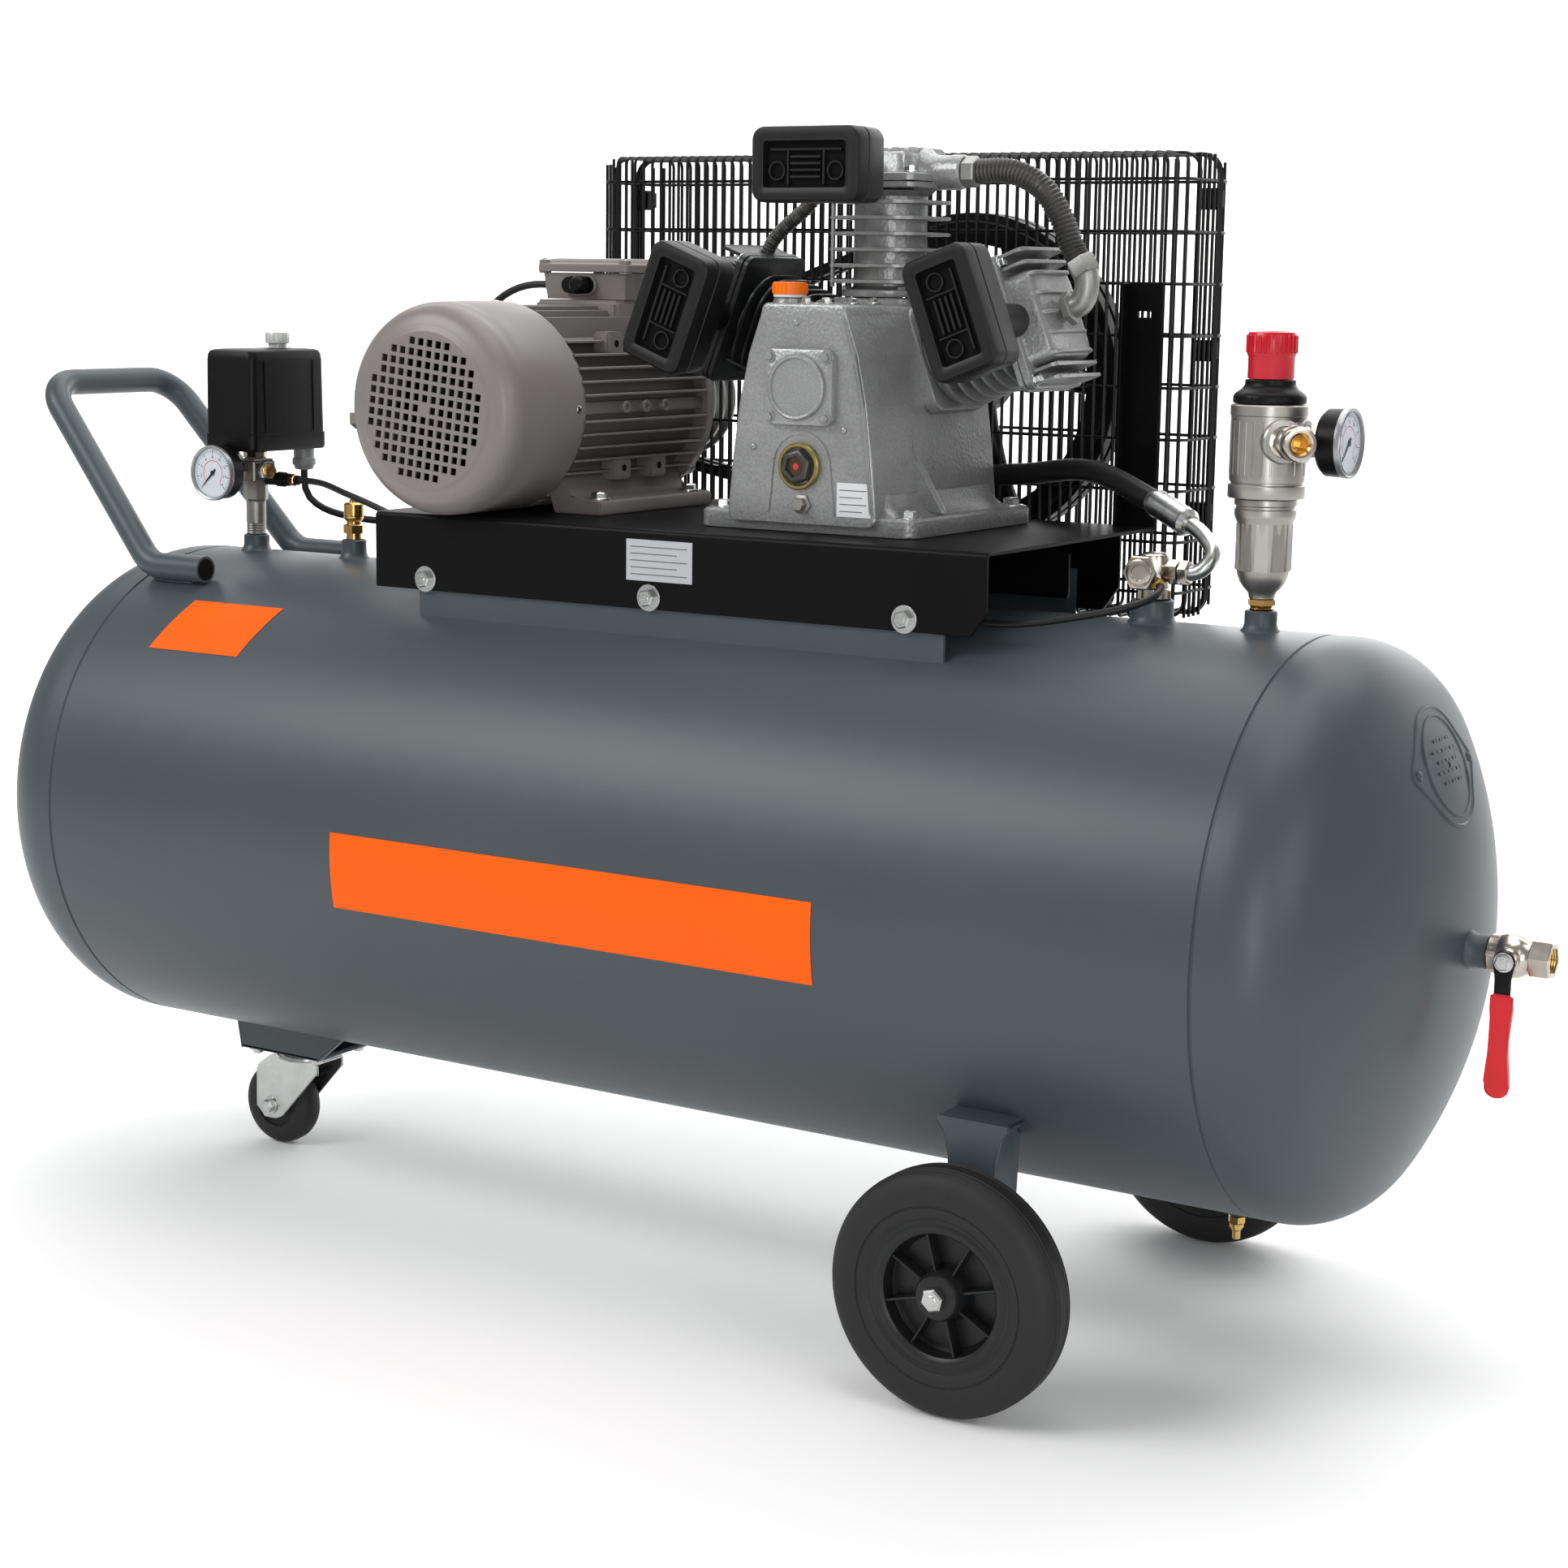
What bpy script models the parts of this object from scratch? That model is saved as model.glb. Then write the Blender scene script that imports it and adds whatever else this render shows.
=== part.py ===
"""Three-cylinder belt-driven piston compressor on a wheeled horizontal air receiver.

X runs along the receiver, Y from the front (fan) side to the belt side, Z up.
All sizes are in metres. The floor is z = 0.
"""
import math

import bmesh
import bpy
from mathutils import Matrix, Vector

# ---- general -----------------------------------------------------------------
GAP = 0.0003
SHEET = 0.003
TUBE_STEP = 0.024

# ---- air receiver ------------------------------------------------------------
TANK_R = 0.225
TANK_Z = 0.350
TANK_WALL = 0.0035
SEAM_X = 0.5584
HEAD_STRAIGHT = 0.0142
HEAD_KNUCKLE_R = 0.0692
HEAD_CROWN_R = 0.3734
PORT_WALL = 0.004
REGULATOR_X = 0.507
CHECK_X = 0.417
SWITCH_X = -0.5085
SAFETY_X = -0.389
DRAIN_X = 0.508
# name: (x, socket radius, height above the shell)
TOP_PORTS = {
    "regulator": (REGULATOR_X, 0.0125, 0.016),
    "check": (CHECK_X, 0.0165, 0.018),
    "switch": (SWITCH_X, 0.012, 0.015),
    "safety": (SAFETY_X, 0.0115, 0.017),
}
OUTLET_R = 0.0125
OUTLET_END_X = 0.700
DRAIN_R = 0.008
DRAIN_SOCKET_Z = 0.112

# ---- handle ------------------------------------------------------------------
HANDLE_R = 0.0125
HANDLE_HALF_WIDTH = 0.100
HANDLE_TOP_HALF = 0.082
HANDLE_TOP_Z = 0.7275
HANDLE_OUT_X = -0.693
HANDLE_BEND_X = -0.548
HANDLE_END_X = -0.480

# ---- platform ----------------------------------------------------------------
DECK_X0 = -0.265
DECK_X1 = 0.333
DECK_Y0 = -0.117
DECK_Y1 = 0.183
DECK_Z = 0.632
FLANGE_Z = 0.567
FLANGE_CHAMFER = 0.020
RAIL_X0 = -0.220
RAIL_X1 = 0.2955
RAIL_Z1 = 0.600
REAR_FLANGE_Y = 0.117
POST_WIDTH = 0.032
POST_TOP_Z = 0.835

# ---- transport wheels --------------------------------------------------------
WHEEL_X = 0.3816
WHEEL_R = 0.0952
WHEEL_OUT_Y = 0.2629
WHEEL_WIDTH = 0.046
RIM_R = 0.060
HUB_R = 0.0185
WHEEL_RIBS = 8
AXLE_R = 0.006
BRACKET_HALF_TOP = 0.031
BRACKET_HALF_LOW = 0.022
BRACKET_TOP_Z = 0.219
CASTER_X = -0.455
CASTER_WHEEL_X = -0.487
CASTER_R = 0.040
CASTER_WIDTH = 0.028
CASTER_HEAD_Z = 0.092

# ---- pump --------------------------------------------------------------------
CRANK_X = 0.134
CRANK_Z = 0.749
PUMP_FRONT_Y = -0.065
PUMP_BACK_Y = 0.140
BASE_HALF = 0.101
BASE_HEIGHT = 0.016
CASE_TOP_Z = 0.815
CYL_Y = 0.072
SIDE_TILT = math.radians(69)
BORE_R = 0.0265
BARREL_R = 0.034
FIN_R = 0.050
FIN_COUNT = 4
# tilt from vertical, start and length of the barrel, half width and height of the head, rim beside its cover
CYLINDERS = {
    "top": (0.0, 0.071, 0.088, 0.046, 0.034, 0.010),
    "right": (SIDE_TILT, 0.062, 0.076, 0.056, 0.038, 0.018),
    "left": (-SIDE_TILT, 0.062, 0.076, 0.056, 0.038, 0.018),
}
HEAD_DEEP = 0.046
NECK_END = 0.070
FILTER_LONG = 0.100
FILTER_SHORT = 0.060
FILTER_DEPTH = 0.046
FILTER_FRONT_Y = -0.068
SHAFT_R = 0.0145

# ---- belt drive --------------------------------------------------------------
BELT_Y0 = 0.208
BELT_Y1 = 0.246
FLYWHEEL_R = 0.137
PULLEY_R = 0.054
BELT_THICK = 0.008
SPOKES = 5
GUARD_X0 = -0.252
GUARD_X1 = 0.349
GUARD_Y0 = 0.190
GUARD_Y1 = 0.285
GUARD_Z0 = 0.551
GUARD_Z1 = 0.944
GUARD_SHEET = 0.003

# ---- motor -------------------------------------------------------------------
MOTOR_X = -0.184
MOTOR_Z = 0.7225
FAN_Y0 = -0.150
FAN_Y1 = -0.045
MOTOR_Y1 = 0.168
FAN_R = 0.0895
FRAME_R = 0.080
BOX_Z = MOTOR_Z + 0.0905
FIN_HEIGHT = 0.010
MOTOR_FINS = 20
MOTOR_SHAFT_R = 0.012

# ---- fittings ----------------------------------------------------------------
SWITCH_BOX = ((-0.538, -0.038, 0.669), (-0.476, 0.066, 0.763))
GAUGE_R = 0.0255
REGULATOR_R = 0.0285
VALVE_X = 0.706

NAVY_GREY = (0.08, 0.095, 0.105)
PALETTE = {
    "tank_paint": (NAVY_GREY, 0.35, 0.0),
    "black_paint": ((0.008, 0.008, 0.009), 0.45, 0.0),
    "black_plastic": ((0.012, 0.012, 0.013), 0.55, 0.0),
    "rubber": ((0.016, 0.015, 0.016), 0.75, 0.0),
    "zinc": ((0.62, 0.63, 0.62), 0.35, 1.0),
    "steel": ((0.45, 0.45, 0.46), 0.35, 1.0),
    "nickel": ((0.55, 0.51, 0.46), 0.3, 1.0),
    "brass": ((0.62, 0.41, 0.16), 0.3, 1.0),
    "cast_alloy": ((0.27, 0.28, 0.28), 0.5, 0.6),
    "motor_paint": ((0.26, 0.24, 0.23), 0.45, 0.0),
    "orange_plastic": ((0.85, 0.28, 0.02), 0.4, 0.0),
    "red_plastic": ((0.62, 0.01, 0.025), 0.4, 0.0),
    "clear_plastic": ((0.75, 0.76, 0.76), 0.25, 0.0),
    "gauge_face": ((0.8, 0.8, 0.82), 0.3, 0.0),
    "needle": ((0.02, 0.02, 0.02), 0.4, 0.0),
    "grey_plastic": ((0.35, 0.35, 0.35), 0.5, 0.0),
}

X_AXIS = Vector((1, 0, 0))
Y_AXIS = Vector((0, 1, 0))
Z_AXIS = Vector((0, 0, 1))
OUTLET_SIDE = Vector((1, -1, 0)).normalized()


# ---- building helpers --------------------------------------------------------
def clear_scene():
    for obj in list(bpy.data.objects):
        bpy.data.objects.remove(obj)


def material(name):
    found = bpy.data.materials.get(name)
    if found:
        return found
    color, roughness, metallic = PALETTE[name]
    made = bpy.data.materials.new(name)
    made.use_nodes = True
    shader = made.node_tree.nodes["Principled BSDF"]
    shader.inputs["Base Color"].default_value = (*color, 1)
    shader.inputs["Roughness"].default_value = roughness
    shader.inputs["Metallic"].default_value = metallic
    return made


def add_mesh(name, bm, finish, location=(0, 0, 0), axis=Z_AXIS):
    """Store a bmesh as an object whose local +Z points along axis."""
    bmesh.ops.recalc_face_normals(bm, faces=bm.faces)
    mesh = bpy.data.meshes.new(name)
    bm.to_mesh(mesh)
    bm.free()
    mesh.shade_smooth()
    mesh.set_sharp_from_angle(angle=math.radians(35))
    mesh.materials.append(material(finish))
    obj = bpy.data.objects.new(name, mesh)
    bpy.context.collection.objects.link(obj)
    obj.location = location
    obj.rotation_mode = "QUATERNION"
    obj.rotation_quaternion = Z_AXIS.rotation_difference(Vector(axis))
    return obj


def turned(name, profile, finish, location=(0, 0, 0), axis=Z_AXIS, segments=20, closed=False):
    """Turn a (radius, height) profile about the local Z axis; a flat end at radius 0 becomes one cap."""
    bm = bmesh.new()
    rings = []
    flat_low = profile[0][0] < 1e-7 and profile[0][1] == profile[1][1]
    flat_high = profile[-1][0] < 1e-7 and profile[-1][1] == profile[-2][1]
    profile = profile[flat_low:len(profile) - flat_high]
    for radius, height in profile:
        if radius < 1e-7:
            rings.append([bm.verts.new((0, 0, height))])
            continue
        turns = [math.tau * i / segments for i in range(segments)]
        rings.append([bm.verts.new((radius * math.cos(t), radius * math.sin(t), height)) for t in turns])
    pairs = list(zip(rings, rings[1:]))
    if closed:
        pairs.append((rings[-1], rings[0]))
    for low, high in pairs:
        for i in range(segments):
            j = (i + 1) % segments
            if len(low) == 1:
                bm.faces.new((low[0], high[j], high[i]))
            elif len(high) == 1:
                bm.faces.new((low[i], low[j], high[0]))
            else:
                bm.faces.new((low[i], low[j], high[j], high[i]))
    if flat_low:
        bm.faces.new(rings[0])
    if flat_high:
        bm.faces.new(rings[-1])
    return add_mesh(name, bm, finish, location, axis)


def rod(name, radius, length, finish, location=(0, 0, 0), axis=Z_AXIS, segments=16):
    profile = [(0, 0), (radius, 0), (radius, length), (0, length)]
    return turned(name, profile, finish, location, axis, segments)


def pipe(name, outer, inner, length, finish, location=(0, 0, 0), axis=Z_AXIS, segments=16):
    profile = [(inner, 0), (outer, 0), (outer, length), (inner, length)]
    return turned(name, profile, finish, location, axis, segments, closed=True)


def box(name, low, high, finish, bevel=0.0, location=(0, 0, 0), axis=Z_AXIS):
    bm = bmesh.new()
    size = [b - a for a, b in zip(low, high)]
    middle = Vector([(a + b) / 2 for a, b in zip(low, high)])
    bmesh.ops.create_cube(bm, size=1, matrix=Matrix.Translation(middle) @ Matrix.Diagonal((*size, 1)))
    if bevel:
        bmesh.ops.bevel(bm, geom=bm.edges[:], offset=bevel, segments=1, affect="EDGES")
    return add_mesh(name, bm, finish, location, axis)


def extruded(name, outline, start, end, along, finish):
    """Extrude an outline along a world axis; it is given in the other two axes, in X, Y, Z order."""
    place = {
        "X": lambda a, b, h: (h, a, b),
        "Y": lambda a, b, h: (a, h, b),
        "Z": lambda a, b, h: (a, b, h),
    }[along]
    bm = bmesh.new()
    low = [bm.verts.new(place(a, b, start)) for a, b in outline]
    high = [bm.verts.new(place(a, b, end)) for a, b in outline]
    bm.faces.new(low)
    bm.faces.new(high)
    count = len(outline)
    for i in range(count):
        j = (i + 1) % count
        bm.faces.new((low[i], low[j], high[j], high[i]))
    return add_mesh(name, bm, finish)


def combine(target, pieces, operation):
    """Apply one EXACT boolean per piece and remove the pieces."""
    finish = target.data.materials[0]
    for piece in pieces:
        modifier = target.modifiers.new("combine", "BOOLEAN")
        modifier.operation = operation
        modifier.solver = "EXACT"
        modifier.object = piece
    bpy.context.view_layer.update()
    graph = bpy.context.evaluated_depsgraph_get()
    mesh = bpy.data.meshes.new_from_object(target.evaluated_get(graph))
    target.modifiers.clear()
    target.data = mesh
    mesh.name = target.name
    mesh.materials.clear()
    mesh.materials.append(finish)
    for piece in pieces:
        bpy.data.objects.remove(piece)
    return target


def joined(pieces):
    """One cutter made of several that don't touch."""
    mesh = bmesh.new()
    for piece in pieces:
        mesh.from_mesh(piece.data)
    first = pieces[0]
    mesh.to_mesh(first.data)
    mesh.free()
    for piece in pieces[1:]:
        bpy.data.objects.remove(piece)
    return first


def fuse(target, *pieces):
    return combine(target, pieces, "UNION")


def cut(target, *pieces):
    return combine(target, pieces, "DIFFERENCE")


def tube(name, points, radius, finish, resolution=2):
    """A capped round tube along a list of points."""
    curve = bpy.data.curves.new(name, "CURVE")
    curve.dimensions = "3D"
    curve.bevel_depth = radius
    curve.bevel_resolution = resolution
    curve.use_fill_caps = True
    spline = curve.splines.new("POLY")
    spline.points.add(len(points) - 1)
    for point, place in zip(spline.points, points):
        point.co = (*place, 1)
    curve.materials.append(material(finish))
    obj = bpy.data.objects.new(name, curve)
    bpy.context.collection.objects.link(obj)
    return obj


def smooth_route(points, step):
    """Places about one step apart on a curve through the points; its end runs are straight."""
    knots = [Vector(p) for p in points]
    runs = [b - a for a, b in zip(knots, knots[1:])]
    ways = [run.normalized() for run in runs]
    turns = [(a + b).normalized() for a, b in zip(ways, ways[1:])]
    headings = [ways[0], ways[0]] + turns[1:-1] + [ways[-1], ways[-1]]
    route = [knots[0], knots[1]]
    for i in range(1, len(runs) - 1):
        reach = runs[i].length
        count = max(2, round(reach / step))
        for k in range(1, count + 1):
            t = k / count
            place = knots[i] * (2 * t ** 3 - 3 * t * t + 1) + knots[i + 1] * (3 * t * t - 2 * t ** 3)
            place += headings[i] * reach * (t ** 3 - 2 * t * t + t)
            place += headings[i + 1] * reach * (t ** 3 - t * t)
            route.append(place)
    route.append(knots[-1])
    return route


def rounded_route(points, radius, steps=4):
    """Straight runs joined by arcs of the given radius."""
    corners = [Vector(p) for p in points]
    route = [corners[0]]
    for before, corner, after in zip(corners, corners[1:], corners[2:]):
        inward = (before - corner).normalized()
        outward = (after - corner).normalized()
        half = inward.angle(outward) / 2
        reach = radius / math.tan(half)
        centre = corner + (inward + outward).normalized() * radius / math.sin(half)
        start = (corner + inward * reach - centre).normalized()
        end = (corner + outward * reach - centre).normalized()
        for i in range(steps + 1):
            route.append(centre + start.slerp(end, i / steps) * radius)
    route.append(corners[-1])
    return route


def led(point, direction, reach=0.008):
    """A route's end at point and a second place straight out of it, which squares the tube's end."""
    place = Vector(point)
    return [place, place + Vector(direction).normalized() * reach]


def arc(centre, radius, start, end, count):
    """Points on an arc, angles in degrees."""
    angles = [math.radians(start + (end - start) * i / count) for i in range(count + 1)]
    return [(centre[0] + radius * math.cos(a), centre[1] + radius * math.sin(a)) for a in angles]


# ---- air receiver ------------------------------------------------------------
def head_profile(inset, knuckle_steps, crown_steps):
    """(radius, x) points of a dished head, from its seam to its pole."""
    radius = TANK_R - inset
    knuckle = HEAD_KNUCKLE_R - inset
    crown = HEAD_CROWN_R - inset
    knuckle_x = SEAM_X + HEAD_STRAIGHT
    knuckle_r = radius - knuckle
    crown_x = knuckle_x - math.sqrt((crown - knuckle) ** 2 - knuckle_r ** 2)
    split = math.atan2(knuckle_r, knuckle_x - crown_x)
    points = [(radius, SEAM_X)]
    for i in range(knuckle_steps + 1):
        t = (math.pi / 2 - split) * i / knuckle_steps
        points.append((knuckle_r + knuckle * math.cos(t), knuckle_x + knuckle * math.sin(t)))
    for i in range(1, crown_steps + 1):
        t = split * (1 - i / crown_steps)
        points.append((crown * math.sin(t), crown_x + crown * math.cos(t)))
    return points


def shell_solid(name, inset, knuckle_steps, crown_steps, segments):
    right = head_profile(inset, knuckle_steps, crown_steps)
    left = [(r, -x) for r, x in reversed(right)]
    return turned(name, left + right, "tank_paint", (0, 0, TANK_Z), X_AXIS, segments)


def shell_top(y, outside=0.0):
    return TANK_Z + math.sqrt((TANK_R + outside) ** 2 - y * y)


def make_rail(y0, y1):
    """Upright strip welded on the shell, which carries one flange of the platform."""
    middle = (RAIL_X0 + RAIL_X1) / 2
    low = shell_top(max(abs(y0), abs(y1))) - 0.002
    return box("rail", (RAIL_X0, y0, low), (RAIL_X1, y1, RAIL_Z1), "tank_paint")


def build_tank():
    tank = shell_solid("tank", 0, 3, 3, 36)
    bosses = []
    bores = [shell_solid("inside", TANK_WALL + 0.0015, 2, 2, 20)]
    top = TANK_Z + TANK_R
    for x, radius, height in TOP_PORTS.values():
        depth = 0.004
        bosses.append(rod("boss", radius, height + depth, "tank_paint", (x, 0, top - depth)))
        bores.append(rod("bore", radius - PORT_WALL, height + 0.04, "tank_paint", (x, 0, top - 0.02), segments=10))
    pole = head_profile(0, 1, 1)[-1][1]
    start = pole - 0.003
    bosses.append(rod("boss", OUTLET_R, OUTLET_END_X - start, "tank_paint", (start, 0, TANK_Z), X_AXIS))
    bores.append(rod("bore", OUTLET_R - PORT_WALL, 0.06, "tank_paint", (pole - 0.02, 0, TANK_Z), X_AXIS, 10))
    bottom = TANK_Z - TANK_R
    bosses.append(rod("boss", DRAIN_R, bottom + 0.003 - DRAIN_SOCKET_Z, "tank_paint", (DRAIN_X, 0, DRAIN_SOCKET_Z)))
    bores.append(rod("bore", DRAIN_R - PORT_WALL, 0.04, "tank_paint", (DRAIN_X, 0, DRAIN_SOCKET_Z - 0.01),
                     segments=10))
    bosses.append(make_rail(DECK_Y0 + SHEET + 0.0005, DECK_Y0 + 2 * SHEET))
    bosses.append(make_rail(REAR_FLANGE_Y - 2 * SHEET, REAR_FLANGE_Y - SHEET - 0.0005))
    fuse(tank, *bosses)
    cut(tank, *bores)


def build_handle():
    foot_z = shell_top(HANDLE_HALF_WIDTH, HANDLE_R) + GAP
    corners = []
    for side in (-1, 1):
        leg = [
            (HANDLE_END_X, side * HANDLE_HALF_WIDTH, foot_z),
            (HANDLE_BEND_X, side * HANDLE_HALF_WIDTH, foot_z),
            (HANDLE_OUT_X, side * HANDLE_TOP_HALF, HANDLE_TOP_Z),
        ]
        corners += leg if side < 0 else leg[::-1]
    tube("handle", rounded_route(corners, 0.034), HANDLE_R, "tank_paint")


# ---- platform ----------------------------------------------------------------
def build_platform():
    side = [
        (DECK_X0, DECK_Z),
        (DECK_X0, FLANGE_Z),
        (DECK_X1 - FLANGE_CHAMFER * 0.7, FLANGE_Z),
        (DECK_X1, FLANGE_Z + FLANGE_CHAMFER),
        (DECK_X1, DECK_Z),
    ]
    deck = extruded("platform", side, DECK_Y0, DECK_Y0 + SHEET, "Y", "black_paint")
    rear = extruded("rear", side, REAR_FLANGE_Y - SHEET, REAR_FLANGE_Y, "Y", "black_paint")
    top = box("top", (DECK_X0, DECK_Y0, DECK_Z - SHEET), (DECK_X1, DECK_Y1, DECK_Z), "black_paint")
    post_x = DECK_X1 - POST_WIDTH
    face = box("face", (post_x, DECK_Y1 - SHEET, DECK_Z - 0.001), (DECK_X1, DECK_Y1, POST_TOP_Z), "black_paint")
    rib = box("rib", (post_x, DECK_Y1 - 0.018, DECK_Z - 0.001), (post_x + SHEET, DECK_Y1, POST_TOP_Z), "black_paint")
    fuse(deck, rear, top, face, rib)


# ---- transport wheels --------------------------------------------------------
def build_wheel(side, place):
    """Rubber tyre on a ribbed plastic rim, turning on a stub axle."""
    outer = side * WHEEL_OUT_Y
    axis = -side * Y_AXIS
    shoulder = 0.007
    tyre = [
        (RIM_R + GAP, 0.004),
        (WHEEL_R - shoulder, 0),
        (WHEEL_R, shoulder),
        (WHEEL_R, WHEEL_WIDTH - shoulder),
        (WHEEL_R - shoulder, WHEEL_WIDTH),
        (RIM_R + GAP, WHEEL_WIDTH - 0.004),
    ]
    where = (WHEEL_X, outer, WHEEL_R)
    turned("tyre_" + place, tyre, "rubber", where, axis, 32, closed=True)
    bore = AXLE_R + 0.0012
    web_low, web_high = 0.022, 0.028
    rim = [
        (bore, 0.003),
        (HUB_R, 0.003),
        (HUB_R, web_low),
        (RIM_R - 0.010, web_low),
        (RIM_R - 0.010, 0.005),
        (RIM_R - GAP, 0.005),
        (RIM_R - GAP, WHEEL_WIDTH - 0.005),
        (RIM_R - 0.010, WHEEL_WIDTH - 0.005),
        (RIM_R - 0.010, web_high),
        (HUB_R, web_high),
        (HUB_R, WHEEL_WIDTH - 0.003),
        (bore, WHEEL_WIDTH - 0.003),
    ]
    wheel = turned("wheel_rim_" + place, rim, "black_plastic", where, axis, 32, closed=True)
    ribs = []
    for i in range(WHEEL_RIBS):
        turn = Matrix.Rotation(math.tau * (i + 0.25) / WHEEL_RIBS, 4, "Z")
        rib = box("rib", (HUB_R - 0.003, -0.001, 0.008), (RIM_R - 0.008, 0.001, web_low + 0.001), "black_plastic")
        rib.data.transform(turn)
        rib.location = where
        rib.rotation_quaternion = wheel.rotation_quaternion
        ribs.append(rib)
    fuse(wheel, *ribs)


def build_wheel_bracket(side, place):
    """Pressed leg welded on the shell with the stub axle and its hexagon head."""
    inner_y = WHEEL_OUT_Y - WHEEL_WIDTH
    leg_y = inner_y - 0.008
    top_y = math.sqrt(TANK_R ** 2 - (TANK_Z - BRACKET_TOP_Z) ** 2)
    outline = [
        (WHEEL_X - BRACKET_HALF_TOP, BRACKET_TOP_Z),
        (WHEEL_X - BRACKET_HALF_LOW, BRACKET_TOP_Z - 0.018),
        (WHEEL_X - BRACKET_HALF_LOW, WHEEL_R - 0.016),
        (WHEEL_X + BRACKET_HALF_LOW, WHEEL_R - 0.016),
        (WHEEL_X + BRACKET_HALF_LOW, BRACKET_TOP_Z - 0.018),
        (WHEEL_X + BRACKET_HALF_TOP, BRACKET_TOP_Z),
    ]
    ends = sorted((side * (top_y + 0.004), side * leg_y))
    plate = extruded("wheel_bracket_" + place, outline, side * leg_y - 0.002, side * leg_y + 0.002, "Y", "tank_paint")
    web_ends = sorted((side * 0.120, side * leg_y))
    webs = []
    for offset in (-BRACKET_HALF_LOW, BRACKET_HALF_LOW - 0.004):
        x = WHEEL_X + offset
        webs.append(box("web", (x, web_ends[0], 0.130), (x + 0.004, web_ends[1], BRACKET_TOP_Z - 0.004), "tank_paint"))
    lip = box("lip", (WHEEL_X - BRACKET_HALF_TOP, min(ends), BRACKET_TOP_Z - 0.006),
              (WHEEL_X + BRACKET_HALF_TOP, max(ends), BRACKET_TOP_Z), "tank_paint")
    start = side * (leg_y - 0.010)
    axle = rod("axle", AXLE_R, WHEEL_OUT_Y + 0.004 - leg_y + 0.010, "tank_paint",
               (WHEEL_X, start, WHEEL_R), side * Y_AXIS, 16)
    head = rod("head", 0.0105, 0.007, "tank_paint", (WHEEL_X, side * (WHEEL_OUT_Y + 0.001), WHEEL_R), side * Y_AXIS, 6)
    fuse(plate, *webs, lip, axle, head)
    shell = turned("shell", [(0, -0.2), (TANK_R + GAP, -0.2), (TANK_R + GAP, 0.2), (0, 0.2)], "tank_paint",
                   (WHEEL_X - 0.02, 0, TANK_Z), X_AXIS, 72)
    cut(plate, shell)


def build_caster():
    plate_z = CASTER_HEAD_Z + 0.008
    side = [
        (CASTER_X - 0.048, plate_z),
        (CASTER_X + 0.048, plate_z),
        (CASTER_X + 0.090, 0.135),
        (CASTER_X - 0.055, 0.135),
    ]
    bracket = extruded("caster_bracket", side, -0.040, 0.040, "Y", "tank_paint")
    hollow = box("hollow", (CASTER_X - 0.07, -0.036, plate_z + 0.004), (CASTER_X + 0.12, 0.036, 0.2), "tank_paint")
    shell = rod("shell", TANK_R + GAP, 0.4, "tank_paint", (CASTER_X - 0.2, 0, TANK_Z), X_AXIS, 72)
    cut(bracket, hollow, shell)
    race = turned("race", [(0, -0.004), (0.024, -0.004), (0.030, 0), (0.030, 0.002), (0, 0.002)], "tank_paint",
                  (CASTER_X, 0, plate_z))
    fuse(bracket, race)

    top = CASTER_HEAD_Z + 0.0035
    cheek = [
        (CASTER_X - 0.030, top - 0.004),
        (CASTER_X + 0.028, top - 0.004),
        (CASTER_X + 0.028, top - 0.014),
        (CASTER_WHEEL_X + 0.012, CASTER_R - 0.008),
        (CASTER_WHEEL_X - 0.010, CASTER_R - 0.012),
        (CASTER_WHEEL_X - 0.018, CASTER_R),
        (CASTER_WHEEL_X - 0.016, top - 0.018),
    ]
    crown = rod("caster_fork", 0.031, 0.003, "zinc", (CASTER_X, 0, top - 0.0033), segments=20)
    pieces = []
    for sign in (-1, 1):
        ends = sorted((sign * 0.0165, sign * 0.019))
        pieces.append(extruded("cheek", cheek, ends[0], ends[1], "Y", "zinc"))
    pieces.append(rod("pin", 0.004, 0.052, "zinc", (CASTER_WHEEL_X, -0.026, CASTER_R), Y_AXIS, 12))
    bridge = box("bridge", (CASTER_X - 0.030, -0.019, top - 0.0065), (CASTER_X + 0.028, 0.019, top - 0.0025), "zinc")
    fuse(crown, bridge, *pieces)
    half = CASTER_WIDTH / 2
    wheel = [
        (0.0048, -half),
        (CASTER_R - 0.006, -half),
        (CASTER_R, -half + 0.006),
        (CASTER_R, half - 0.006),
        (CASTER_R - 0.006, half),
        (0.0048, half),
    ]
    turned("caster_wheel", wheel, "rubber", (CASTER_WHEEL_X, 0, CASTER_R), Y_AXIS, 24, closed=True)


# ---- receiver fittings -------------------------------------------------------
def port_top(port):
    return TANK_Z + TANK_R + TOP_PORTS[port][2] + GAP


def build_drain():
    profile = [(0, 0), (0.0055, 0), (0.0055, 0.006), (0.007, 0.006), (0.007, 0.012), (0, 0.012)]
    turned("drain_valve", profile, "brass", (DRAIN_X, 0, DRAIN_SOCKET_Z - GAP - 0.012), segments=12)
    wing = [(0, 0), (0.0032, 0), (0.0032, 0.0075), (0, 0.0075)]
    turned("drain_knob", wing, "brass", (DRAIN_X, 0, DRAIN_SOCKET_Z - 2 * GAP - 0.0195), segments=12)


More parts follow.
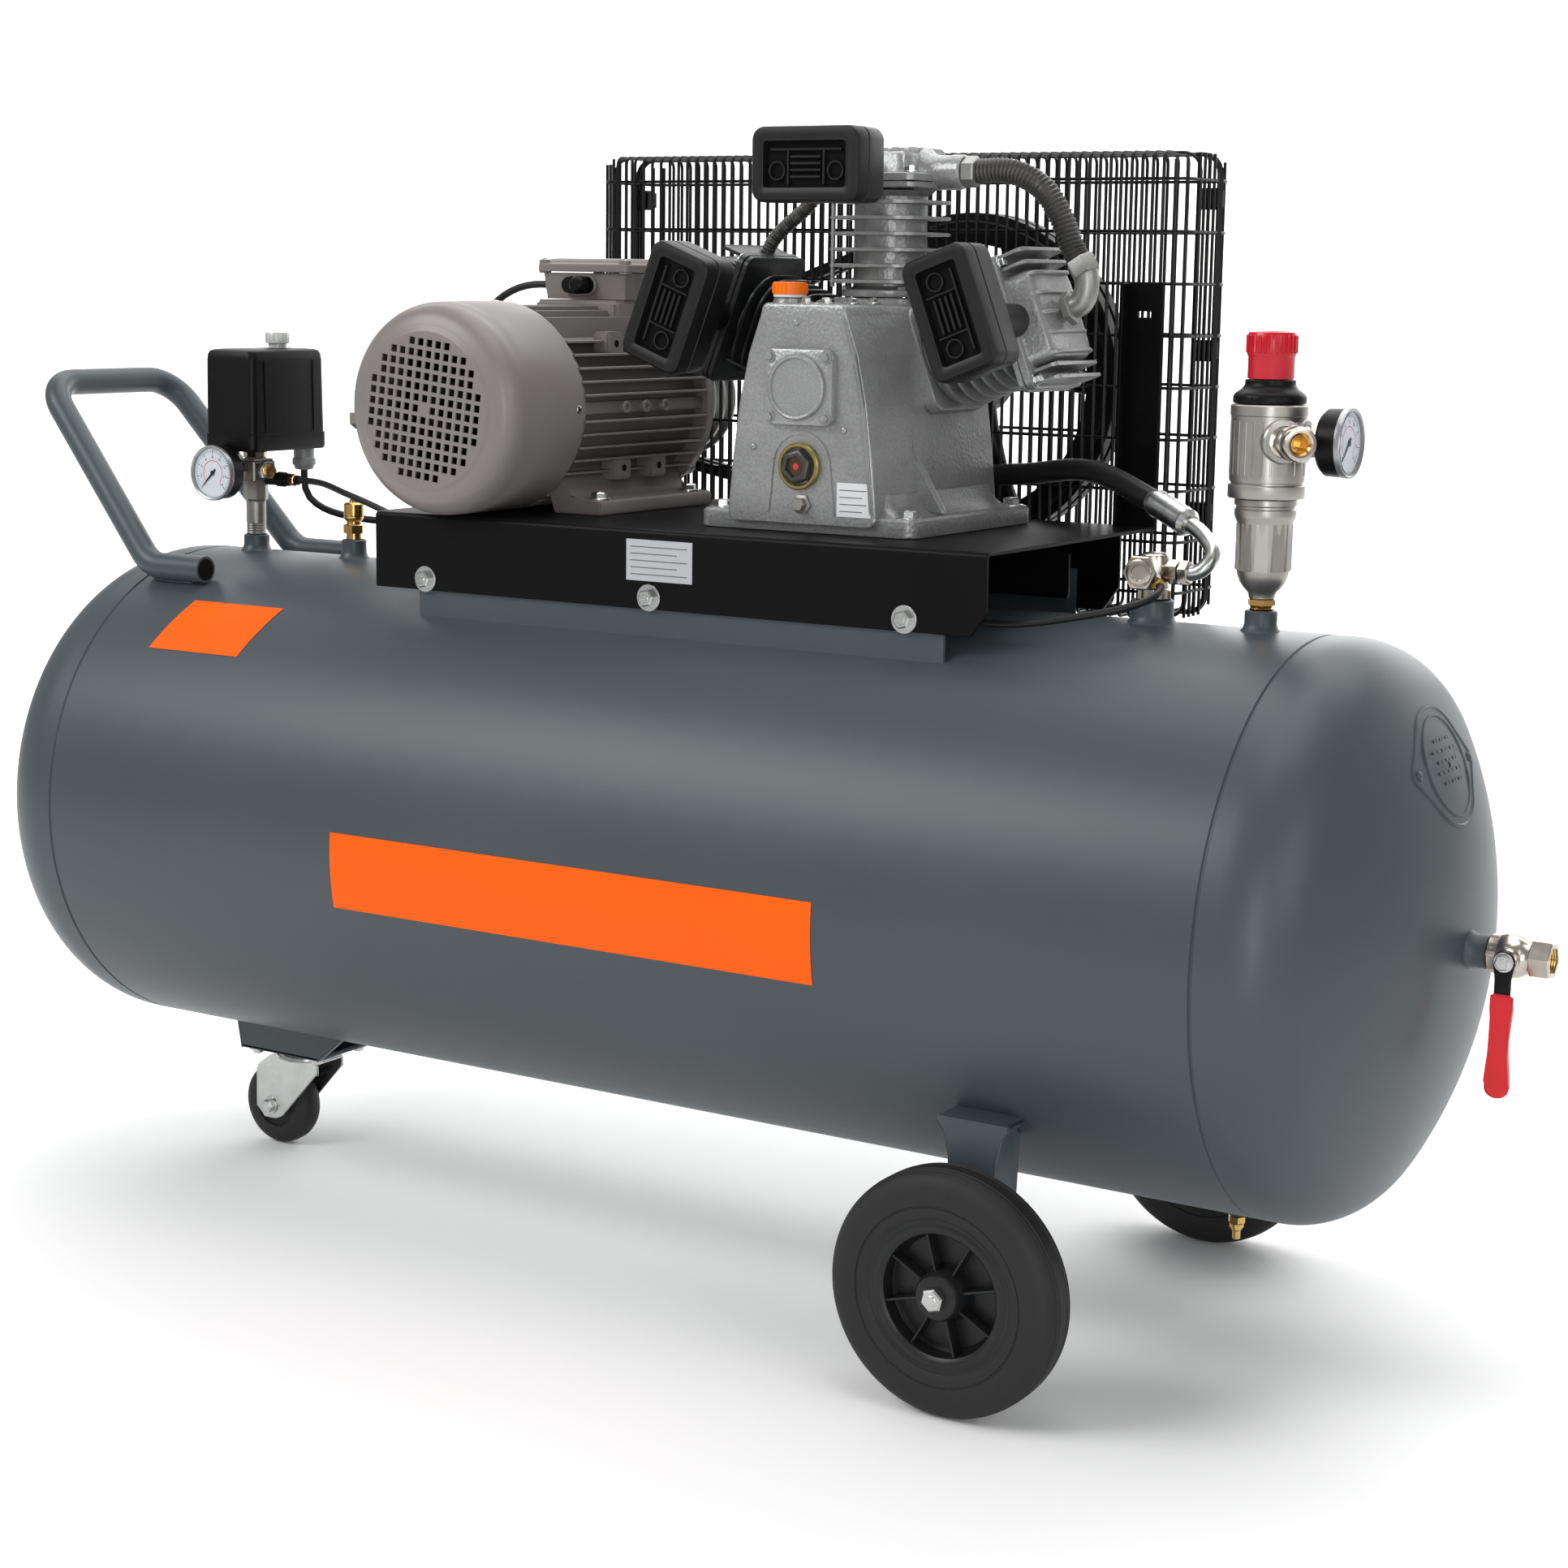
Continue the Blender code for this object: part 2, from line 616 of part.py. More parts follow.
def build_ball_valve():
    start = OUTLET_END_X + GAP
    bore = 0.0085
    profile = [
        (bore, 0), (0.0145, 0), (0.0145, 0.008), (0.0165, 0.012), (0.0165, 0.024), (0.0125, 0.030),
        (0.0125, 0.032), (0.0150, 0.032), (0.0150, 0.047), (bore, 0.047),
    ]
    turned("ball_valve", profile, "nickel", (start, 0, TANK_Z), X_AXIS, 16, closed=True)
    stem = rod("stem", 0.0065, 0.010, "nickel", (VALVE_X + 0.012, -0.013, TANK_Z), -Y_AXIS, 16)
    fuse(bpy.data.objects["ball_valve"], stem)
    seat = VALVE_X + 0.012
    outline = [(seat - 0.010, TANK_Z + 0.008), (seat - 0.010, TANK_Z - 0.030), (seat - 0.010, TANK_Z - 0.0865)]
    outline += arc((seat, TANK_Z - 0.0925), 0.011, 180, 360, 6)
    outline += [(seat + 0.010, TANK_Z - 0.0865), (seat + 0.010, TANK_Z - 0.030), (seat + 0.010, TANK_Z + 0.008)]
    extruded("valve_lever", outline, -0.0275, -0.0235, "Y", "red_plastic")


def dial(name, centre, axis, radius, finish="black_plastic"):
    """Gauge case with a recessed face; its back ends where the stem begins."""
    profile = [
        (0, 0), (radius - 0.003, 0), (radius, 0.003), (radius, 0.022), (radius - 0.0025, 0.022),
        (radius - 0.0025, 0.019), (0, 0.019),
    ]
    return turned(name, profile, finish, centre, axis, 24)


def pointer(name, centre, across, direction, length):
    """Flat gauge hand lying on the face, turned about the dial's axis."""
    along = Vector(direction).normalized()
    side = Vector(across).cross(along).normalized()
    depth = Vector(across) * 0.0006
    start = Vector(centre)
    bm = bmesh.new()
    corners = [(-0.3, -0.0012), (1, -0.0005), (1, 0.0005), (-0.3, 0.0012)]
    low = [bm.verts.new(start + along * (a * length) + side * b) for a, b in corners]
    high = [bm.verts.new(v.co + depth) for v in low]
    bm.faces.new(low)
    bm.faces.new(high)
    for i in range(4):
        bm.faces.new((low[i], low[(i + 1) % 4], high[(i + 1) % 4], high[i]))
    return add_mesh(name, bm, "needle")


def build_pressure_switch():
    base = port_top("switch")
    low, high = SWITCH_BOX
    nipple = pipe("switch_manifold", 0.0098, 0.006, 0.040, "steel", (SWITCH_X, 0, base))
    block = box("block", (SWITCH_X - 0.013, -0.016, base + 0.036), (SWITCH_X + 0.013, 0.016, low[2] - 0.008), "steel",
                0.002)
    neck = rod("neck", 0.010, 0.012, "steel", (SWITCH_X, 0, low[2] - 0.012 - GAP), segments=16)
    arm = rod("arm", 0.007, 0.040, "steel", (SWITCH_X + 0.008, 0.006, base + 0.052), X_AXIS, 12)
    stub = rod("stub", 0.006, 0.0245, "steel", (SWITCH_X, -0.014, 0.650), -Y_AXIS, 12)
    fuse(nipple, block, neck, arm, stub)
    housing = box("switch_housing", low, high, "black_plastic", 0.004)
    gland_at = (high[0] - 0.012, 0.045, low[2] - 0.020)
    gland = rod("gland", 0.0105, 0.024, "black_plastic", gland_at, segments=12)
    fuse(housing, gland)
    rod("switch_knob", 0.0115, 0.015, "clear_plastic", ((low[0] + high[0]) / 2, 0.032, high[2] + GAP), segments=16)
    back = (SWITCH_X, -0.0385 - GAP, 0.650)
    dial("tank_gauge", back, -Y_AXIS, GAUGE_R)
    pointer("tank_gauge_needle", (SWITCH_X, back[1] - 0.0196, 0.650), -Y_AXIS, (-0.7, 0, -0.7), 0.015)


def build_safety_valve():
    profile = [
        (0, 0), (0.007, 0), (0.007, 0.006), (0.0105, 0.006), (0.0105, 0.014), (0.007, 0.016),
        (0.009, 0.020), (0.009, 0.032), (0.003, 0.034), (0.003, 0.037), (0, 0.037),
    ]
    turned("safety_valve", profile, "brass", (SAFETY_X, 0, port_top("safety")), segments=12)


def build_check_valve():
    base = port_top("check")
    body = turned("check_valve", [(0, 0), (0.0135, 0), (0.0135, 0.008), (0.012, 0.010), (0.012, 0.036), (0, 0.036)],
                  "nickel", (CHECK_X, 0, base), segments=16)
    centre_z = base + 0.022
    cap = rod("cap", 0.0150, 0.034, "nickel", (CHECK_X, 0.004, centre_z), -Y_AXIS, 6)
    branch = rod("branch", 0.0095, 0.022, "nickel", (CHECK_X, 0, centre_z), X_AXIS, 12)
    side = rod("side", 0.0050, 0.022, "nickel", (CHECK_X, 0, base + 0.012), (0.6, -0.8, 0), 12)
    fuse(body, cap, branch, side)


def build_regulator():
    base = port_top("regulator")
    bowl = [
        (0, 0), (0.009, 0), (0.009, 0.010), (0.014, 0.014), (0.0215, 0.022), (0.0245, 0.034),
        (0.0245, 0.084), (0, 0.084),
    ]
    turned("regulator_bowl", bowl, "nickel", (REGULATOR_X, 0, base), segments=24)
    body_z = base + 0.084 + GAP
    body = [(0, 0), (REGULATOR_R + 0.0005, 0), (REGULATOR_R + 0.0005, 0.010), (REGULATOR_R - 0.001, 0.014),
            (REGULATOR_R, 0.030), (REGULATOR_R, 0.071), (0, 0.071)]
    turned("regulator_body", body, "nickel", (REGULATOR_X, 0, body_z), segments=24)
    port_z = body_z + 0.044
    inlet = rod("inlet", 0.009, 0.0205, "nickel", (REGULATOR_X + 0.024, 0, port_z), X_AXIS, 12)
    tap_start = Vector((REGULATOR_X, 0, port_z)) + OUTLET_SIDE * 0.024
    tap = rod("tap", 0.011, 0.012, "nickel", tap_start, OUTLET_SIDE, 12)
    fuse(bpy.data.objects["regulator_body"], inlet, tap)
    bonnet_z = body_z + 0.071 + GAP
    bonnet = [(0, 0), (REGULATOR_R - 0.001, 0), (REGULATOR_R - 0.003, 0.010), (0.019, 0.015), (0.019, 0.018), (0, 0.018)]
    turned("regulator_bonnet", bonnet, "black_plastic", (REGULATOR_X, 0, bonnet_z), segments=24)
    knob_z = bonnet_z + 0.018 + GAP
    knob = [(0, 0), (0.0175, 0), (0.0175, 0.017), (0.0195, 0.018), (0.0195, 0.033), (0.0170, 0.0355), (0, 0.0355)]
    turned("regulator_knob", knob, "red_plastic", (REGULATOR_X, 0, knob_z), segments=20)
    back = (REGULATOR_X + 0.0445 + GAP, 0, port_z)
    dial("regulator_gauge", back, X_AXIS, 0.0265)
    pointer("regulator_gauge_needle", (back[0] + 0.0196, 0, port_z), X_AXIS, (0, -0.7, -0.7), 0.016)
    coupling = [(0.006, 0), (0.0115, 0), (0.0115, 0.010), (0.0135, 0.010), (0.0135, 0.026), (0.006, 0.026)]
    coupling_start = Vector((REGULATOR_X, 0, port_z)) + OUTLET_SIDE * (0.036 + GAP)
    turned("outlet_coupling", coupling, "nickel", coupling_start, OUTLET_SIDE, 12, closed=True)


# ---- motor -------------------------------------------------------------------
def finned_outline(fins):
    """Motor frame section with cooling fins standing on a round body."""
    points = []
    for i in range(fins):
        for share, height in ((0.16, 0), (0.34, FIN_HEIGHT), (0.66, FIN_HEIGHT), (0.84, 0)):
            turn = math.tau * (i + share) / fins
            radius = FRAME_R + height
            points.append((MOTOR_X + radius * math.cos(turn), MOTOR_Z + radius * math.sin(turn)))
    return points


def build_motor():
    frame_y0 = FAN_Y1 + GAP
    frame = extruded("motor_frame", finned_outline(MOTOR_FINS), frame_y0, MOTOR_Y1 - 0.014, "Y", "motor_paint")
    end = turned("end", [(0, 0), (FRAME_R + 0.009, 0), (FRAME_R + 0.009, 0.012), (FRAME_R - 0.004, 0.017), (0.03, 0.022),
                         (0, 0.022)], "motor_paint", (MOTOR_X, MOTOR_Y1 - 0.022, MOTOR_Z), Y_AXIS, 24)
    front = rod("front", FRAME_R + 0.004, 0.010, "motor_paint", (MOTOR_X, frame_y0, MOTOR_Z), Y_AXIS, 24)
    saddle = box("saddle", (MOTOR_X - 0.046, 0.062, MOTOR_Z + 0.060), (MOTOR_X + 0.046, 0.168, BOX_Z),
                 "motor_paint")
    feet = []
    for side in (-1, 1):
        outline = [
            (MOTOR_X + side * 0.100, DECK_Z + GAP),
            (MOTOR_X + side * 0.100, DECK_Z + 0.011),
            (MOTOR_X + side * 0.070, DECK_Z + 0.013),
            (MOTOR_X + side * 0.055, DECK_Z + 0.040),
            (MOTOR_X + side * 0.030, DECK_Z + 0.040),
            (MOTOR_X + side * 0.052, DECK_Z + GAP),
        ]
        feet.append(extruded("foot", outline, -0.036, 0.136, "Y", "motor_paint"))
    fuse(frame, end, front, saddle, *feet)
    hollow = [
        (0, -0.010), (MOTOR_SHAFT_R + 0.002, -0.010), (MOTOR_SHAFT_R + 0.002, 0.012), (0.052, 0.012),
        (0.052, 0.195), (MOTOR_SHAFT_R + 0.002, 0.195), (MOTOR_SHAFT_R + 0.002, 0.250), (0, 0.250),
    ]
    cut(frame, turned("hollow", hollow, "motor_paint", (MOTOR_X, frame_y0, MOTOR_Z), Y_AXIS, 16))

    rotor = [
        (0, -0.028), (MOTOR_SHAFT_R, -0.028), (MOTOR_SHAFT_R, 0.030), (0.048, 0.030),
        (0.048, 0.170), (MOTOR_SHAFT_R, 0.170), (MOTOR_SHAFT_R, 0.297), (0, 0.297),
    ]
    turned("motor_shaft", rotor, "steel", (MOTOR_X, frame_y0, MOTOR_Z), Y_AXIS, 16)
    build_fan_cover()
    build_cooling_fan()
    box_x0, box_x1 = MOTOR_X - 0.0475, MOTOR_X + 0.0475
    box_z = BOX_Z + GAP
    housing = box("terminal_box", (box_x0, 0.075, box_z), (box_x1, 0.165, box_z + 0.026), "motor_paint", 0.003)
    lid = box("lid", (box_x0 - 0.003, 0.072, box_z + 0.0235), (box_x1 + 0.003, 0.168, box_z + 0.0362), "motor_paint",
              0.003)
    front_gland = rod("gland", 0.0105, 0.020, "motor_paint", (MOTOR_X, 0.078, box_z + 0.0125), -Y_AXIS, 12)
    side_gland = rod("gland", 0.0105, 0.016, "motor_paint", (box_x0 + 0.003, 0.105, box_z + 0.0125), -X_AXIS, 12)
    fuse(housing, lid, front_gland, side_gland)


def build_fan_cover():
    length = FAN_Y1 - FAN_Y0
    wall = 0.002
    outer = [
        (0, 0), (FAN_R - 0.022, 0), (FAN_R - 0.006, 0.007), (FAN_R, 0.022), (FAN_R, length),
        (FAN_R - wall, length), (FAN_R - wall, 0.0225), (FAN_R - 0.0075, 0.009), (FAN_R - 0.0225, wall), (0, wall),
    ]
    cover = turned("fan_cover", outer, "motor_paint", (MOTOR_X, FAN_Y0, MOTOR_Z), Y_AXIS, 28)
    pitch = 0.021
    half = 0.0065
    holes = []
    for row in range(-2, 3):
        for column in range(-2, 3):
            if abs(row) + abs(column) == 4:
                continue
            x = MOTOR_X + column * pitch
            z = MOTOR_Z + row * pitch
            holes.append(box("hole", (x - half, FAN_Y0 - 0.01, z - half), (x + half, FAN_Y0 + 0.01, z + half),
                             "motor_paint"))
    cut(cover, joined(holes))


def build_cooling_fan():
    y0 = FAN_Y0 + 0.030
    inner = MOTOR_SHAFT_R + 0.0004
    profile = [(inner, 0), (0.026, 0), (0.026, 0.031), (0.075, 0.031), (0.075, 0.034), (inner, 0.034)]
    hub = turned("cooling_fan", profile, "black_plastic", (MOTOR_X, y0, MOTOR_Z), Y_AXIS, 16, closed=True)
    blades = []
    for i in range(6):
        blade = box("blade", (0.020, -0.0012, 0.004), (0.0775, 0.0012, 0.0325), "black_plastic")
        blade.data.transform(Matrix.Rotation(math.tau * i / 6, 4, "Z"))
        blade.location = (MOTOR_X, y0, MOTOR_Z)
        blade.rotation_quaternion = Z_AXIS.rotation_difference(Y_AXIS)
        blades.append(blade)
    fuse(hub, *blades)


# ---- belt drive --------------------------------------------------------------
def build_flywheel():
    width = BELT_Y1 - BELT_Y0
    rim = pipe("flywheel", FLYWHEEL_R, FLYWHEEL_R - 0.020, width, "black_paint", (CRANK_X, BELT_Y0, CRANK_Z), Y_AXIS, 36)
    hub = pipe("hub", 0.030, SHAFT_R + GAP, width, "black_paint", (CRANK_X, BELT_Y0, CRANK_Z), Y_AXIS, 16)
    spokes = []
    for i in range(SPOKES):
        spoke = box("spoke", (0.024, -0.009, 0.012), (FLYWHEEL_R - 0.014, 0.009, 0.024), "black_paint")
        spoke.data.transform(Matrix.Rotation(math.tau * i / SPOKES, 4, "Z"))
        spoke.location = (CRANK_X, BELT_Y0, CRANK_Z)
        spoke.rotation_quaternion = Z_AXIS.rotation_difference(Y_AXIS)
        spokes.append(spoke)
    fuse(rim, hub, *spokes)


def build_pulley():
    pipe("motor_pulley", PULLEY_R, MOTOR_SHAFT_R + 0.0004, BELT_Y1 - BELT_Y0, "cast_alloy",
         (MOTOR_X, BELT_Y0, MOTOR_Z), Y_AXIS, 24)


def belt_outline(extra):
    """Closed path of the belt round both pulleys, a little outside their rims."""
    apart = Vector((CRANK_X - MOTOR_X, CRANK_Z - MOTOR_Z))
    tilt = math.degrees(math.atan2(apart.y, apart.x))
    lean = math.degrees(math.asin((FLYWHEEL_R - PULLEY_R) / apart.length))
    big = arc((CRANK_X, CRANK_Z), FLYWHEEL_R + extra, tilt - 90 - lean, tilt + 90 + lean, 28)
    small = arc((MOTOR_X, MOTOR_Z), PULLEY_R + extra, tilt + 90 + lean, tilt + 270 - lean, 10)
    return big + small


def build_belt():
    clear = 0.0012
    y0, y1 = BELT_Y0 + 0.004, BELT_Y1 - 0.004
    belt = extruded("v_belt", belt_outline(BELT_THICK), y0, y1, "Y", "rubber")
    cut(belt, extruded("inside", belt_outline(clear), y0 - 0.01, y1 + 0.01, "Y", "rubber"))


def guard_tray(name, panel_y, open_y, windows_x, windows_z):
    """Half of the belt guard: a panel of wide meshes with closed side walls."""
    panel = box(name, (GUARD_X0, min(panel_y, open_y), GUARD_Z0), (GUARD_X1, max(panel_y, open_y), GUARD_Z1),
                "black_paint")
    inward = 1 if open_y > panel_y else -1
    inner = sorted((panel_y + inward * GUARD_SHEET, open_y + inward * 0.01))
    low = (GUARD_X0 + GUARD_SHEET, inner[0], GUARD_Z0 + GUARD_SHEET)
    high = (GUARD_X1 - GUARD_SHEET, inner[1], GUARD_Z1 - GUARD_SHEET)
    cut(panel, box("inside", low, high, "black_paint"))
    bar = 0.012
    pitch_x = (GUARD_X1 - GUARD_X0 - bar) / windows_x
    pitch_z = (GUARD_Z1 - GUARD_Z0 - bar) / windows_z
    holes = []
    for i in range(windows_x):
        for k in range(windows_z):
            x = GUARD_X0 + bar + i * pitch_x
            z = GUARD_Z0 + bar + k * pitch_z
            holes.append(box("window", (x, panel_y - 0.01, z), (x + pitch_x - bar, panel_y + 0.01, z + pitch_z - bar),
                             "black_paint"))
    return cut(panel, joined(holes))


def build_guard():
    middle = (GUARD_Y0 + GUARD_Y1) / 2 + 0.020
    front = guard_tray("guard_front", GUARD_Y0, middle - GAP / 2, 5, 4)
    guard_tray("guard_rear", GUARD_Y1, middle + GAP / 2, 5, 4)
    for x, z, radius in ((CRANK_X, CRANK_Z, 0.036), (MOTOR_X, MOTOR_Z, 0.030)):
        ring = pipe("ring", radius + 0.006, radius, GUARD_SHEET, "black_paint", (x, GUARD_Y0, z), Y_AXIS, 20)
        fuse(front, ring)
        cut(front, rod("hole", radius, 0.02, "black_paint", (x, GUARD_Y0 - 0.01, z), Y_AXIS, 20))


# ---- pump --------------------------------------------------------------------
def side_axis(turn):
    """Unit vector of a cylinder axis, turned from upright towards +X."""
    return Vector((math.sin(turn), 0, math.cos(turn)))


def crankcase_outline():
    """Bell-shaped front of the crankcase, wide at the foot and waisted towards the top."""
    right = [(0.0705, DECK_Z + 0.010), (0.0660, 0.690), (0.0600, 0.735), (0.0515, 0.775), (0.0405, CASE_TOP_Z - 0.007),
             (0.0365, CASE_TOP_Z)]
    left = [(-a, z) for a, z in reversed(right)]
    return [(CRANK_X + a, z) for a, z in right + left]


def build_crankcase():
    case = extruded("crankcase", crankcase_outline(), PUMP_FRONT_Y, PUMP_BACK_Y, "Y", "cast_alloy")
    base = box("base", (CRANK_X - BASE_HALF, PUMP_FRONT_Y + 0.005, DECK_Z + GAP),
               (CRANK_X + BASE_HALF, PUMP_BACK_Y + 0.007, DECK_Z + BASE_HEIGHT), "cast_alloy", 0.002)
    crank = Vector((CRANK_X, CYL_Y, CRANK_Z))
    pads = []
    for turn, reach, *_ in CYLINDERS.values():
        half = 0.0435 if turn else 0.036
        pad = box("pad", (-half, -half, 0.010), (half, half, reach - GAP), "cast_alloy", 0.005,
                  crank, side_axis(turn))
        pads.append(pad)
    boss = rod("boss", 0.034, 0.030, "cast_alloy", (CRANK_X, PUMP_BACK_Y - 0.004, CRANK_Z), Y_AXIS, 20)
    filler = rod("filler", 0.013, 0.012, "cast_alloy", (CRANK_X - 0.026, PUMP_FRONT_Y + 0.022, CASE_TOP_Z - 0.008),
                 segments=16)
    fuse(case, base, boss, filler, *pads)
    cavity = rod("cavity", 0.052, 0.168, "cast_alloy", (CRANK_X, PUMP_FRONT_Y + 0.010, CRANK_Z), Y_AXIS, 16)
    sump = box("sump", (CRANK_X - 0.050, PUMP_FRONT_Y + 0.012, DECK_Z + 0.020), (CRANK_X + 0.050, 0.110, CRANK_Z),
               "cast_alloy")
    bores = [cavity, sump]
    for turn in (0, SIDE_TILT, -SIDE_TILT):
        bores.append(rod("bore", BORE_R, 0.10, "cast_alloy", crank, side_axis(turn), 14))
    bores.append(rod("bore", SHAFT_R + 0.0009, 0.12, "cast_alloy", (CRANK_X, 0.09, CRANK_Z), Y_AXIS, 16))
    cut(case, *bores)


def build_pump_front():
    y = PUMP_FRONT_Y - GAP
    cover = box("bearing_cover", (CRANK_X - 0.033, y - 0.007, CRANK_Z - 0.031), (CRANK_X + 0.033, y, CRANK_Z + 0.031),
                "cast_alloy", 0.003)
    fuse(cover, rod("dome", 0.025, 0.010, "cast_alloy", (CRANK_X, y - 0.002, CRANK_Z), -Y_AXIS, 20))
    glass = [(0, 0), (0.019, 0), (0.019, 0.005), (0.014, 0.008), (0.014, 0.011), (0, 0.011)]
    turned("sight_glass", glass, "brass", (CRANK_X, y, 0.686), -Y_AXIS, 16)
    cap = [(0, 0), (0.0145, 0), (0.0145, 0.011), (0.0130, 0.0125), (0, 0.0125)]
    turned("oil_cap", cap, "orange_plastic", (CRANK_X - 0.026, PUMP_FRONT_Y + 0.022, CASE_TOP_Z + 0.004 + GAP),
           segments=16)


def build_cylinder(place):
    """Finned barrel, open at both ends; the head closes its outer end."""
    turn, reach, length = CYLINDERS[place][:3]
    profile = [(BORE_R, 0), (0.040, 0), (0.040, 0.006), (BARREL_R, 0.006)]
    pitch = (length - 0.014) / FIN_COUNT
    for i in range(FIN_COUNT):
        z = 0.012 + i * pitch
        profile += [(BARREL_R, z), (FIN_R, z + 0.002), (BARREL_R, z + 0.004)]
    profile += [(BARREL_R, length), (BORE_R, length)]
    axis = side_axis(turn)
    foot = Vector((CRANK_X, CYL_Y, CRANK_Z)) + axis * reach
    turned("cylinder_" + place, profile, "cast_alloy", foot, axis, 20, closed=True)


def build_head(place):
    """Valve plate with a ribbed cover on it; the top one has a neck for its outlet pipe."""
    turn, half, height, rim = CYLINDERS[place][0], *CYLINDERS[place][3:]
    seat, axis = head_point(place, GAP, 0, CYL_Y), side_axis(turn)
    plate = box("head_" + place, (-half, -HEAD_DEEP, 0), (half, HEAD_DEEP, 0.012), "cast_alloy", 0.004, seat, axis)
    inner = half - rim
    cover = box("cover", (-inner, -HEAD_DEEP + 0.010, 0.010), (inner, HEAD_DEEP - 0.010, height - 0.004), "cast_alloy",
                0.006, seat, axis)
    extras = [cover]
    for i in range(3):
        y = (i - 1) * 0.022
        extras.append(box("rib", (-inner - 0.006, y - 0.002, 0.008), (inner + 0.006, y + 0.002, height), "cast_alloy",
                          0, seat, axis))
    if place == "top":
        extras.append(rod("neck", 0.0125, NECK_END - 0.030, "cast_alloy", seat + Vector((0.030, 0, 0.0135)), X_AXIS, 18))
    fuse(plate, *extras)


def build_filter(place, outward, upward):
    """Rectangular intake filter box in front of a head, with its stub."""
    turn = CYLINDERS[place][0]
    half_long, half_short = FILTER_LONG / 2, FILTER_SHORT / 2
    body = box("filter_" + place, (-half_long, FILTER_FRONT_Y, -half_short),
               (half_long, FILTER_FRONT_Y + FILTER_DEPTH, half_short), "black_plastic", 0.008)
    recess = box("recess", (-half_long + 0.012, FILTER_FRONT_Y - 0.01, -half_short + 0.012),
                 (half_long - 0.012, FILTER_FRONT_Y + 0.006, half_short - 0.012), "black_plastic")
    cut(body, recess)
    side = -1 if turn > 0 else 1
    centre = head_point(place, outward, side * upward, 0)
    body.data.transform(Matrix.Translation(centre) @ Matrix.Rotation(turn, 4, "Y"))
    stub_y = FILTER_FRONT_Y + FILTER_DEPTH - 0.004
    stub = rod("stub", 0.0135, CYL_Y - HEAD_DEEP - GAP - stub_y, "black_plastic",
               head_point(place, 0.0140, 0, stub_y), Y_AXIS, 16)
    fuse(body, stub)


def build_pump():
    build_crankcase()
    build_pump_front()
    for place in CYLINDERS:
        build_cylinder(place)
        build_head(place)
    build_filter("top", 0.0155, 0.0)
    build_filter("right", 0.0075, 0.009)
    build_filter("left", 0.0075, 0.009)
    build_crankshaft()


def build_crankshaft():
    """Journal, two webs and the crankpin between them."""
    y0 = 0.010
    front_length = CYL_Y - 0.018 - y0
    front = [(0, 0), (SHAFT_R, 0), (SHAFT_R, front_length - 0.012), (0.036, front_length - 0.012),
             (0.036, front_length), (0, front_length)]
    shaft = turned("crankshaft", front, "steel", (CRANK_X, y0, CRANK_Z), Y_AXIS, 16)
    rear_length = BELT_Y1 + 0.008 - CYL_Y - 0.018
    rear = [(0, 0), (0.036, 0), (0.036, 0.012), (SHAFT_R, 0.012), (SHAFT_R, rear_length), (0, rear_length)]
    tail = turned("tail", rear, "steel", (CRANK_X, CYL_Y + 0.018, CRANK_Z), Y_AXIS, 16)
    pin = rod("pin", 0.011, 0.050, "steel", (CRANK_X, CYL_Y - 0.025, CRANK_Z + 0.0205), Y_AXIS, 12)
    fuse(shaft, tail, pin)


# ---- pipes and hoses ---------------------------------------------------------
def head_point(place, along, tangent, y):
    """Point of a head from its cylinder's seat: outwards, then across towards the next fin edge."""
    turn, reach, length = CYLINDERS[place][:3]
    axis = side_axis(turn)
    across = Vector((axis.z, 0, -axis.x))
    return Vector((CRANK_X, y, CRANK_Z)) + axis * (reach + length + along) + across * tangent


def build_cooler_pipes():
    start = head_point("top", 0.0135 + GAP, NECK_END + GAP, CYL_Y)
    end = head_point("right", 0.039, 0.0, CYL_Y)
    right = led(start, X_AXIS) + [
        (0.248, CYL_Y, 0.9212),
        (0.2750, CYL_Y, 0.908),
        (0.2915, CYL_Y, 0.886),
        (0.3035, CYL_Y, 0.860),
        (end.x + 0.017, CYL_Y, end.z + 0.025),
    ]
    right += led(end, side_axis(SIDE_TILT), 0.010)[::-1]
    tube("cooler_pipe_right", smooth_route(right, TUBE_STEP), 0.0105, "cast_alloy")
    left_turn = side_axis(-SIDE_TILT)
    first = head_point("top", 0.0215, -0.0430, CYL_Y + 0.012)
    left_end = head_point("left", 0.020, 0.0450, CYL_Y + 0.012)
    left = led(first, -X_AXIS, 0.010) + [
        (first.x - 0.026, first.y, first.z - 0.008),
        (first.x - 0.041, first.y, first.z - 0.030),
    ]
    left += led(left_end, (left_turn.z, 0, -left_turn.x), 0.010)[::-1]
    tube("cooler_pipe_left", smooth_route(left, 0.014), 0.0065, "steel")


def build_delivery_hose():
    start = head_point("left", 0.0225, -0.020, CYL_Y + HEAD_DEEP - 0.0095)
    check_z = port_top("check") + 0.022
    route = led(start, Y_AXIS, 0.012) + [
        (start.x, start.y + 0.034, start.z - 0.004),
        (start.x + 0.012, start.y + 0.048, start.z - 0.050),
        (CRANK_X - 0.060, 0.168, 0.682),
        (CRANK_X, 0.168, 0.668),
        (CRANK_X + 0.080, 0.160, 0.672),
        (CRANK_X + 0.165, 0.120, 0.681),
        (CHECK_X - 0.034, 0.058, 0.666),
        (CHECK_X + 0.005, 0.037, 0.653),
        (CHECK_X + 0.033, 0.020, 0.641),
        (CHECK_X + 0.0450, 0.007, 0.6275),
    ]
    route += led((CHECK_X + 0.0225, 0, check_z), X_AXIS, 0.010)[::-1]
    tube("delivery_hose", smooth_route(route, TUBE_STEP), 0.0095, "rubber")


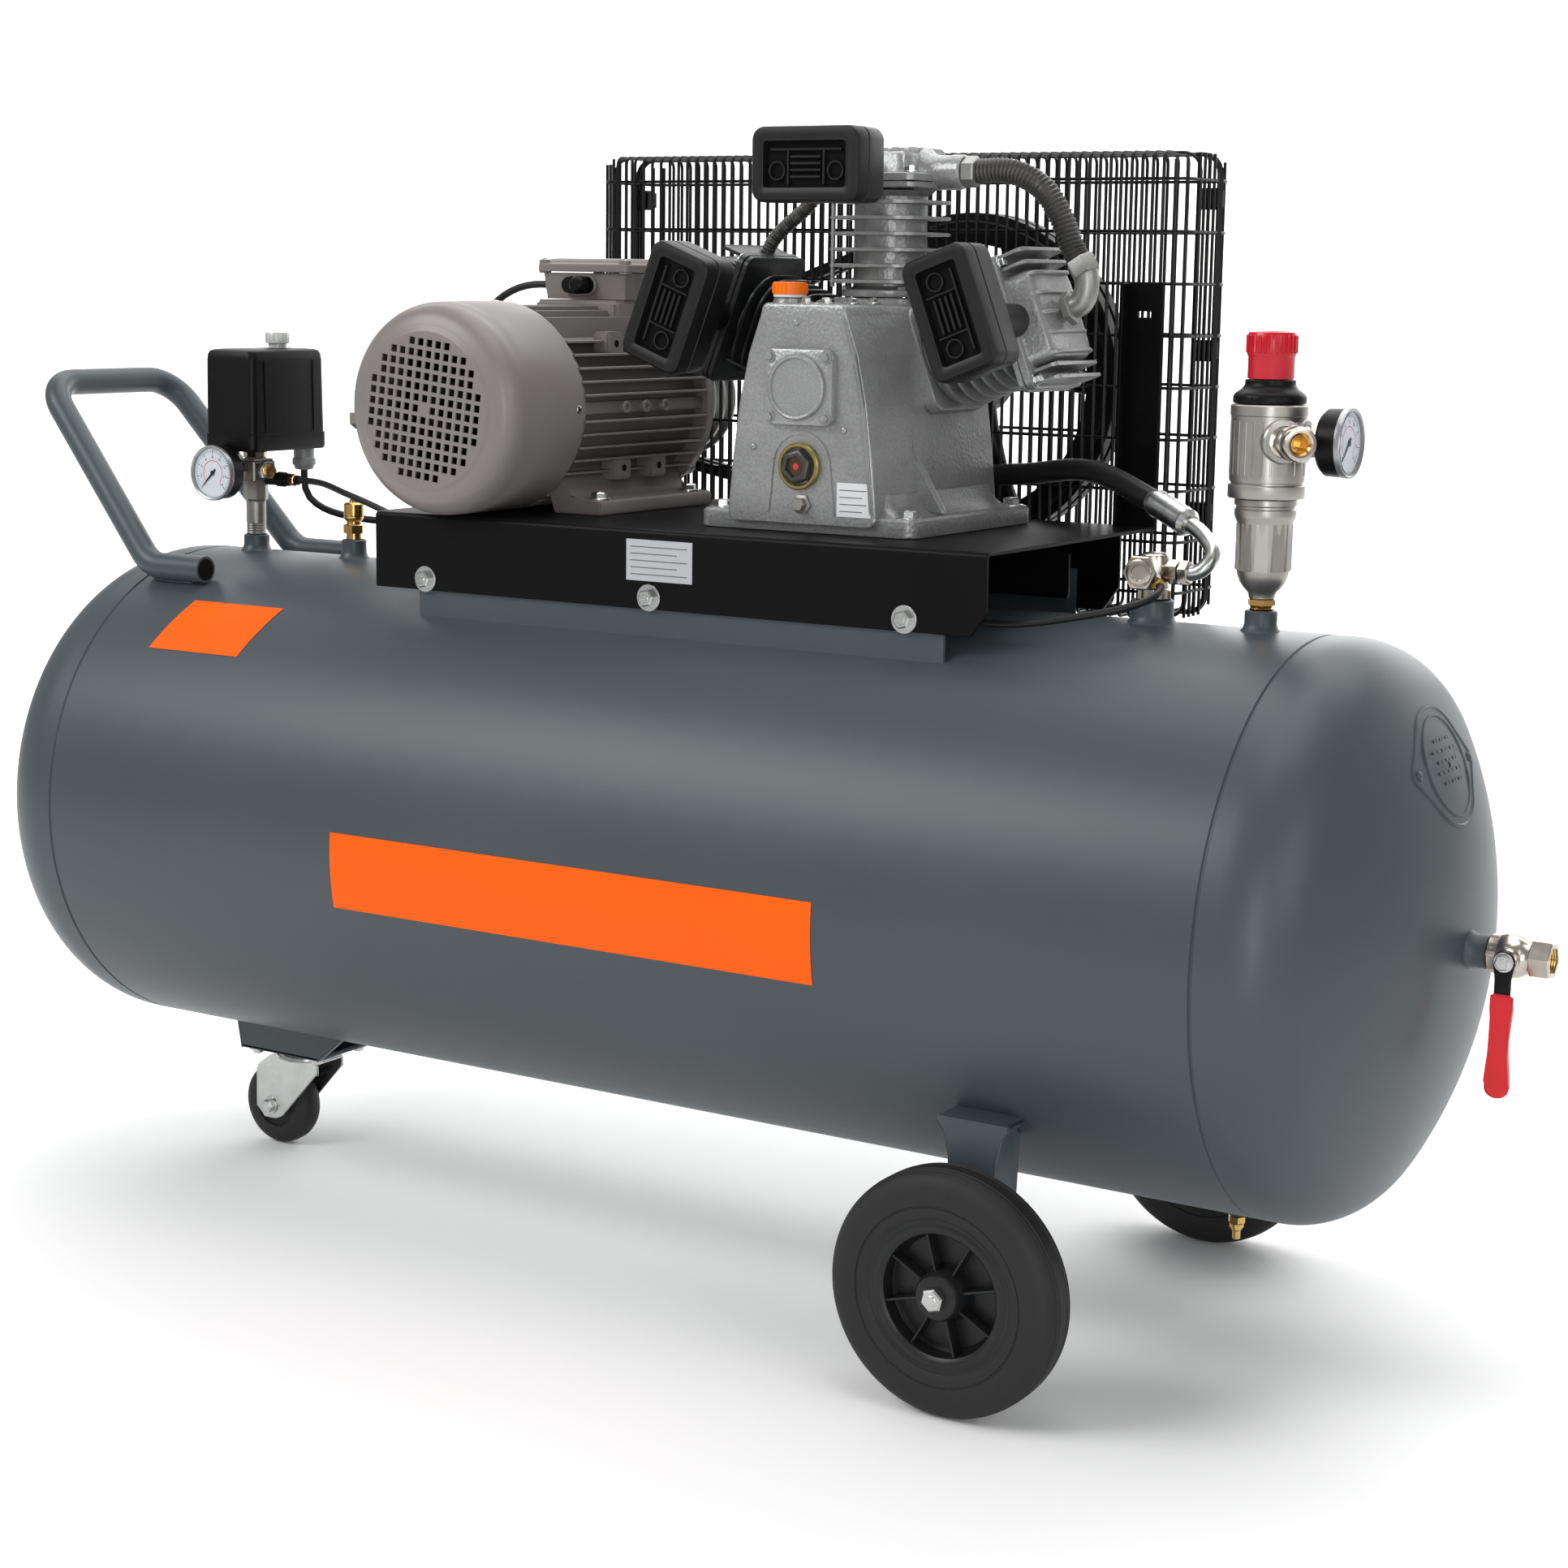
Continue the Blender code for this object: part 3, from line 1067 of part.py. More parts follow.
def build_unloader_tube():
    """Thin pilot tube from the check valve, under the platform, to the pressure switch."""
    base = port_top("check")
    start = Vector((CHECK_X, 0, base + 0.012)) + Vector((0.6, -0.8, 0)) * 0.0225
    switch_end = Vector((SWITCH_X + 0.0485, 0.006, port_top("switch") + 0.052))
    route = led(start, (0.6, -0.8, 0), 0.005) + [
        (start.x + 0.004, start.y - 0.030, base + 0.004),
        (0.380, -0.078, 0.582),
        (0.330, -0.085, 0.575),
        (0.270, -0.078, 0.577),
        (0.150, -0.060, 0.590),
        (-0.080, -0.050, 0.592),
        (-0.240, -0.048, 0.598),
        (-0.300, -0.036, 0.616),
        (-0.380, -0.018, 0.6345),
    ]
    route += led(switch_end, X_AXIS)[::-1]
    tube("unloader_tube", smooth_route(route, TUBE_STEP), 0.003, "rubber")


def build_motor_cable():
    """Lead from the switch's gland, along the deck behind the motor, to its terminal box."""
    low, high = SWITCH_BOX
    start = (high[0] - 0.012, 0.045, low[2] - 0.020 - GAP)
    box_z = BOX_Z + GAP
    end = (MOTOR_X - 0.0475 + 0.003 - 0.016 - GAP, 0.105, box_z + 0.0125)
    route = led(start, -Z_AXIS) + [
        (start[0] + 0.004, 0.048, start[2] - 0.026),
        (start[0] + 0.040, 0.062, 0.606),
        (start[0] + 0.110, 0.084, 0.612),
        (-0.345, 0.100, 0.660),
        (-0.330, 0.106, 0.740),
        (-0.315, 0.107, 0.800),
    ]
    route += led(end, -X_AXIS)[::-1]
    tube("motor_cable", smooth_route(route, TUBE_STEP), 0.0034, "grey_plastic")


def centre_on_footprint():
    """Hang every part under one empty, set so that the bounding box is centred over the origin."""
    bpy.context.view_layer.update()
    parts = list(bpy.data.objects)
    graph = bpy.context.evaluated_depsgraph_get()
    places = []
    for part in parts:
        surface = part.evaluated_get(graph).to_mesh()
        places += [part.matrix_world @ vertex.co for vertex in surface.vertices]
    low = Vector([min(p[i] for p in places) for i in range(3)])
    high = Vector([max(p[i] for p in places) for i in range(3)])
    root = bpy.data.objects.new("origin", None)
    bpy.context.collection.objects.link(root)
    root.location = (-(low.x + high.x) / 2, -(low.y + high.y) / 2, -low.z)
    for part in parts:
        part.parent = root


def main():
    clear_scene()
    build_tank()
    build_handle()
    build_platform()
    for side, place in ((-1, "front"), (1, "rear")):
        build_wheel(side, place)
        build_wheel_bracket(side, place)
    build_caster()
    build_drain()
    build_ball_valve()
    build_pressure_switch()
    build_safety_valve()
    build_check_valve()
    build_regulator()
    build_motor()
    build_flywheel()
    build_pulley()
    build_belt()
    build_guard()
    build_pump()
    build_cooler_pipes()
    build_delivery_hose()
    build_unloader_tube()
    build_motor_cable()
    centre_on_footprint()


main()
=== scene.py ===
"""Studio scene of a three-cylinder belt-driven compressor on a wheeled air receiver.

Pieces are drawn in the receiver's own frame: X along it, Y towards the belt side, the floor at z = 0
and the receiver's middle over the origin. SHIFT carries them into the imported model's frame.
"""
import math

import bmesh
import bpy
from mathutils import Matrix, Vector


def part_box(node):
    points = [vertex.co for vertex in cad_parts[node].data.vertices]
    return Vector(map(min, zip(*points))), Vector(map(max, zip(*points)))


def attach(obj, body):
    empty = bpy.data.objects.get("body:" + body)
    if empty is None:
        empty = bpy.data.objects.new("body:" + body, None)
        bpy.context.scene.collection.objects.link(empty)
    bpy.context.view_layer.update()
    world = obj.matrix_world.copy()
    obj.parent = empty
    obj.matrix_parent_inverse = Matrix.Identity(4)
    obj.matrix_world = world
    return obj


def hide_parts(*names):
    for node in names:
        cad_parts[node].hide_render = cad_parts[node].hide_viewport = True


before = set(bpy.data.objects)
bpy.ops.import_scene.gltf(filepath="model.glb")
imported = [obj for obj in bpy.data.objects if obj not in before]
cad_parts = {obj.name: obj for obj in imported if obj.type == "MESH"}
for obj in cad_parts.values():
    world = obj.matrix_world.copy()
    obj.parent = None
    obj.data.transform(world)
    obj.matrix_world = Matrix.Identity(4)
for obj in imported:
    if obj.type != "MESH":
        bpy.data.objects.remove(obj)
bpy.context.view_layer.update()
tank_low, tank_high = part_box("tank")
SHIFT = Vector((tank_high.x - 0.7, (tank_low.y + tank_high.y) / 2, 0))

X, Y, Z = Vector((1, 0, 0)), Vector((0, 1, 0)), Vector((0, 0, 1))
OUTLET = (X - Y).normalized()

# ---- sizes shared with the CAD model -------------------------------------------
TANK_R, TANK_Z = 0.225, 0.35
SEAM_X, HEAD_STRAIGHT, KNUCKLE_R, CROWN_R = 0.5584, 0.0142, 0.0692, 0.3734
DECK = (-0.265, 0.333, -0.117, 0.183, 0.632)
FLANGE_Z = 0.567
MOTOR_X, MOTOR_Z, FAN_R = -0.184, 0.7225, 0.0895
CRANK_X, CRANK_Z, CYL_Y = 0.134, 0.749, 0.072
SIDE_TILT = math.radians(69)
WHEEL_X, WHEEL_R, WHEEL_Y = 0.3816, 0.0952, 0.2629
GUARD = (-0.252, 0.349, 0.19, 0.285, 0.551, 0.944)
SWITCH_X, SAFETY_X, CHECK_X, REG_X = -0.5085, -0.389, 0.417, 0.507
BOX_Z, SWITCH_BASE, CHECK_BASE = 0.8133, 0.5903, 0.5933
DRAIN_X, FLYWHEEL_R, PULLEY_R = 0.508, 0.137, 0.054
GAP = 0.0003
# tilt, start, barrel length, head half-width, head height and the cover's setback from the head's edge
CYLINDERS = {
    "top": (0.0, 0.071, 0.088, 0.046, 0.034, 0.01),
    "right": (SIDE_TILT, 0.062, 0.076, 0.056, 0.038, 0.018),
    "left": (-SIDE_TILT, 0.062, 0.076, 0.056, 0.038, 0.018),
}


# ---- camera --------------------------------------------------------------------
def make_camera():
    place = Vector((1.3577, -2.0464, 0.8374)) + SHIFT
    yaw, pitch, roll = 0.5576, 0.1746, 0.0132
    ahead = Vector((-math.sin(yaw) * math.cos(pitch), math.cos(yaw) * math.cos(pitch), -math.sin(pitch)))
    right = Vector((math.cos(yaw), math.sin(yaw), 0))
    up = right.cross(ahead)
    right, up = right * math.cos(roll) + up * math.sin(roll), up * math.cos(roll) - right * math.sin(roll)
    data = bpy.data.cameras.new("camera")
    data.sensor_width = 36
    data.lens = 36 * 3558.8 / 1932
    data.clip_start, data.clip_end = 0.05, 50
    camera = bpy.data.objects.new("camera", data)
    bpy.context.scene.collection.objects.link(camera)
    camera.matrix_world = Matrix.Translation(place) @ Matrix((right, up, -ahead)).transposed().to_4x4()
    bpy.context.scene.camera = camera


make_camera()


# ---- materials -----------------------------------------------------------------
MADE = {}


def surface(name, color, roughness, metallic=0.0, tone=0.06, tone_scale=9.0, grain=0.05, grain_scale=500.0,
        grain_depth=0.0004, spread=0.05, cells=False, coat=0.0, speckle=0.0, specular=0.5):
    """Paint, metal or plastic: slow changes of tone and gloss, and a fine surface texture."""
    mat = bpy.data.materials.new(name)
    mat.use_nodes = True
    nodes, link = mat.node_tree.nodes, mat.node_tree.links.new
    shader = nodes["Principled BSDF"]

    def node(kind, **values):
        made = nodes.new("ShaderNode" + kind)
        for socket, value in values.items():
            made.inputs[socket.replace("_", " ")].default_value = value
        return made

    shader.inputs["Metallic"].default_value = metallic
    shader.inputs["Specular IOR Level"].default_value = specular
    if coat:
        shader.inputs["Coat Weight"].default_value = coat
        shader.inputs["Coat Roughness"].default_value = 0.12
    where = node("TexCoord").outputs["Object"]
    slow = node("TexNoise", Scale=tone_scale, Detail=5)
    link(where, slow.inputs["Vector"])
    ramp = node("ValToRGB")
    for stop, position, change in zip(ramp.color_ramp.elements, (0.3, 0.7), (1 - tone, 1 + tone)):
        stop.position = position
        stop.color = (*[min(1, c * change) for c in color], 1)
    link(slow.outputs["Fac"], ramp.inputs["Fac"])
    gloss = node("MapRange", To_Min=max(0.02, roughness - spread), To_Max=min(1, roughness + spread))
    link(slow.outputs["Fac"], gloss.inputs["Value"])
    link(gloss.outputs["Result"], shader.inputs["Roughness"])
    if cells:
        fine = node("TexVoronoi", Scale=grain_scale)
        fine.feature = "SMOOTH_F1"
    else:
        fine = node("TexNoise", Scale=grain_scale, Detail=3)
    link(where, fine.inputs["Vector"])
    bump = node("Bump", Strength=grain, Distance=grain_depth)
    link(fine.outputs["Distance" if cells else "Fac"], bump.inputs["Height"])
    link(bump.outputs["Normal"], shader.inputs["Normal"])
    base = ramp.outputs["Color"]
    if speckle:
        dots = node("TexNoise", Scale=grain_scale * 1.7, Detail=2)
        link(where, dots.inputs["Vector"])
        strength = node("MapRange", From_Min=0.35, From_Max=0.65, To_Min=1 - speckle, To_Max=1 + speckle)
        link(dots.outputs["Fac"], strength.inputs["Value"])
        mix = node("VectorMath")
        mix.operation = "SCALE"
        link(base, mix.inputs[0])
        link(strength.outputs["Result"], mix.inputs["Scale"])
        base = mix.outputs["Vector"]
    link(base, shader.inputs["Base Color"])
    MADE[name] = mat
    return mat


def make_materials():
    surface("receiver_paint", (0.052, 0.064, 0.072), 0.38, 0, 0.04, 5, 0.09, 420, grain_depth=0.0005,
        spread=0.04, specular=0.32)
    surface("black_powder", (0.003, 0.0028, 0.0034), 0.42, 0, 0.2, 9, 0.1, 900, spread=0.04, specular=0.1)
    surface("wire_black", (0.003, 0.003, 0.003), 0.42, 0, 0.2, 9, 0.08, 800, specular=0.25)
    surface("motor_grey", (0.186, 0.17, 0.164), 0.34, 0, 0.03, 9, 0.05, 260, specular=0.4)
    # Darker, rougher copy of motor_grey for the core and strips between the fins: painted shade between the
    # fins.
    surface("motor_grey_painted_shade", (0.165, 0.153, 0.146), 0.42, 0, 0.06, 9, 0.1, 420)
    surface("hammer_silver", (0.285, 0.29, 0.287), 0.36, 0.45, 0.08, 22, 0.5, 340, grain_depth=0.0007,
        cells=True, speckle=0.1)
    # Near-black copy of hammer_silver for the left cylinder and its head: painted shade.
    surface("hammer_painted_shade", (0.017, 0.018, 0.019), 0.34, 0.25, 0.12, 22, 0.35, 340, grain_depth=0.0006,
        cells=True)
    surface("cast_raw", (0.3, 0.3, 0.29), 0.4, 0.75, 0.12, 30, 0.28, 520, grain_depth=0.0005, speckle=0.08)
    surface("pipe_dark", (0.07, 0.068, 0.066), 0.38, 0.55, 0.15, 40, 0.15, 500)
    surface("filter_black", (0.005, 0.005, 0.0055), 0.46, 0, 0.1, 20, 0.18, 1100, specular=0.3)
    surface("plastic_black", (0.0035, 0.0034, 0.004), 0.38, 0, 0.1, 20, 0.07, 900, specular=0.16)
    surface("rubber_tyre", (0.0125, 0.012, 0.0125), 0.6, 0, 0.14, 14, 0.22, 380, spread=0.07, specular=0.35)
    surface("rubber_hose", (0.006, 0.006, 0.006), 0.46, 0, 0.15, 30, 0.18, 900, specular=0.35)
    surface("rim_plastic", (0.0085, 0.0088, 0.0098), 0.4, 0, 0.1, 18, 0.1, 700, specular=0.35)
    surface("zinc", (0.52, 0.53, 0.52), 0.28, 1.0, 0.1, 60, 0.05, 300, spread=0.08)
    surface("steel_dull", (0.3, 0.29, 0.275), 0.42, 0.9, 0.15, 50, 0.12, 300, spread=0.1)
    surface("nickel", (0.5, 0.455, 0.4), 0.22, 1.0, 0.08, 70, 0.04, 500, spread=0.07)
    surface("nickel_satin", (0.37, 0.355, 0.335), 0.36, 0.95, 0.05, 40, 0.08, 900, spread=0.06)
    surface("brass", (0.56, 0.36, 0.12), 0.24, 1.0, 0.12, 80, 0.05, 500, spread=0.07)
    surface("brass_olive", (0.3, 0.245, 0.09), 0.32, 0.7, 0.15, 90, 0.1, 500)
    surface("red_plastic", (0.5, 0.004, 0.016), 0.32, 0, 0.05, 20, 0.07, 700, coat=0.15, specular=0.35)
    surface("red_sleeve", (0.66, 0.006, 0.012), 0.34, 0, 0.05, 30, 0.09, 500, coat=0.15, specular=0.35)
    surface("orange_plastic", (0.8, 0.16, 0.003), 0.38, 0, 0.04, 30, 0.07, 700, specular=0.3)
    surface("orange_vinyl", (0.92, 0.105, 0.0006), 0.46, 0, 0.02, 12, 0.04, 420, specular=0.15)
    surface("white_vinyl", (0.66, 0.67, 0.68), 0.42, 0, 0.02, 12, 0.05, 420, specular=0.3)
    surface("grey_label", (0.4, 0.41, 0.43), 0.4, 0, 0.04, 30, 0.05, 420)
    surface("grey_print", (0.12, 0.12, 0.125), 0.5, 0, 0.05, 60, 0.03, 420)
    surface("clear_knob", (0.56, 0.58, 0.56), 0.2, 0, 0.06, 60, 0.1, 300, coat=0.3)
    surface("grey_plastic", (0.24, 0.25, 0.25), 0.45, 0, 0.06, 40, 0.08, 700)
    surface("bezel_metal", (0.34, 0.34, 0.35), 0.34, 0.8, 0.06, 60, 0.05, 500)
    surface("dial_white", (0.74, 0.75, 0.78), 0.35, 0, 0.02, 60, 0.02, 400)
    surface("dial_black", (0.01, 0.01, 0.012), 0.45, 0, 0.05, 60, 0.02, 400)
    surface("dial_red", (0.55, 0.02, 0.03), 0.45, 0, 0.05, 60, 0.02, 400)
    # Near-black matt fill set into holes, bores, slots and gaps: painted shade standing in for the shade
    # inside them.
    surface("painted_shade_inside", (0.003, 0.003, 0.003), 0.8, 0, 0.1, 40, 0.05, 400, specular=0.1)
    surface("oil_glass", (0.05, 0.03, 0.008), 0.1, 0, 0.25, 90, 0.03, 300, coat=0.6)
    glass = surface("dial_glass", (0.95, 0.97, 0.98), 0.04, 0, 0.01, 9, 0.01, 200, spread=0.01)
    glass.node_tree.nodes["Principled BSDF"].inputs["Transmission Weight"].default_value = 1.0
    glass.node_tree.nodes["Principled BSDF"].inputs["IOR"].default_value = 1.08


# ---- mesh parts: each call returns a bmesh whose local Z is its own axis ---------
def mm(*values):
    """Pairs in metres from a flat list of millimetres."""
    return [(a / 1000, b / 1000) for a, b in zip(values[::2], values[1::2])]


def join(bm, low, high):
    """Faces between two closed rings of vertices."""
    for i in range(len(low)):
        j = (i + 1) % len(low)
        bm.faces.new((low[i], low[j], high[j], high[i]))


def finished(bm):
    bmesh.ops.recalc_face_normals(bm, faces=bm.faces)
    return bm


def lathe(profile, segments=48, closed=False):
    """Turn a (radius, height) profile about Z."""
    bm = bmesh.new()
    turns = [math.tau * i / segments for i in range(segments)]
    rings = [[bm.verts.new((radius * math.cos(t), radius * math.sin(t), height)) for t in turns]
        if radius > 1e-7 else [bm.verts.new((0, 0, height))] for radius, height in profile]
    for low, high in zip(rings, rings[1:] + (rings[:1] if closed else [])):
        if len(low) == len(high) > 1:
            join(bm, low, high)
        elif len(low) != len(high):
            for i in range(segments):
                j = (i + 1) % segments
                bm.faces.new((low[0], high[j], high[i]) if len(low) == 1 else (low[i], low[j], high[0]))
    return finished(bm)


def prism(outline, low, high, hole=None):
    """Extrude an XY outline from z = low to z = high, with an optional hole of the same point count."""
    bm = bmesh.new()
    lines = [outline, hole] if hole else [outline]
    rings = [[bm.verts.new((a, b, z)) for a, b in line] for line in lines for z in (low, high)]
    if not hole:
        bm.faces.new(rings[0])
        bm.faces.new(rings[1])
    for a, b in ((0, 1), (1, 3), (3, 2), (2, 0)) if hole else ((0, 1),):
        join(bm, rings[a], rings[b])
    return finished(bm)


def facing(outline, low, high):
    """Prism of an XZ outline; low and high are measured towards -Y."""
    part = prism(outline, low, high)
    part.transform(Matrix.Rotation(math.radians(90), 4, "X"))
    return part


def lengthwise(outline, low, high):
    """Prism of a YZ outline between two values of x."""
    part = prism(outline, low, high)
    part.transform(Matrix(((0, 0, 1, 0), (1, 0, 0, 0), (0, 1, 0, 0), (0, 0, 0, 1))))
    return part


def block(low, high):
    bm = bmesh.new()
    size = [b - a for a, b in zip(low, high)]
    middle = Vector([(a + b) / 2 for a, b in zip(low, high)])
    bmesh.ops.create_cube(bm, size=1, matrix=Matrix.Translation(middle) @ Matrix.Diagonal((*size, 1)))
    return bm


def stack(sections, caps=True, loop=False):
    """Skin equally long closed rings of points; cap both ends, or join the last ring to the first."""
    bm = bmesh.new()
    rings = [[bm.verts.new(p) for p in ring] for ring in sections]
    for low, high in zip(rings, rings[1:] + (rings[:1] if loop else [])):
        join(bm, low, high)
    if caps and not loop:
        bm.faces.new(rings[0])
        bm.faces.new(rings[-1])
    return finished(bm)


def soft_box(half_x, half_y, radius, steps, levels, centre=(0, 0), base=0.0):
    """Box with rounded upright edges; a level is a height and how far the outline shrinks there."""
    return stack([[(a, b, base + z) for a, b in rounded(half_x - s, half_y - s, radius, steps, centre)]
        for z, s in levels])


def sweep(path, radius, sides=16, closed=False):
    """Tube along a path; radius is a number or one number per point."""
    points = [Vector(p) for p in path]
    radii = radius if hasattr(radius, "__len__") else [radius] * len(points)
    count = len(points)
    turns = [math.tau * i / sides for i in range(sides)]
    side, sections = None, []
    for i, (point, r) in enumerate(zip(points, radii)):
        before = points[i - 1] if i or closed else points[0]
        after = points[(i + 1) % count] if i < count - 1 or closed else points[-1]
        way = (after - before).normalized()
        side = side or way.orthogonal().normalized()
        side = (side - way * side.dot(way)).normalized()
        other = way.cross(side)
        sections.append([point + (side * math.cos(t) + other * math.sin(t)) * r for t in turns])
    return stack(sections, loop=closed)


def bend(before, corner, after, radius, steps):
    """Points of the arc that rounds one corner."""
    inward, outward = (before - corner).normalized(), (after - corner).normalized()
    half = inward.angle(outward) / 2
    centre = corner + (inward + outward).normalized() * radius / math.sin(half)
    a = (corner + inward * radius / math.tan(half) - centre).normalized()
    b = (corner + outward * radius / math.tan(half) - centre).normalized()
    return [centre + a.slerp(b, i / steps) * radius for i in range(steps + 1)]


def glyph(text, size):
    """Flat number for a dial, centred on the origin, facing +Z."""
    curve = bpy.data.curves.new("glyph", "FONT")
    curve.body, curve.size = text, size
    curve.align_x = curve.align_y = "CENTER"
    obj = bpy.data.objects.new("glyph", curve)
    bpy.context.scene.collection.objects.link(obj)
    bm = evaluated(obj)
    bpy.data.objects.remove(obj)
    return bm


def at(place, axis=Z, turn=0.0):
    """Stands a part's local Z along axis at place."""
    tilt = Z.rotation_difference(Vector(axis)).to_matrix().to_4x4()
    return Matrix.Translation(Vector(place)) @ tilt @ Matrix.Rotation(turn, 4, "Z")


def arc(centre, radius, start, end, count):
    turns = [math.radians(start + (end - start) * i / count) for i in range(count + 1)]
    return [(centre[0] + radius * math.cos(t), centre[1] + radius * math.sin(t)) for t in turns]


def rounded(half_x, half_y, radius, steps=6, centre=(0, 0)):
    """Outline of a rectangle with rounded corners, anticlockwise."""
    points = []
    for sx, sy, start in ((1, 1, 0), (-1, 1, 90), (-1, -1, 180), (1, -1, 270)):
        corner = (centre[0] + sx * (half_x - radius), centre[1] + sy * (half_y - radius))
        points += arc(corner, radius, start, start + 90, steps)
    return points


def soft_outline(points, radius, steps=4):
    """Rounds every corner of a polygon."""
    corners = [Vector(p).to_3d() for p in points]
    result = []
    for before, corner, after in zip(corners[-1:] + corners[:-1], corners, corners[1:] + corners[:1]):
        half = (before - corner).angle(after - corner) / 2
        shorter = min((before - corner).length, (after - corner).length)
        r = min(radius, 0.45 * shorter * math.tan(half))
        result += [(p.x, p.y) for p in bend(before, corner, after, r, steps)]
    return result


def curve_through(points, step):
    """Smooth path through points; its end runs are straight."""
    knots = [Vector(p) for p in points]
    runs = [b - a for a, b in zip(knots, knots[1:])]
    ways = [run.normalized() for run in runs]
    turns = [(a + b).normalized() for a, b in zip(ways, ways[1:])]
    headings = [ways[0], ways[0]] + turns[1:-1] + [ways[-1], ways[-1]]
    route = [knots[0]]
    for i, run in enumerate(runs):
        reach = run.length
        count = max(2, round(reach / step))
        for t in [k / count for k in range(1, count + 1)]:
            place = knots[i] * (2 * t ** 3 - 3 * t * t + 1) + knots[i + 1] * (3 * t * t - 2 * t ** 3)
            place += headings[i] * reach * (t ** 3 - 2 * t * t + t) + headings[i + 1] * reach * (t ** 3
                - t * t)
            route.append(place)
    return route


def poured(bm, part):
    """Moves one bmesh's contents into another."""
    mesh = bpy.data.meshes.new("part")
    part.to_mesh(mesh)
    part.free()
    bm.from_mesh(mesh)
    bpy.data.meshes.remove(mesh)


def evaluated(obj):
    """The bmesh of an object with its modifiers applied."""
    bpy.context.view_layer.update()
    seen = obj.evaluated_get(bpy.context.evaluated_depsgraph_get())
    bm = bmesh.new()
    bm.from_mesh(seen.to_mesh())
    seen.to_mesh_clear()
    return bm


def round_corners(points, radius, steps):
    """Rounds the inner corners of a path."""
    corners = [Vector(p) for p in points]
    route = [corners[0]]
    for before, corner, after in zip(corners, corners[1:], corners[2:]):
        route += bend(before, corner, after, radius, steps)
    return route + [corners[-1]]


class Piece:
    """Gathers parts into one object that rides on one CAD body."""

    def __init__(self, name):
        self.name = name
        self.bm = bmesh.new()
        self.finishes = []

    def add(self, part, finish, matrix=None, bevel=0.0, steps=2, angle=35):
        if bevel:
            edges = [e for e in part.edges if e.is_manifold and e.calc_face_angle() > math.radians(angle)]
            bmesh.ops.bevel(part, geom=edges, offset=bevel, segments=steps, affect="EDGES",
                clamp_overlap=True)
        if matrix is not None:
            part.transform(matrix)
        if finish not in self.finishes:
            self.finishes.append(finish)
        for face in part.faces:
            face.material_index = self.finishes.index(finish)
        poured(self.bm, part)

    def turn(self, profile, segments, finish, place, axis=Z, twist=0.0, closed=False, bevel=0.0):
        """Lathed part; place is a matrix, or the point where its axis starts."""
        where = place if isinstance(place, Matrix) else at(place, axis, twist)
        self.add(lathe(profile, segments, closed), finish, where, bevel)

    def ribs(self, count, low, high, finish, where, start=0.0, bevel=0.0, steps=1):
        """Equal blocks set around a matrix's Z."""
        for k in range(count):
            turn = Matrix.Rotation(math.tau * (k + start) / count, 4, "Z")
            self.add(block(low, high), finish, where @ turn, bevel, steps)

    def bolt(self, place, axis, size, height, finish="zinc", washer=1.5, turn=0.0):
        where = at(place, axis, turn)
        lift = 0.0014 if washer else 0
        if washer:
            wide = size * washer
            self.turn([(0, 0), (wide, 0), (wide, 0.0011), (wide - 0.0003, lift), (0, lift)], 24, finish,
                where)
        top = lift + height
        head = [(0, lift), (size, lift), (size, lift + height * 0.8), (size * 0.84, top), (0, top)]
        self.turn(head, 6, finish, where)
        mark = [(0, top), (size * 0.45, top), (size * 0.4, top + 0.0003), (0, top + 0.0003)]
        self.turn(mark, 16, finish, where)

    def screw(self, place, axis, size):
        dome = [(size, 0), (size, 0.0006), (size * 0.8, 0.0016), (size * 0.4, 0.0022), (0, 0.0023)]
        self.turn(dome, 16, "zinc", place, axis)
        # The slots are near-black bars on the dome: painted shade in the slot recesses.
        for turn in (0.4, 0.4 + math.pi / 2):
            slot = block((-size * 0.55, -0.0004, 0.0018), (size * 0.55, 0.0004, 0.0025))
            self.add(slot, "painted_shade_inside", at(place, axis, turn))

    def done(self, body="frame", replaces=()):
        self.bm.transform(Matrix.Translation(SHIFT))
        mesh = bpy.data.meshes.new(self.name)
        self.bm.to_mesh(mesh)
        self.bm.free()
        mesh.shade_smooth()
        mesh.set_sharp_from_angle(angle=math.radians(32))
        for finish in self.finishes:
            mesh.materials.append(MADE[finish])
        obj = bpy.data.objects.new(self.name, mesh)
        bpy.context.scene.collection.objects.link(obj)
        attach(obj, body)
        if replaces:
            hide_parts(*replaces)


def cut_part(part, cutters):
    """Boolean difference of one bmesh and several separate cutters."""
    objects = []
    for bm in [part] + cutters:
        mesh = bpy.data.meshes.new("cut")
        bm.to_mesh(mesh)
        bm.free()
        objects.append(bpy.data.objects.new("cut", mesh))
        bpy.context.scene.collection.objects.link(objects[-1])
    for tool in objects[1:]:
        modifier = objects[0].modifiers.new("cut", "BOOLEAN")
        modifier.operation, modifier.solver, modifier.object = "DIFFERENCE", "EXACT", tool
    result = evaluated(objects[0])
    for obj in objects:
        bpy.data.objects.remove(obj)
    return result


def merged(parts):
    """One bmesh of several that don't touch."""
    whole = bmesh.new()
    for part in parts:
        poured(whole, part)
    return whole


# ---- receiver ------------------------------------------------------------------
def head_profile(knuckle_steps, crown_steps):
    """(radius, x) points of a dished head, from its seam to its pole."""
    knuckle_x, knuckle_r, crown_x = SEAM_X + HEAD_STRAIGHT, TANK_R - KNUCKLE_R, head_centre()
    split = math.atan2(knuckle_r, knuckle_x - crown_x)
    points = []
    for t in [(math.pi / 2 - split) * i / knuckle_steps for i in range(knuckle_steps + 1)]:
        points.append((knuckle_r + KNUCKLE_R * math.cos(t), knuckle_x + KNUCKLE_R * math.sin(t)))
    for t in [split * (1 - i / crown_steps) for i in range(1, crown_steps + 1)]:
        points.append((CROWN_R * math.sin(t), crown_x + CROWN_R * math.cos(t)))
    return points


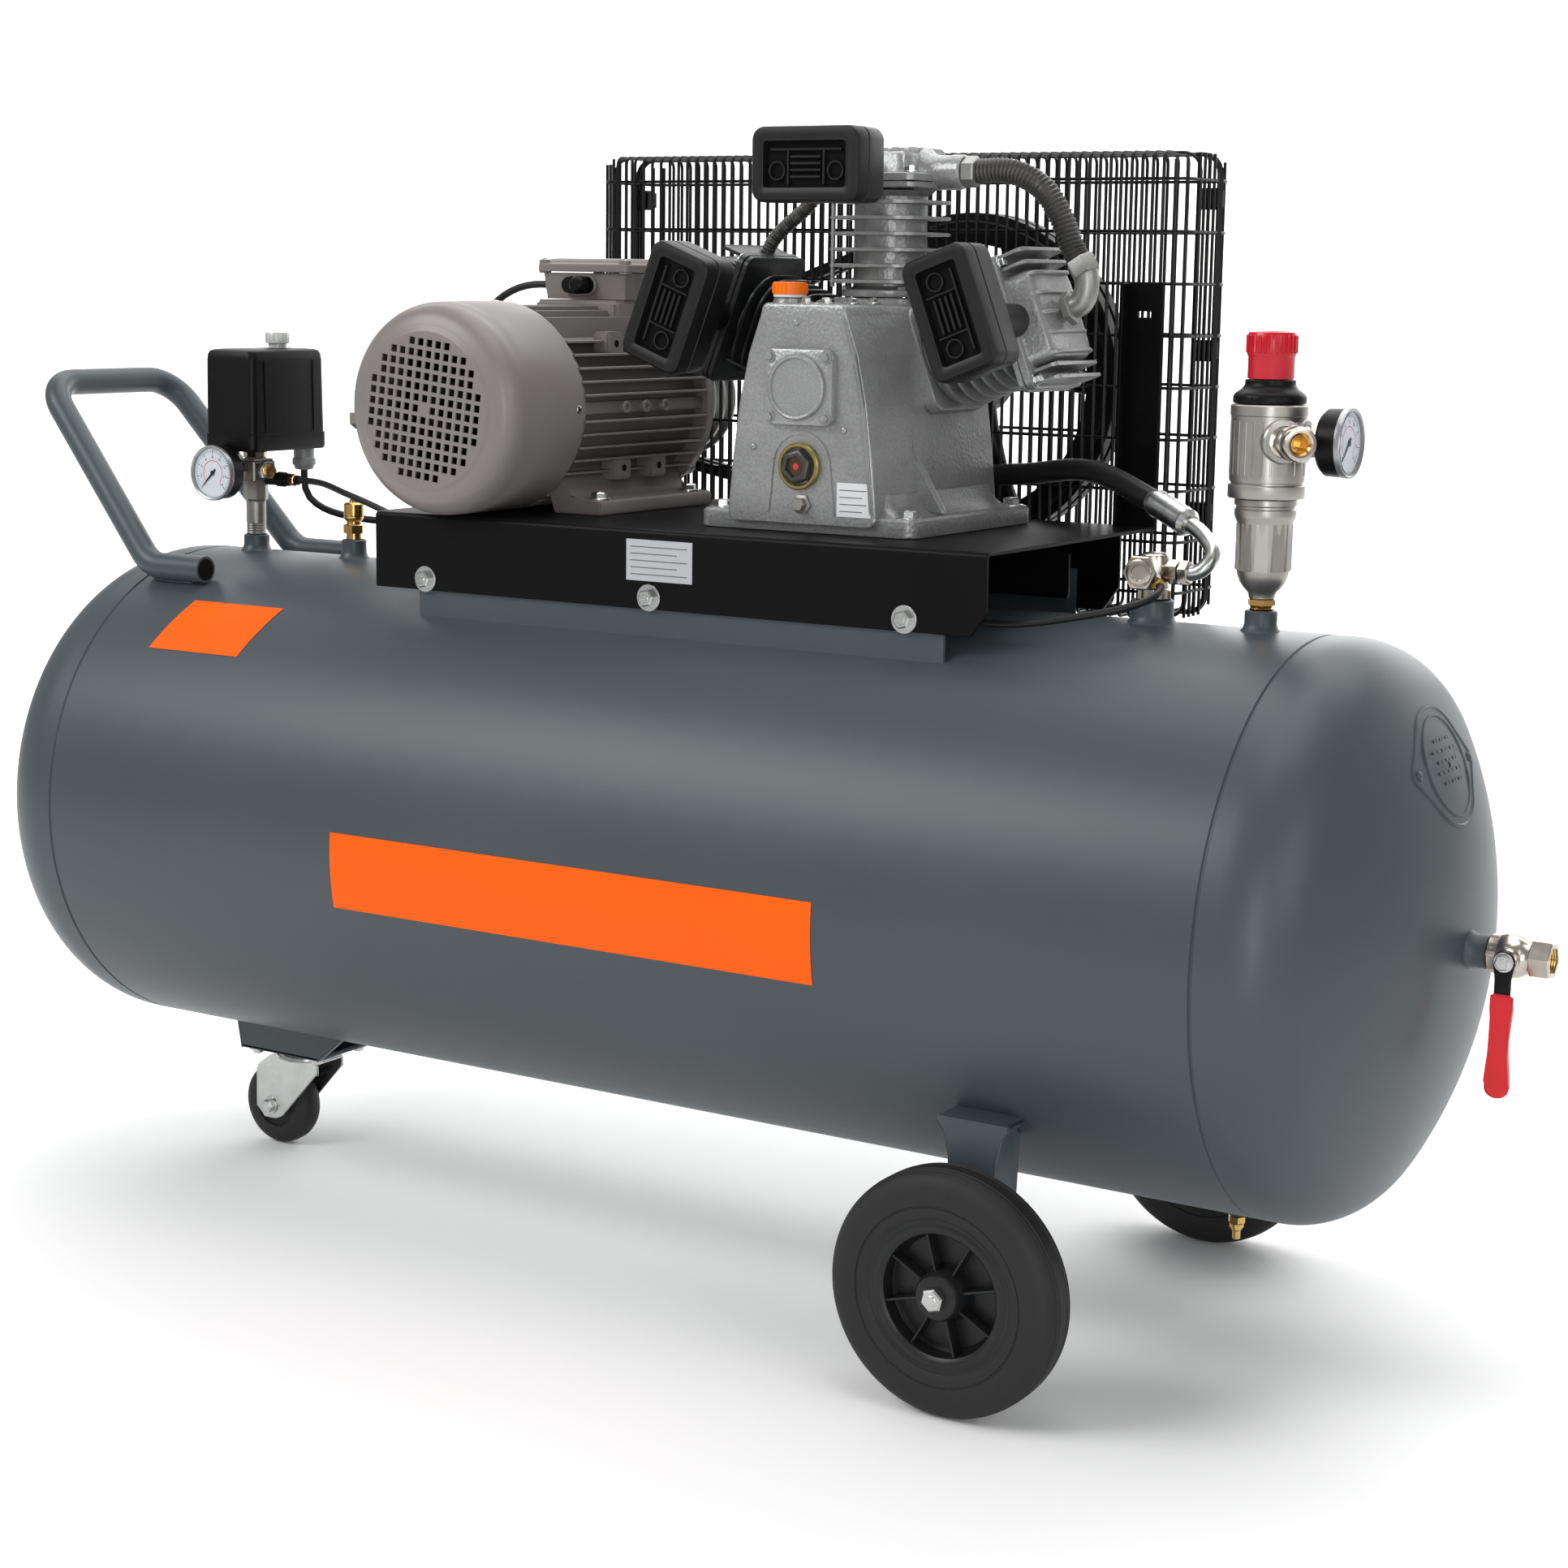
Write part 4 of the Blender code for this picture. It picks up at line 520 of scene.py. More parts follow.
def shell_patch(x0, x1, angle0, angle1, slant=0.0, steps=24):
    """Thin sheet that follows the shell; angles are in degrees up from the front."""
    bm = bmesh.new()
    rows = []
    radius = TANK_R + 0.0004
    for k in [k / steps for k in range(steps + 1)]:
        t = math.radians(angle0 + (angle1 - angle0) * k)
        y, z = -radius * math.cos(t), TANK_Z + radius * math.sin(t)
        rows.append([bm.verts.new((x + slant * k, y, z)) for x in (x0, x1)])
    for low, high in zip(rows, rows[1:]):
        bm.faces.new((low[0], low[1], high[1], high[0]))
    return bm


def socket(piece, place, axis, radius, height, inner=0.0085, flare=0.006):
    """Welded socket with its fillet, bevelled mouth and dark bore."""
    profile = [(radius + flare, -0.0035), (radius + flare * 0.55, -0.0005), (radius + flare * 0.2, 0.0018),
        (radius + 0.0004, 0.0042), (radius, 0.005), (radius, height - 0.0012), (radius - 0.0012, height),
        (inner, height), (inner, 0.0)]
    piece.turn(profile, 40, "receiver_paint", place, axis)


def build_tank():
    tank = Piece("receiver")
    right = head_profile(14, 22)
    groove = [(TANK_R, SEAM_X - 0.0016), (TANK_R - 0.0014, SEAM_X - 0.0006),
        (TANK_R - 0.0014, SEAM_X + 0.0006), (TANK_R, SEAM_X + 0.0016)]
    side = groove + right
    profile = [(r, -x) for r, x in reversed(side)] + side
    tank.turn(profile, 160, "receiver_paint", (0, 0, TANK_Z), X)
    top = TANK_Z + TANK_R
    for x, radius, height in ((REG_X, 0.0125, 0.016), (CHECK_X, 0.0165, 0.018), (SWITCH_X, 0.012, 0.015),
            (SAFETY_X, 0.0115, 0.017)):
        socket(tank, (x, 0, top), Z, radius, height, radius - 0.003)
    pole = head_profile(1, 1)[-1][1]
    socket(tank, (pole, 0, TANK_Z), X, 0.0125, 0.7 - pole - 0.0001, 0.009, 0.005)
    socket(tank, (DRAIN_X, 0, TANK_Z - TANK_R), -Z, 0.008, 0.0128, 0.005, 0.004)
    for y0, y1 in ((-0.1135, -0.111), (0.111, 0.1135)):
        tank.add(block((-0.22, y0, 0.54), (0.2955, y1, 0.6)), "receiver_paint", bevel=0.0006)
    tank.done(replaces=["tank"])
    build_seam_marks()


def build_seam_marks():
    """Plate embossed on the right head, and the plain vinyl bands."""
    plate = Piece("embossed_plate")
    centre = Vector((head_centre(), 0, TANK_Z))
    way = (Vector((0.648, 0.003, 0.482)) - centre).normalized()
    side = (-Y - way * way.dot(-Y)).normalized()
    up = side.cross(way)
    if up.z < 0:
        up = -up

    def on_head(a, b, lift):
        direction = (way * CROWN_R + side * a + up * b).normalized()
        return centre + direction * (CROWN_R + lift)

    def hull(radius, lug):
        """Round plate drawn out to a lug on each side."""
        reach = 0.055
        lean = math.degrees(math.acos((radius - lug) / reach))
        points = []
        for start, x in ((0, reach), (180, -reach)):
            points += arc((x, 0), lug, start - lean, start + lean, 10)
            points += arc((0, 0), radius, start + lean, start + 180 - lean, 26)
        return points

    def skin(*rows):
        sections = [[on_head(a, b, lift) for a, b in line] for line, lift in rows]
        plate.add(stack(sections, caps=False), "receiver_paint")

    outer = hull(0.048, 0.0085)
    half, middle = [[(a * k, b * k) for a, b in outer] for k in (0.5, 0.05)]
    skin((outer, -0.0006), (hull(0.047, 0.0075), 0.0016), (hull(0.0455, 0.0062), 0.0016),
        (hull(0.0445, 0.0052), 0.0006), (half, 0.0006), (middle, 0.0006))
    skin(*[(arc((0, 0), r, 0, 354.375, 63), lift) for r, lift in mm(40, -0.2, 39.4, 1.4, 38.4, 1.4, 37.8,
        -0.2)])
    for a in (0.055, -0.055):
        plate.turn(mm(4, 0, 3.6, 1.4, 1.8, 2.2, 0, 2.4), 16, "receiver_paint", on_head(a, 0, 0.0004), way)
    for b, half in mm(20, 18, 12, 26, 4, 22, -4, 26, -12, 20):
        for k in range(6):
            a0 = -half + half * k / 3
            a1 = a0 + half / 3 - 0.0016 - 0.0012 * (k % 2)
            corners = [(a0, b - 0.0011), (a1, b - 0.0011), (a1, b + 0.0011), (a0, b + 0.0011)]
            bar = bmesh.new()
            low, high = [[bar.verts.new(on_head(p, q, lift)) for p, q in corners]
                for lift in (0.0002, 0.0015)]
            bar.faces.new(high)
            join(bar, low, high)
            plate.add(finished(bar), "receiver_paint")
    plate.done()

    vinyl = Piece("plain_bands")
    vinyl.add(shell_patch(-0.228, 0.247, -11.5, 5.2), "orange_vinyl")
    vinyl.add(shell_patch(-0.487, -0.382, 42.0, 57.5, slant=0.014, steps=10), "orange_vinyl")
    vinyl.done()


def head_centre():
    """Where along the receiver the crown of its right head is centred."""
    return SEAM_X + HEAD_STRAIGHT - math.sqrt((CROWN_R - KNUCKLE_R) ** 2 - (TANK_R - KNUCKLE_R) ** 2)


def build_handle():
    handle = Piece("handle_tube")
    foot_z = TANK_Z + math.sqrt((TANK_R + 0.0125) ** 2 - 0.01) + 0.0003
    corners = [(-0.48, -0.1, foot_z), (-0.548, -0.1, foot_z), (-0.693, -0.082, 0.7275),
        (-0.693, 0.082, 0.7275), (-0.548, 0.1, foot_z), (-0.48, 0.1, foot_z)]
    path = round_corners(corners, 0.034, 10)
    spread = []
    for a, b in zip(path, path[1:]):
        count = max(1, round((b - a).length / 0.02))
        spread += [a.lerp(b, k / count) for k in range(count)]
    spread.append(path[-1])
    handle.add(sweep(spread, 0.0121, 28), "receiver_paint")
    for y in (-0.1, 0.1):
        # Near-black disc at each open tube end: painted shade inside the tube.
        mouth = mm(0, -0.4, 9.4, -0.4, 9.8, 0, 9.8, 0.3, 0, 0.3)
        handle.turn(mouth, 28, "painted_shade_inside", (-0.48, y, foot_z), X)
        side = -1 if y < 0 else 1
        out = Vector((0, y, foot_z - TANK_Z)).normalized()
        seat = Vector((0, y, foot_z)) - out * 0.0118
        along = Vector((0, out.z, -out.y)) * side
        weld = []
        for x, wide in mm(-494, 3, -498, 6.6, -520, 7, -542, 6.2, -548, 2.8):
            weld.append([Vector((x, 0, 0)) + seat + along * (wide * math.cos(t))
                + out * (wide * 0.34 * math.sin(t)) for t in [math.tau * i / 16 for i in range(16)]])
        handle.add(stack(weld), "receiver_paint")
    handle.done(replaces=["handle"])


# ---- platform ------------------------------------------------------------------
def build_platform():
    x0, x1, y0, y1, top = DECK
    sheet = 0.003
    deck = Piece("deck")
    turn = 0.004
    section = [(y0, FLANGE_Z)] + list(reversed(arc((y0 + turn, top - turn), turn, 90, 180, 5)))
    section += [(y1, top), (y1, top - sheet)] + arc((y0 + turn, top - turn), turn - sheet, 90, 180, 5)
    body = lengthwise(section + [(y0 + sheet, FLANGE_Z)], x0, x1)
    chop = facing([(x1 - 0.014, FLANGE_Z - 0.001), (x1 + 0.001, FLANGE_Z + 0.0205),
        (x1 + 0.001, FLANGE_Z - 0.001)], -y0 - 0.01, -y0 + 0.01)
    deck.add(cut_part(body, [chop]), "black_powder", bevel=0.0005, steps=1)
    rear = soft_outline([(x0, FLANGE_Z), (x1 - 0.014, FLANGE_Z), (x1, FLANGE_Z + 0.02), (x1, top - 0.001),
        (x0, top - 0.001)], 0.002)
    plate = facing(rear, -0.117, -0.114)
    deck.add(plate, "black_powder", bevel=0.0004, steps=1)
    post_x = x1 - 0.032
    post = block((post_x, y1 - sheet, top - 0.001), (x1, y1, 0.835))
    slot = block((post_x + 0.01, y1 - 0.01, 0.806), (post_x + 0.022, y1 + 0.01, 0.811))
    deck.add(cut_part(post, [slot]), "black_powder", bevel=0.0005, steps=1)
    deck.add(block((post_x, y1 - 0.018, top - 0.001), (post_x + sheet, y1 - 0.0005, 0.834)), "black_powder",
        bevel=0.0005, steps=1)
    bracket = facing(rounded(0.06, 0.019, 0.003, centre=(0.255, 0.6)), -0.06, -0.0575)
    deck.add(bracket, "black_powder", bevel=0.0004, steps=1)
    for x in (-0.2098, 0.0225, 0.262):
        deck.bolt((x, y0, 0.5765), -Y, 0.0075, 0.0052, turn=x * 9)
    deck.done(replaces=["platform"])
    label = Piece("blank_plate")
    label.add(block((0.0001, y0 - 0.0005, 0.5901), (0.0647, y0, 0.6237)), "grey_label")
    for k in range(5):
        z = 0.595 + k * 0.0056
        label.add(block((0.0045, y0 - 0.0007, z), (0.06 - 0.01 * (k % 2), y0 - 0.0004, z + 0.0008)),
            "grey_print")
    label.done()


# ---- wheels --------------------------------------------------------------------
def build_wheel(side, place, body):
    """Drawn from its outer face inwards."""
    where = at((WHEEL_X, side * WHEEL_Y, WHEEL_R), -side * Y)
    wheel = Piece("transport_wheel_" + place)
    width, rim = 0.046, 0.06
    half = [(rim - 0.001, 0.006), (0.0625, 0.0042), (0.066, 0.0032), (0.068, 0.003), (0.0684, 0.0036),
        (0.0694, 0.0036), (0.07, 0.0026), (0.076, 0.002), (0.082, 0.0024), (0.088, 0.0042),
        (0.0915, 0.0068), (0.0936, 0.0098), (0.0946, 0.0118), (0.0938, 0.0124), (0.0938, 0.0134),
        (0.0949, 0.014), (0.0951, 0.0156), (0.0943, 0.0162), (0.0943, 0.0172), (0.0952, 0.0178)]
    tyre = half + [(r, width - z) for r, z in reversed(half)]
    wheel.turn(tyre, 96, "rubber_tyre", where, closed=True)
    hub, web0, web1 = 0.0185, 0.0215, 0.0245
    profile = [(0.0068, 0.0012), (0.012, 0.0012), (0.0165, 0.002), (hub, 0.005),
        (hub + 0.0012, web0 - 0.004), (hub + 0.004, web0), (0.0435, web0), (0.0462, web0 - 0.003),
        (0.0476, 0.0075), (0.05, 0.0055), (0.053, 0.005), (0.056, 0.0062), (0.0585, 0.0052),
        (rim - 0.0002, 0.0056), (rim - 0.0002, width - 0.0056), (0.052, width - 0.0052),
        (0.0485, width - 0.008), (0.0468, web1), (hub + 0.004, web1), (hub, web1 + 0.004),
        (hub, width - 0.004), (0.0165, width - 0.002), (0.0068, width - 0.002)]
    wheel.turn(profile, 72, "rim_plastic", where, closed=True)
    for i in range(8):
        turn = math.tau * (i + 0.66) / 8
        rib = block((hub - 0.001, -0.0009, 0.0088), (0.0475, 0.0009, web0 + 0.001))
        wheel.add(rib, "rim_plastic", where @ Matrix.Rotation(turn, 4, "Z"), bevel=0.0004, steps=1)
        back = block((hub - 0.001, -0.0009, web1 - 0.001), (0.0475, 0.0009, width - 0.01))
        wheel.add(back, "rim_plastic", where @ Matrix.Rotation(turn, 4, "Z"), bevel=0.0004, steps=1)
    wheel.done(body, ["wheel_rim_" + place, "tyre_" + place])


def build_wheel_bracket(side, place):
    leg = Piece("wheel_leg_" + place)
    top_z, inner = 0.219, WHEEL_Y - 0.046
    leg_y = inner - 0.008
    outline = soft_outline([(WHEEL_X - 0.019, WHEEL_R - 0.016), (WHEEL_X + 0.019, WHEEL_R - 0.016),
        (WHEEL_X + 0.02, top_z - 0.03), (WHEEL_X + 0.024, top_z - 0.012), (WHEEL_X + 0.031, top_z - 0.003),
        (WHEEL_X + 0.029, top_z), (WHEEL_X - 0.029, top_z), (WHEEL_X - 0.031, top_z - 0.003),
        (WHEEL_X - 0.024, top_z - 0.012), (WHEEL_X - 0.02, top_z - 0.03)], 0.006, 5)
    plate = facing(outline, -0.002, 0.002)
    leg.add(plate, "receiver_paint", Matrix.Translation((0, side * leg_y, 0)), bevel=0.0008)
    tank_y = math.sqrt(TANK_R ** 2 - (TANK_Z - top_z) ** 2)
    lip = sorted((side * (tank_y - 0.004), side * (leg_y + 0.001)))
    leg.add(block((WHEEL_X - 0.03, lip[0], top_z - 0.0065), (WHEEL_X + 0.03, lip[1], top_z + 0.0005)),
        "receiver_paint", bevel=0.003, steps=4)
    for x in (WHEEL_X - 0.0195, WHEEL_X + 0.016):
        points = [(side * 0.17, 0.202), (side * 0.176, 0.13), (side * 0.192, 0.092), (side * leg_y, 0.082),
            (side * leg_y, top_z - 0.004), (side * 0.183, top_z - 0.004)]
        fin = lengthwise(points, x, x + 0.0035)
        leg.add(fin, "receiver_paint", bevel=0.0006, steps=1)
    axle = [(0, 0), (0.006, 0), (0.006, WHEEL_Y - leg_y + 0.01), (0, WHEEL_Y - leg_y + 0.01)]
    leg.turn(axle, 24, "steel_dull", (WHEEL_X, side * (leg_y - 0.01), WHEEL_R), side * Y)
    leg.bolt((WHEEL_X, side * (WHEEL_Y - 0.0008), WHEEL_R), side * Y, 0.0094, 0.0062, turn=0.3, washer=0)
    leg.bolt((WHEEL_X, side * (leg_y - 0.0022), WHEEL_R), -side * Y, 0.0095, 0.007)
    collar = mm(6.2, 0, 11.5, 0, 11.5, 5.2, 6.2, 5.2)
    leg.turn(collar, 24, "zinc", (WHEEL_X, side * (leg_y + 0.002), WHEEL_R), side * Y, closed=True)
    leg.done(replaces=["wheel_bracket_" + place])


def build_caster():
    bracket = Piece("caster_mount")
    x, wheel_x = -0.455, -0.487
    plate = block((x - 0.048, -0.04, 0.1), (x + 0.048, 0.04, 0.104))
    bracket.add(plate, "receiver_paint", bevel=0.0012)
    for y in (-0.04, 0.036):
        side = prism([(x - 0.048, 0.1005), (x + 0.048, 0.1005), (x + 0.08, 0.1275), (x - 0.053, 0.129)], y,
            y + 0.004)
        side.transform(Matrix(((1, 0, 0, 0), (0, 0, 1, 0), (0, 1, 0, 0), (0, 0, 0, 1))))
        bracket.add(side, "receiver_paint", bevel=0.0008, steps=1)
    race = mm(0, 95.5, 21, 95.5, 25, 96.2, 29, 98.5, 30, 100, 0, 100)
    bracket.turn(race, 40, "zinc", (x, 0, 0))
    for dx in (-0.037, 0.037):
        for y in (-0.03, 0.03):
            bracket.bolt((x + dx, y, 0.0998), -Z, 0.0055, 0.004)
    bracket.done(replaces=["caster_bracket"])

    fork = Piece("caster_yoke")
    crown = mm(0, 95.2, 28.5, 95.2, 30.5, 94.2, 31, 92.5, 29, 90.5, 0, 89.5)
    fork.turn(crown, 40, "zinc", (x, 0, 0))
    outline = soft_outline([(x - 0.03, 0.0915), (x + 0.028, 0.0915), (x + 0.028, 0.082),
        (wheel_x + 0.014, 0.031), (wheel_x + 0.006, 0.0275), (wheel_x - 0.008, 0.0275),
        (wheel_x - 0.018, 0.038), (x - 0.048, 0.078)], 0.006)
    for y0, y1 in ((-0.0192, -0.0168), (0.0168, 0.0192)):
        cheek = facing(outline, -y1, -y0)
        fork.add(cheek, "zinc", bevel=0.0006)
    fork.add(block((x - 0.03, -0.019, 0.0885), (x + 0.028, 0.019, 0.0912)), "zinc", bevel=0.0008)
    fork.turn(mm(0, 0, 4, 0, 4, 39.5, 0, 39.5), 16, "steel_dull", (wheel_x, -0.0198, 0.04), Y)
    fork.bolt((wheel_x, -0.0192, 0.04), -Y, 0.0065, 0.0048, washer=1.3)
    fork.bolt((wheel_x, 0.0192, 0.04), Y, 0.0065, 0.0048, washer=1.3)
    fork.done("caster_swivel_fork", ["caster_fork"])

    roller = Piece("caster_tyre")
    half = mm(5.2, 0.5, 10.5, 0.5, 11, 3, 16.5, 3.6, 21.5, 3.6, 22.5, 0.8, 30, 0.4, 34.5, 2, 37.8, 4.5,
        39.4, 8, 40, 14)
    profile = half + [(r, 0.028 - z) for r, z in reversed(half[:-1])]
    roller.turn(profile, 64, "rubber_tyre", (wheel_x, -0.014, 0.04), Y, closed=True)
    roller.done("caster_roller", ["caster_wheel"])


# ---- gauges --------------------------------------------------------------------
def build_gauge(name, node, needle_node, body, centre, axis, radius, top_turn):
    """Case, bezel, dial with numbers, glass and hand. top_turn turns the dial's top upright."""
    where = at(centre, axis, top_turn)
    case = Piece(name)
    shell = [(0, 0.0), (radius * 0.55, 0.0), (radius - 0.004, 0.0008), (radius - 0.0012, 0.004),
        (radius - 0.0008, 0.0165), (radius - 0.0001, 0.0172)]
    case.turn(shell, 64, "plastic_black", where)
    bezel = [(radius - a, z) for a, z in mm(0.1, 17.2, 0.1, 20.8, 0.6, 21.8, 1.4, 21.9, 2.6, 21.2, 3, 18.6)]
    case.turn(bezel, 64, "bezel_metal", where)
    case.turn([(radius - 0.0028, 0.0182), (radius - 0.0028, 0.0186), (0, 0.0186)], 64, "dial_white", where)
    reach = radius - 0.005
    marks = 40
    for i in range(marks + 1):
        length, half = (0.0017, 0.00016) if i % 5 else (0.003, 0.00032)
        tick = block((reach - length, -half, 0.0186), (reach, half, 0.01875))
        case.add(tick, "dial_black", where @ Matrix.Rotation(math.radians(225 - 270 * i / marks), 4, "Z"))
    for i in range(9):
        turn = math.radians(225 - 270 * i / 8)
        spot = Matrix.Translation(((reach - 0.0058) * math.cos(turn), (reach - 0.0058) * math.sin(turn),
            0.0187))
        case.add(glyph(str(2 * i), 0.0042), "dial_black", where @ spot)
    strip = bmesh.new()
    rows = [[strip.verts.new((a, b, 0.0187)) for a, b in arc((0, 0), reach - inset, -45, 225, marks)]
        for inset in (0.0088, 0.0094)]
    for i in range(marks):
        strip.faces.new((rows[0][i], rows[0][i + 1], rows[1][i + 1], rows[1][i]))
    case.add(strip, "dial_red", where)
    case.done(replaces=[node])
    lens = Piece(name + "_glass")
    wide = radius - 0.0032
    lens.turn([(0, 0.0206), (wide, 0.0206), (wide, 0.0214), (0, 0.0214)], 48, "dial_glass", where)
    lens.done()
    hand = Piece(name + "_hand")
    tip = reach - 0.003
    shape = [(-0.005, -0.0009), (0.0, -0.0011), (tip, -0.0002), (tip, 0.0002), (0.0, 0.0011),
        (-0.005, 0.0009)]
    hand.add(prism(shape, 0.0191, 0.0195), "dial_black", where @ Matrix.Rotation(math.radians(225), 4, "Z"))
    hand.turn(mm(2.2, 19, 2.2, 19.9, 1.4, 20.2, 0, 20.2), 20, "dial_black", where)
    hand.done(body, [needle_node])


# ---- receiver fittings ---------------------------------------------------------
def build_drain():
    drain = Piece("drain_cock")
    profile = mm(0, 0, 4.2, 0, 4.2, 1.5, 5.5, 2, 5.5, 5, 4.5, 5.5)
    drain.turn(profile, 24, "brass", (DRAIN_X, 0, 0.0998))
    drain.turn(mm(4.5, 5.5, 7, 6, 7, 11, 6.4, 11.8, 0, 11.8), 6, "brass", (DRAIN_X, 0, 0.0998))
    drain.done(replaces=["drain_valve"])
    knob = Piece("drain_wing")
    knob.turn(mm(0, 0, 2.6, 0, 3.2, 0.6, 3.2, 7, 2.6, 7.4, 0, 7.4), 20, "brass", (DRAIN_X, 0, 0.0919))
    knob.add(block((0.505, -0.001, 0.0925), (0.511, 0.001, 0.0985)), "brass", bevel=0.0005)
    knob.done("drain_screw", ["drain_knob"])


def build_ball_valve():
    valve = Piece("ball_cock")
    base = 0.7003
    body = mm(8.5, 0, 14, 0, 14.6, 0.8, 14.6, 7, 15, 9, 16.3, 12, 16.5, 16.5, 16.3, 21.5, 14.8, 25, 12.8,
        28, 12.6, 31.2)
    valve.turn(body, 40, "nickel", (base, 0, TANK_Z), X)
    end = mm(12.6, 31.2, 14.9, 31.8, 14.9, 45.8, 14, 46.8, 10.5, 46.8)
    valve.turn(end, 6, "nickel", (base, 0, TANK_Z), X, 0.35)
    throat = [(0.0108, 0.0469), (0.0098, 0.046)]
    for k in range(5):
        throat += [(0.0098, 0.0455 - k * 0.0018), (0.0092, 0.0446 - k * 0.0018)]
    throat += [(0.008, 0.034), (0, 0.034)]
    valve.turn(throat, 32, "brass", (base, 0, TANK_Z), X)
    near = mm(11, 0.1, 15.6, 0.5, 15.6, 6.8, 14.6, 7.6)
    valve.turn(near, 6, "nickel", (base, 0, TANK_Z), X, 0.35)
    stem = mm(8.6, 10, 8.6, 18, 7.8, 19, 7.2, 19, 7.2, 21.2, 6, 21.6, 6, 23.2, 0, 23.2)
    valve.turn(stem, 28, "nickel", (0.718, 0, TANK_Z), -Y)
    valve.done(replaces=["ball_valve"])

    lever = Piece("ball_lever")
    seat = 0.718

    def flat(outline, low, high, finish, bevel, steps=2):
        plate = facing(outline, low, high)
        lever.add(plate, finish, bevel=bevel, steps=steps)

    eye = arc((seat, TANK_Z), 0.0082, -20, 200, 14)
    neck = eye + [(seat - 0.0062, TANK_Z - 0.012), (seat - 0.0062, TANK_Z - 0.034),
        (seat + 0.0062, TANK_Z - 0.034), (seat + 0.0062, TANK_Z - 0.012)]
    flat(neck, 0.0236, 0.0256, "plastic_black", 0.0004, 1)
    widths = mm(24, 7.8, 26, 8.8, 34, 8.6, 46, 7.6, 58, 7.2, 70, 7.6, 82, 8.8, 90, 9.4)
    left = [(seat - w, TANK_Z - z) for z, w in widths]
    right = [(seat + w, TANK_Z - z) for z, w in reversed(widths)]
    tip = arc((seat, TANK_Z - 0.0925), 0.0096, 190, 350, 12)
    flat(left + tip + right, 0.0234, 0.0275, "red_sleeve", 0.0014, 3)
    nut = mm(0, 0, 7.6, 0, 7.6, 0.6, 6.2, 0.8, 6.2, 2.6, 5.4, 3.4, 3.6, 3.4, 3.6, 4.2, 0, 4.3)
    lever.turn(mm(0, 0, 7.4, 0, 7.4, 0.5, 0, 0.5), 28, "zinc", (seat, -0.0254, TANK_Z), -Y)
    lever.turn(nut, 6, "zinc", (seat, -0.0256, TANK_Z), -Y, 0.2)
    lever.done("outlet_lever", ["valve_lever"])


def threads(radius, length):
    profile = [(0, 0)]
    pitch, depth = 0.0016, 0.0005
    for k in range(round(length / pitch)):
        profile += [(radius - depth, k * pitch), (radius, (k + 0.5) * pitch)]
    return profile + [(radius - depth, length), (0, length)]


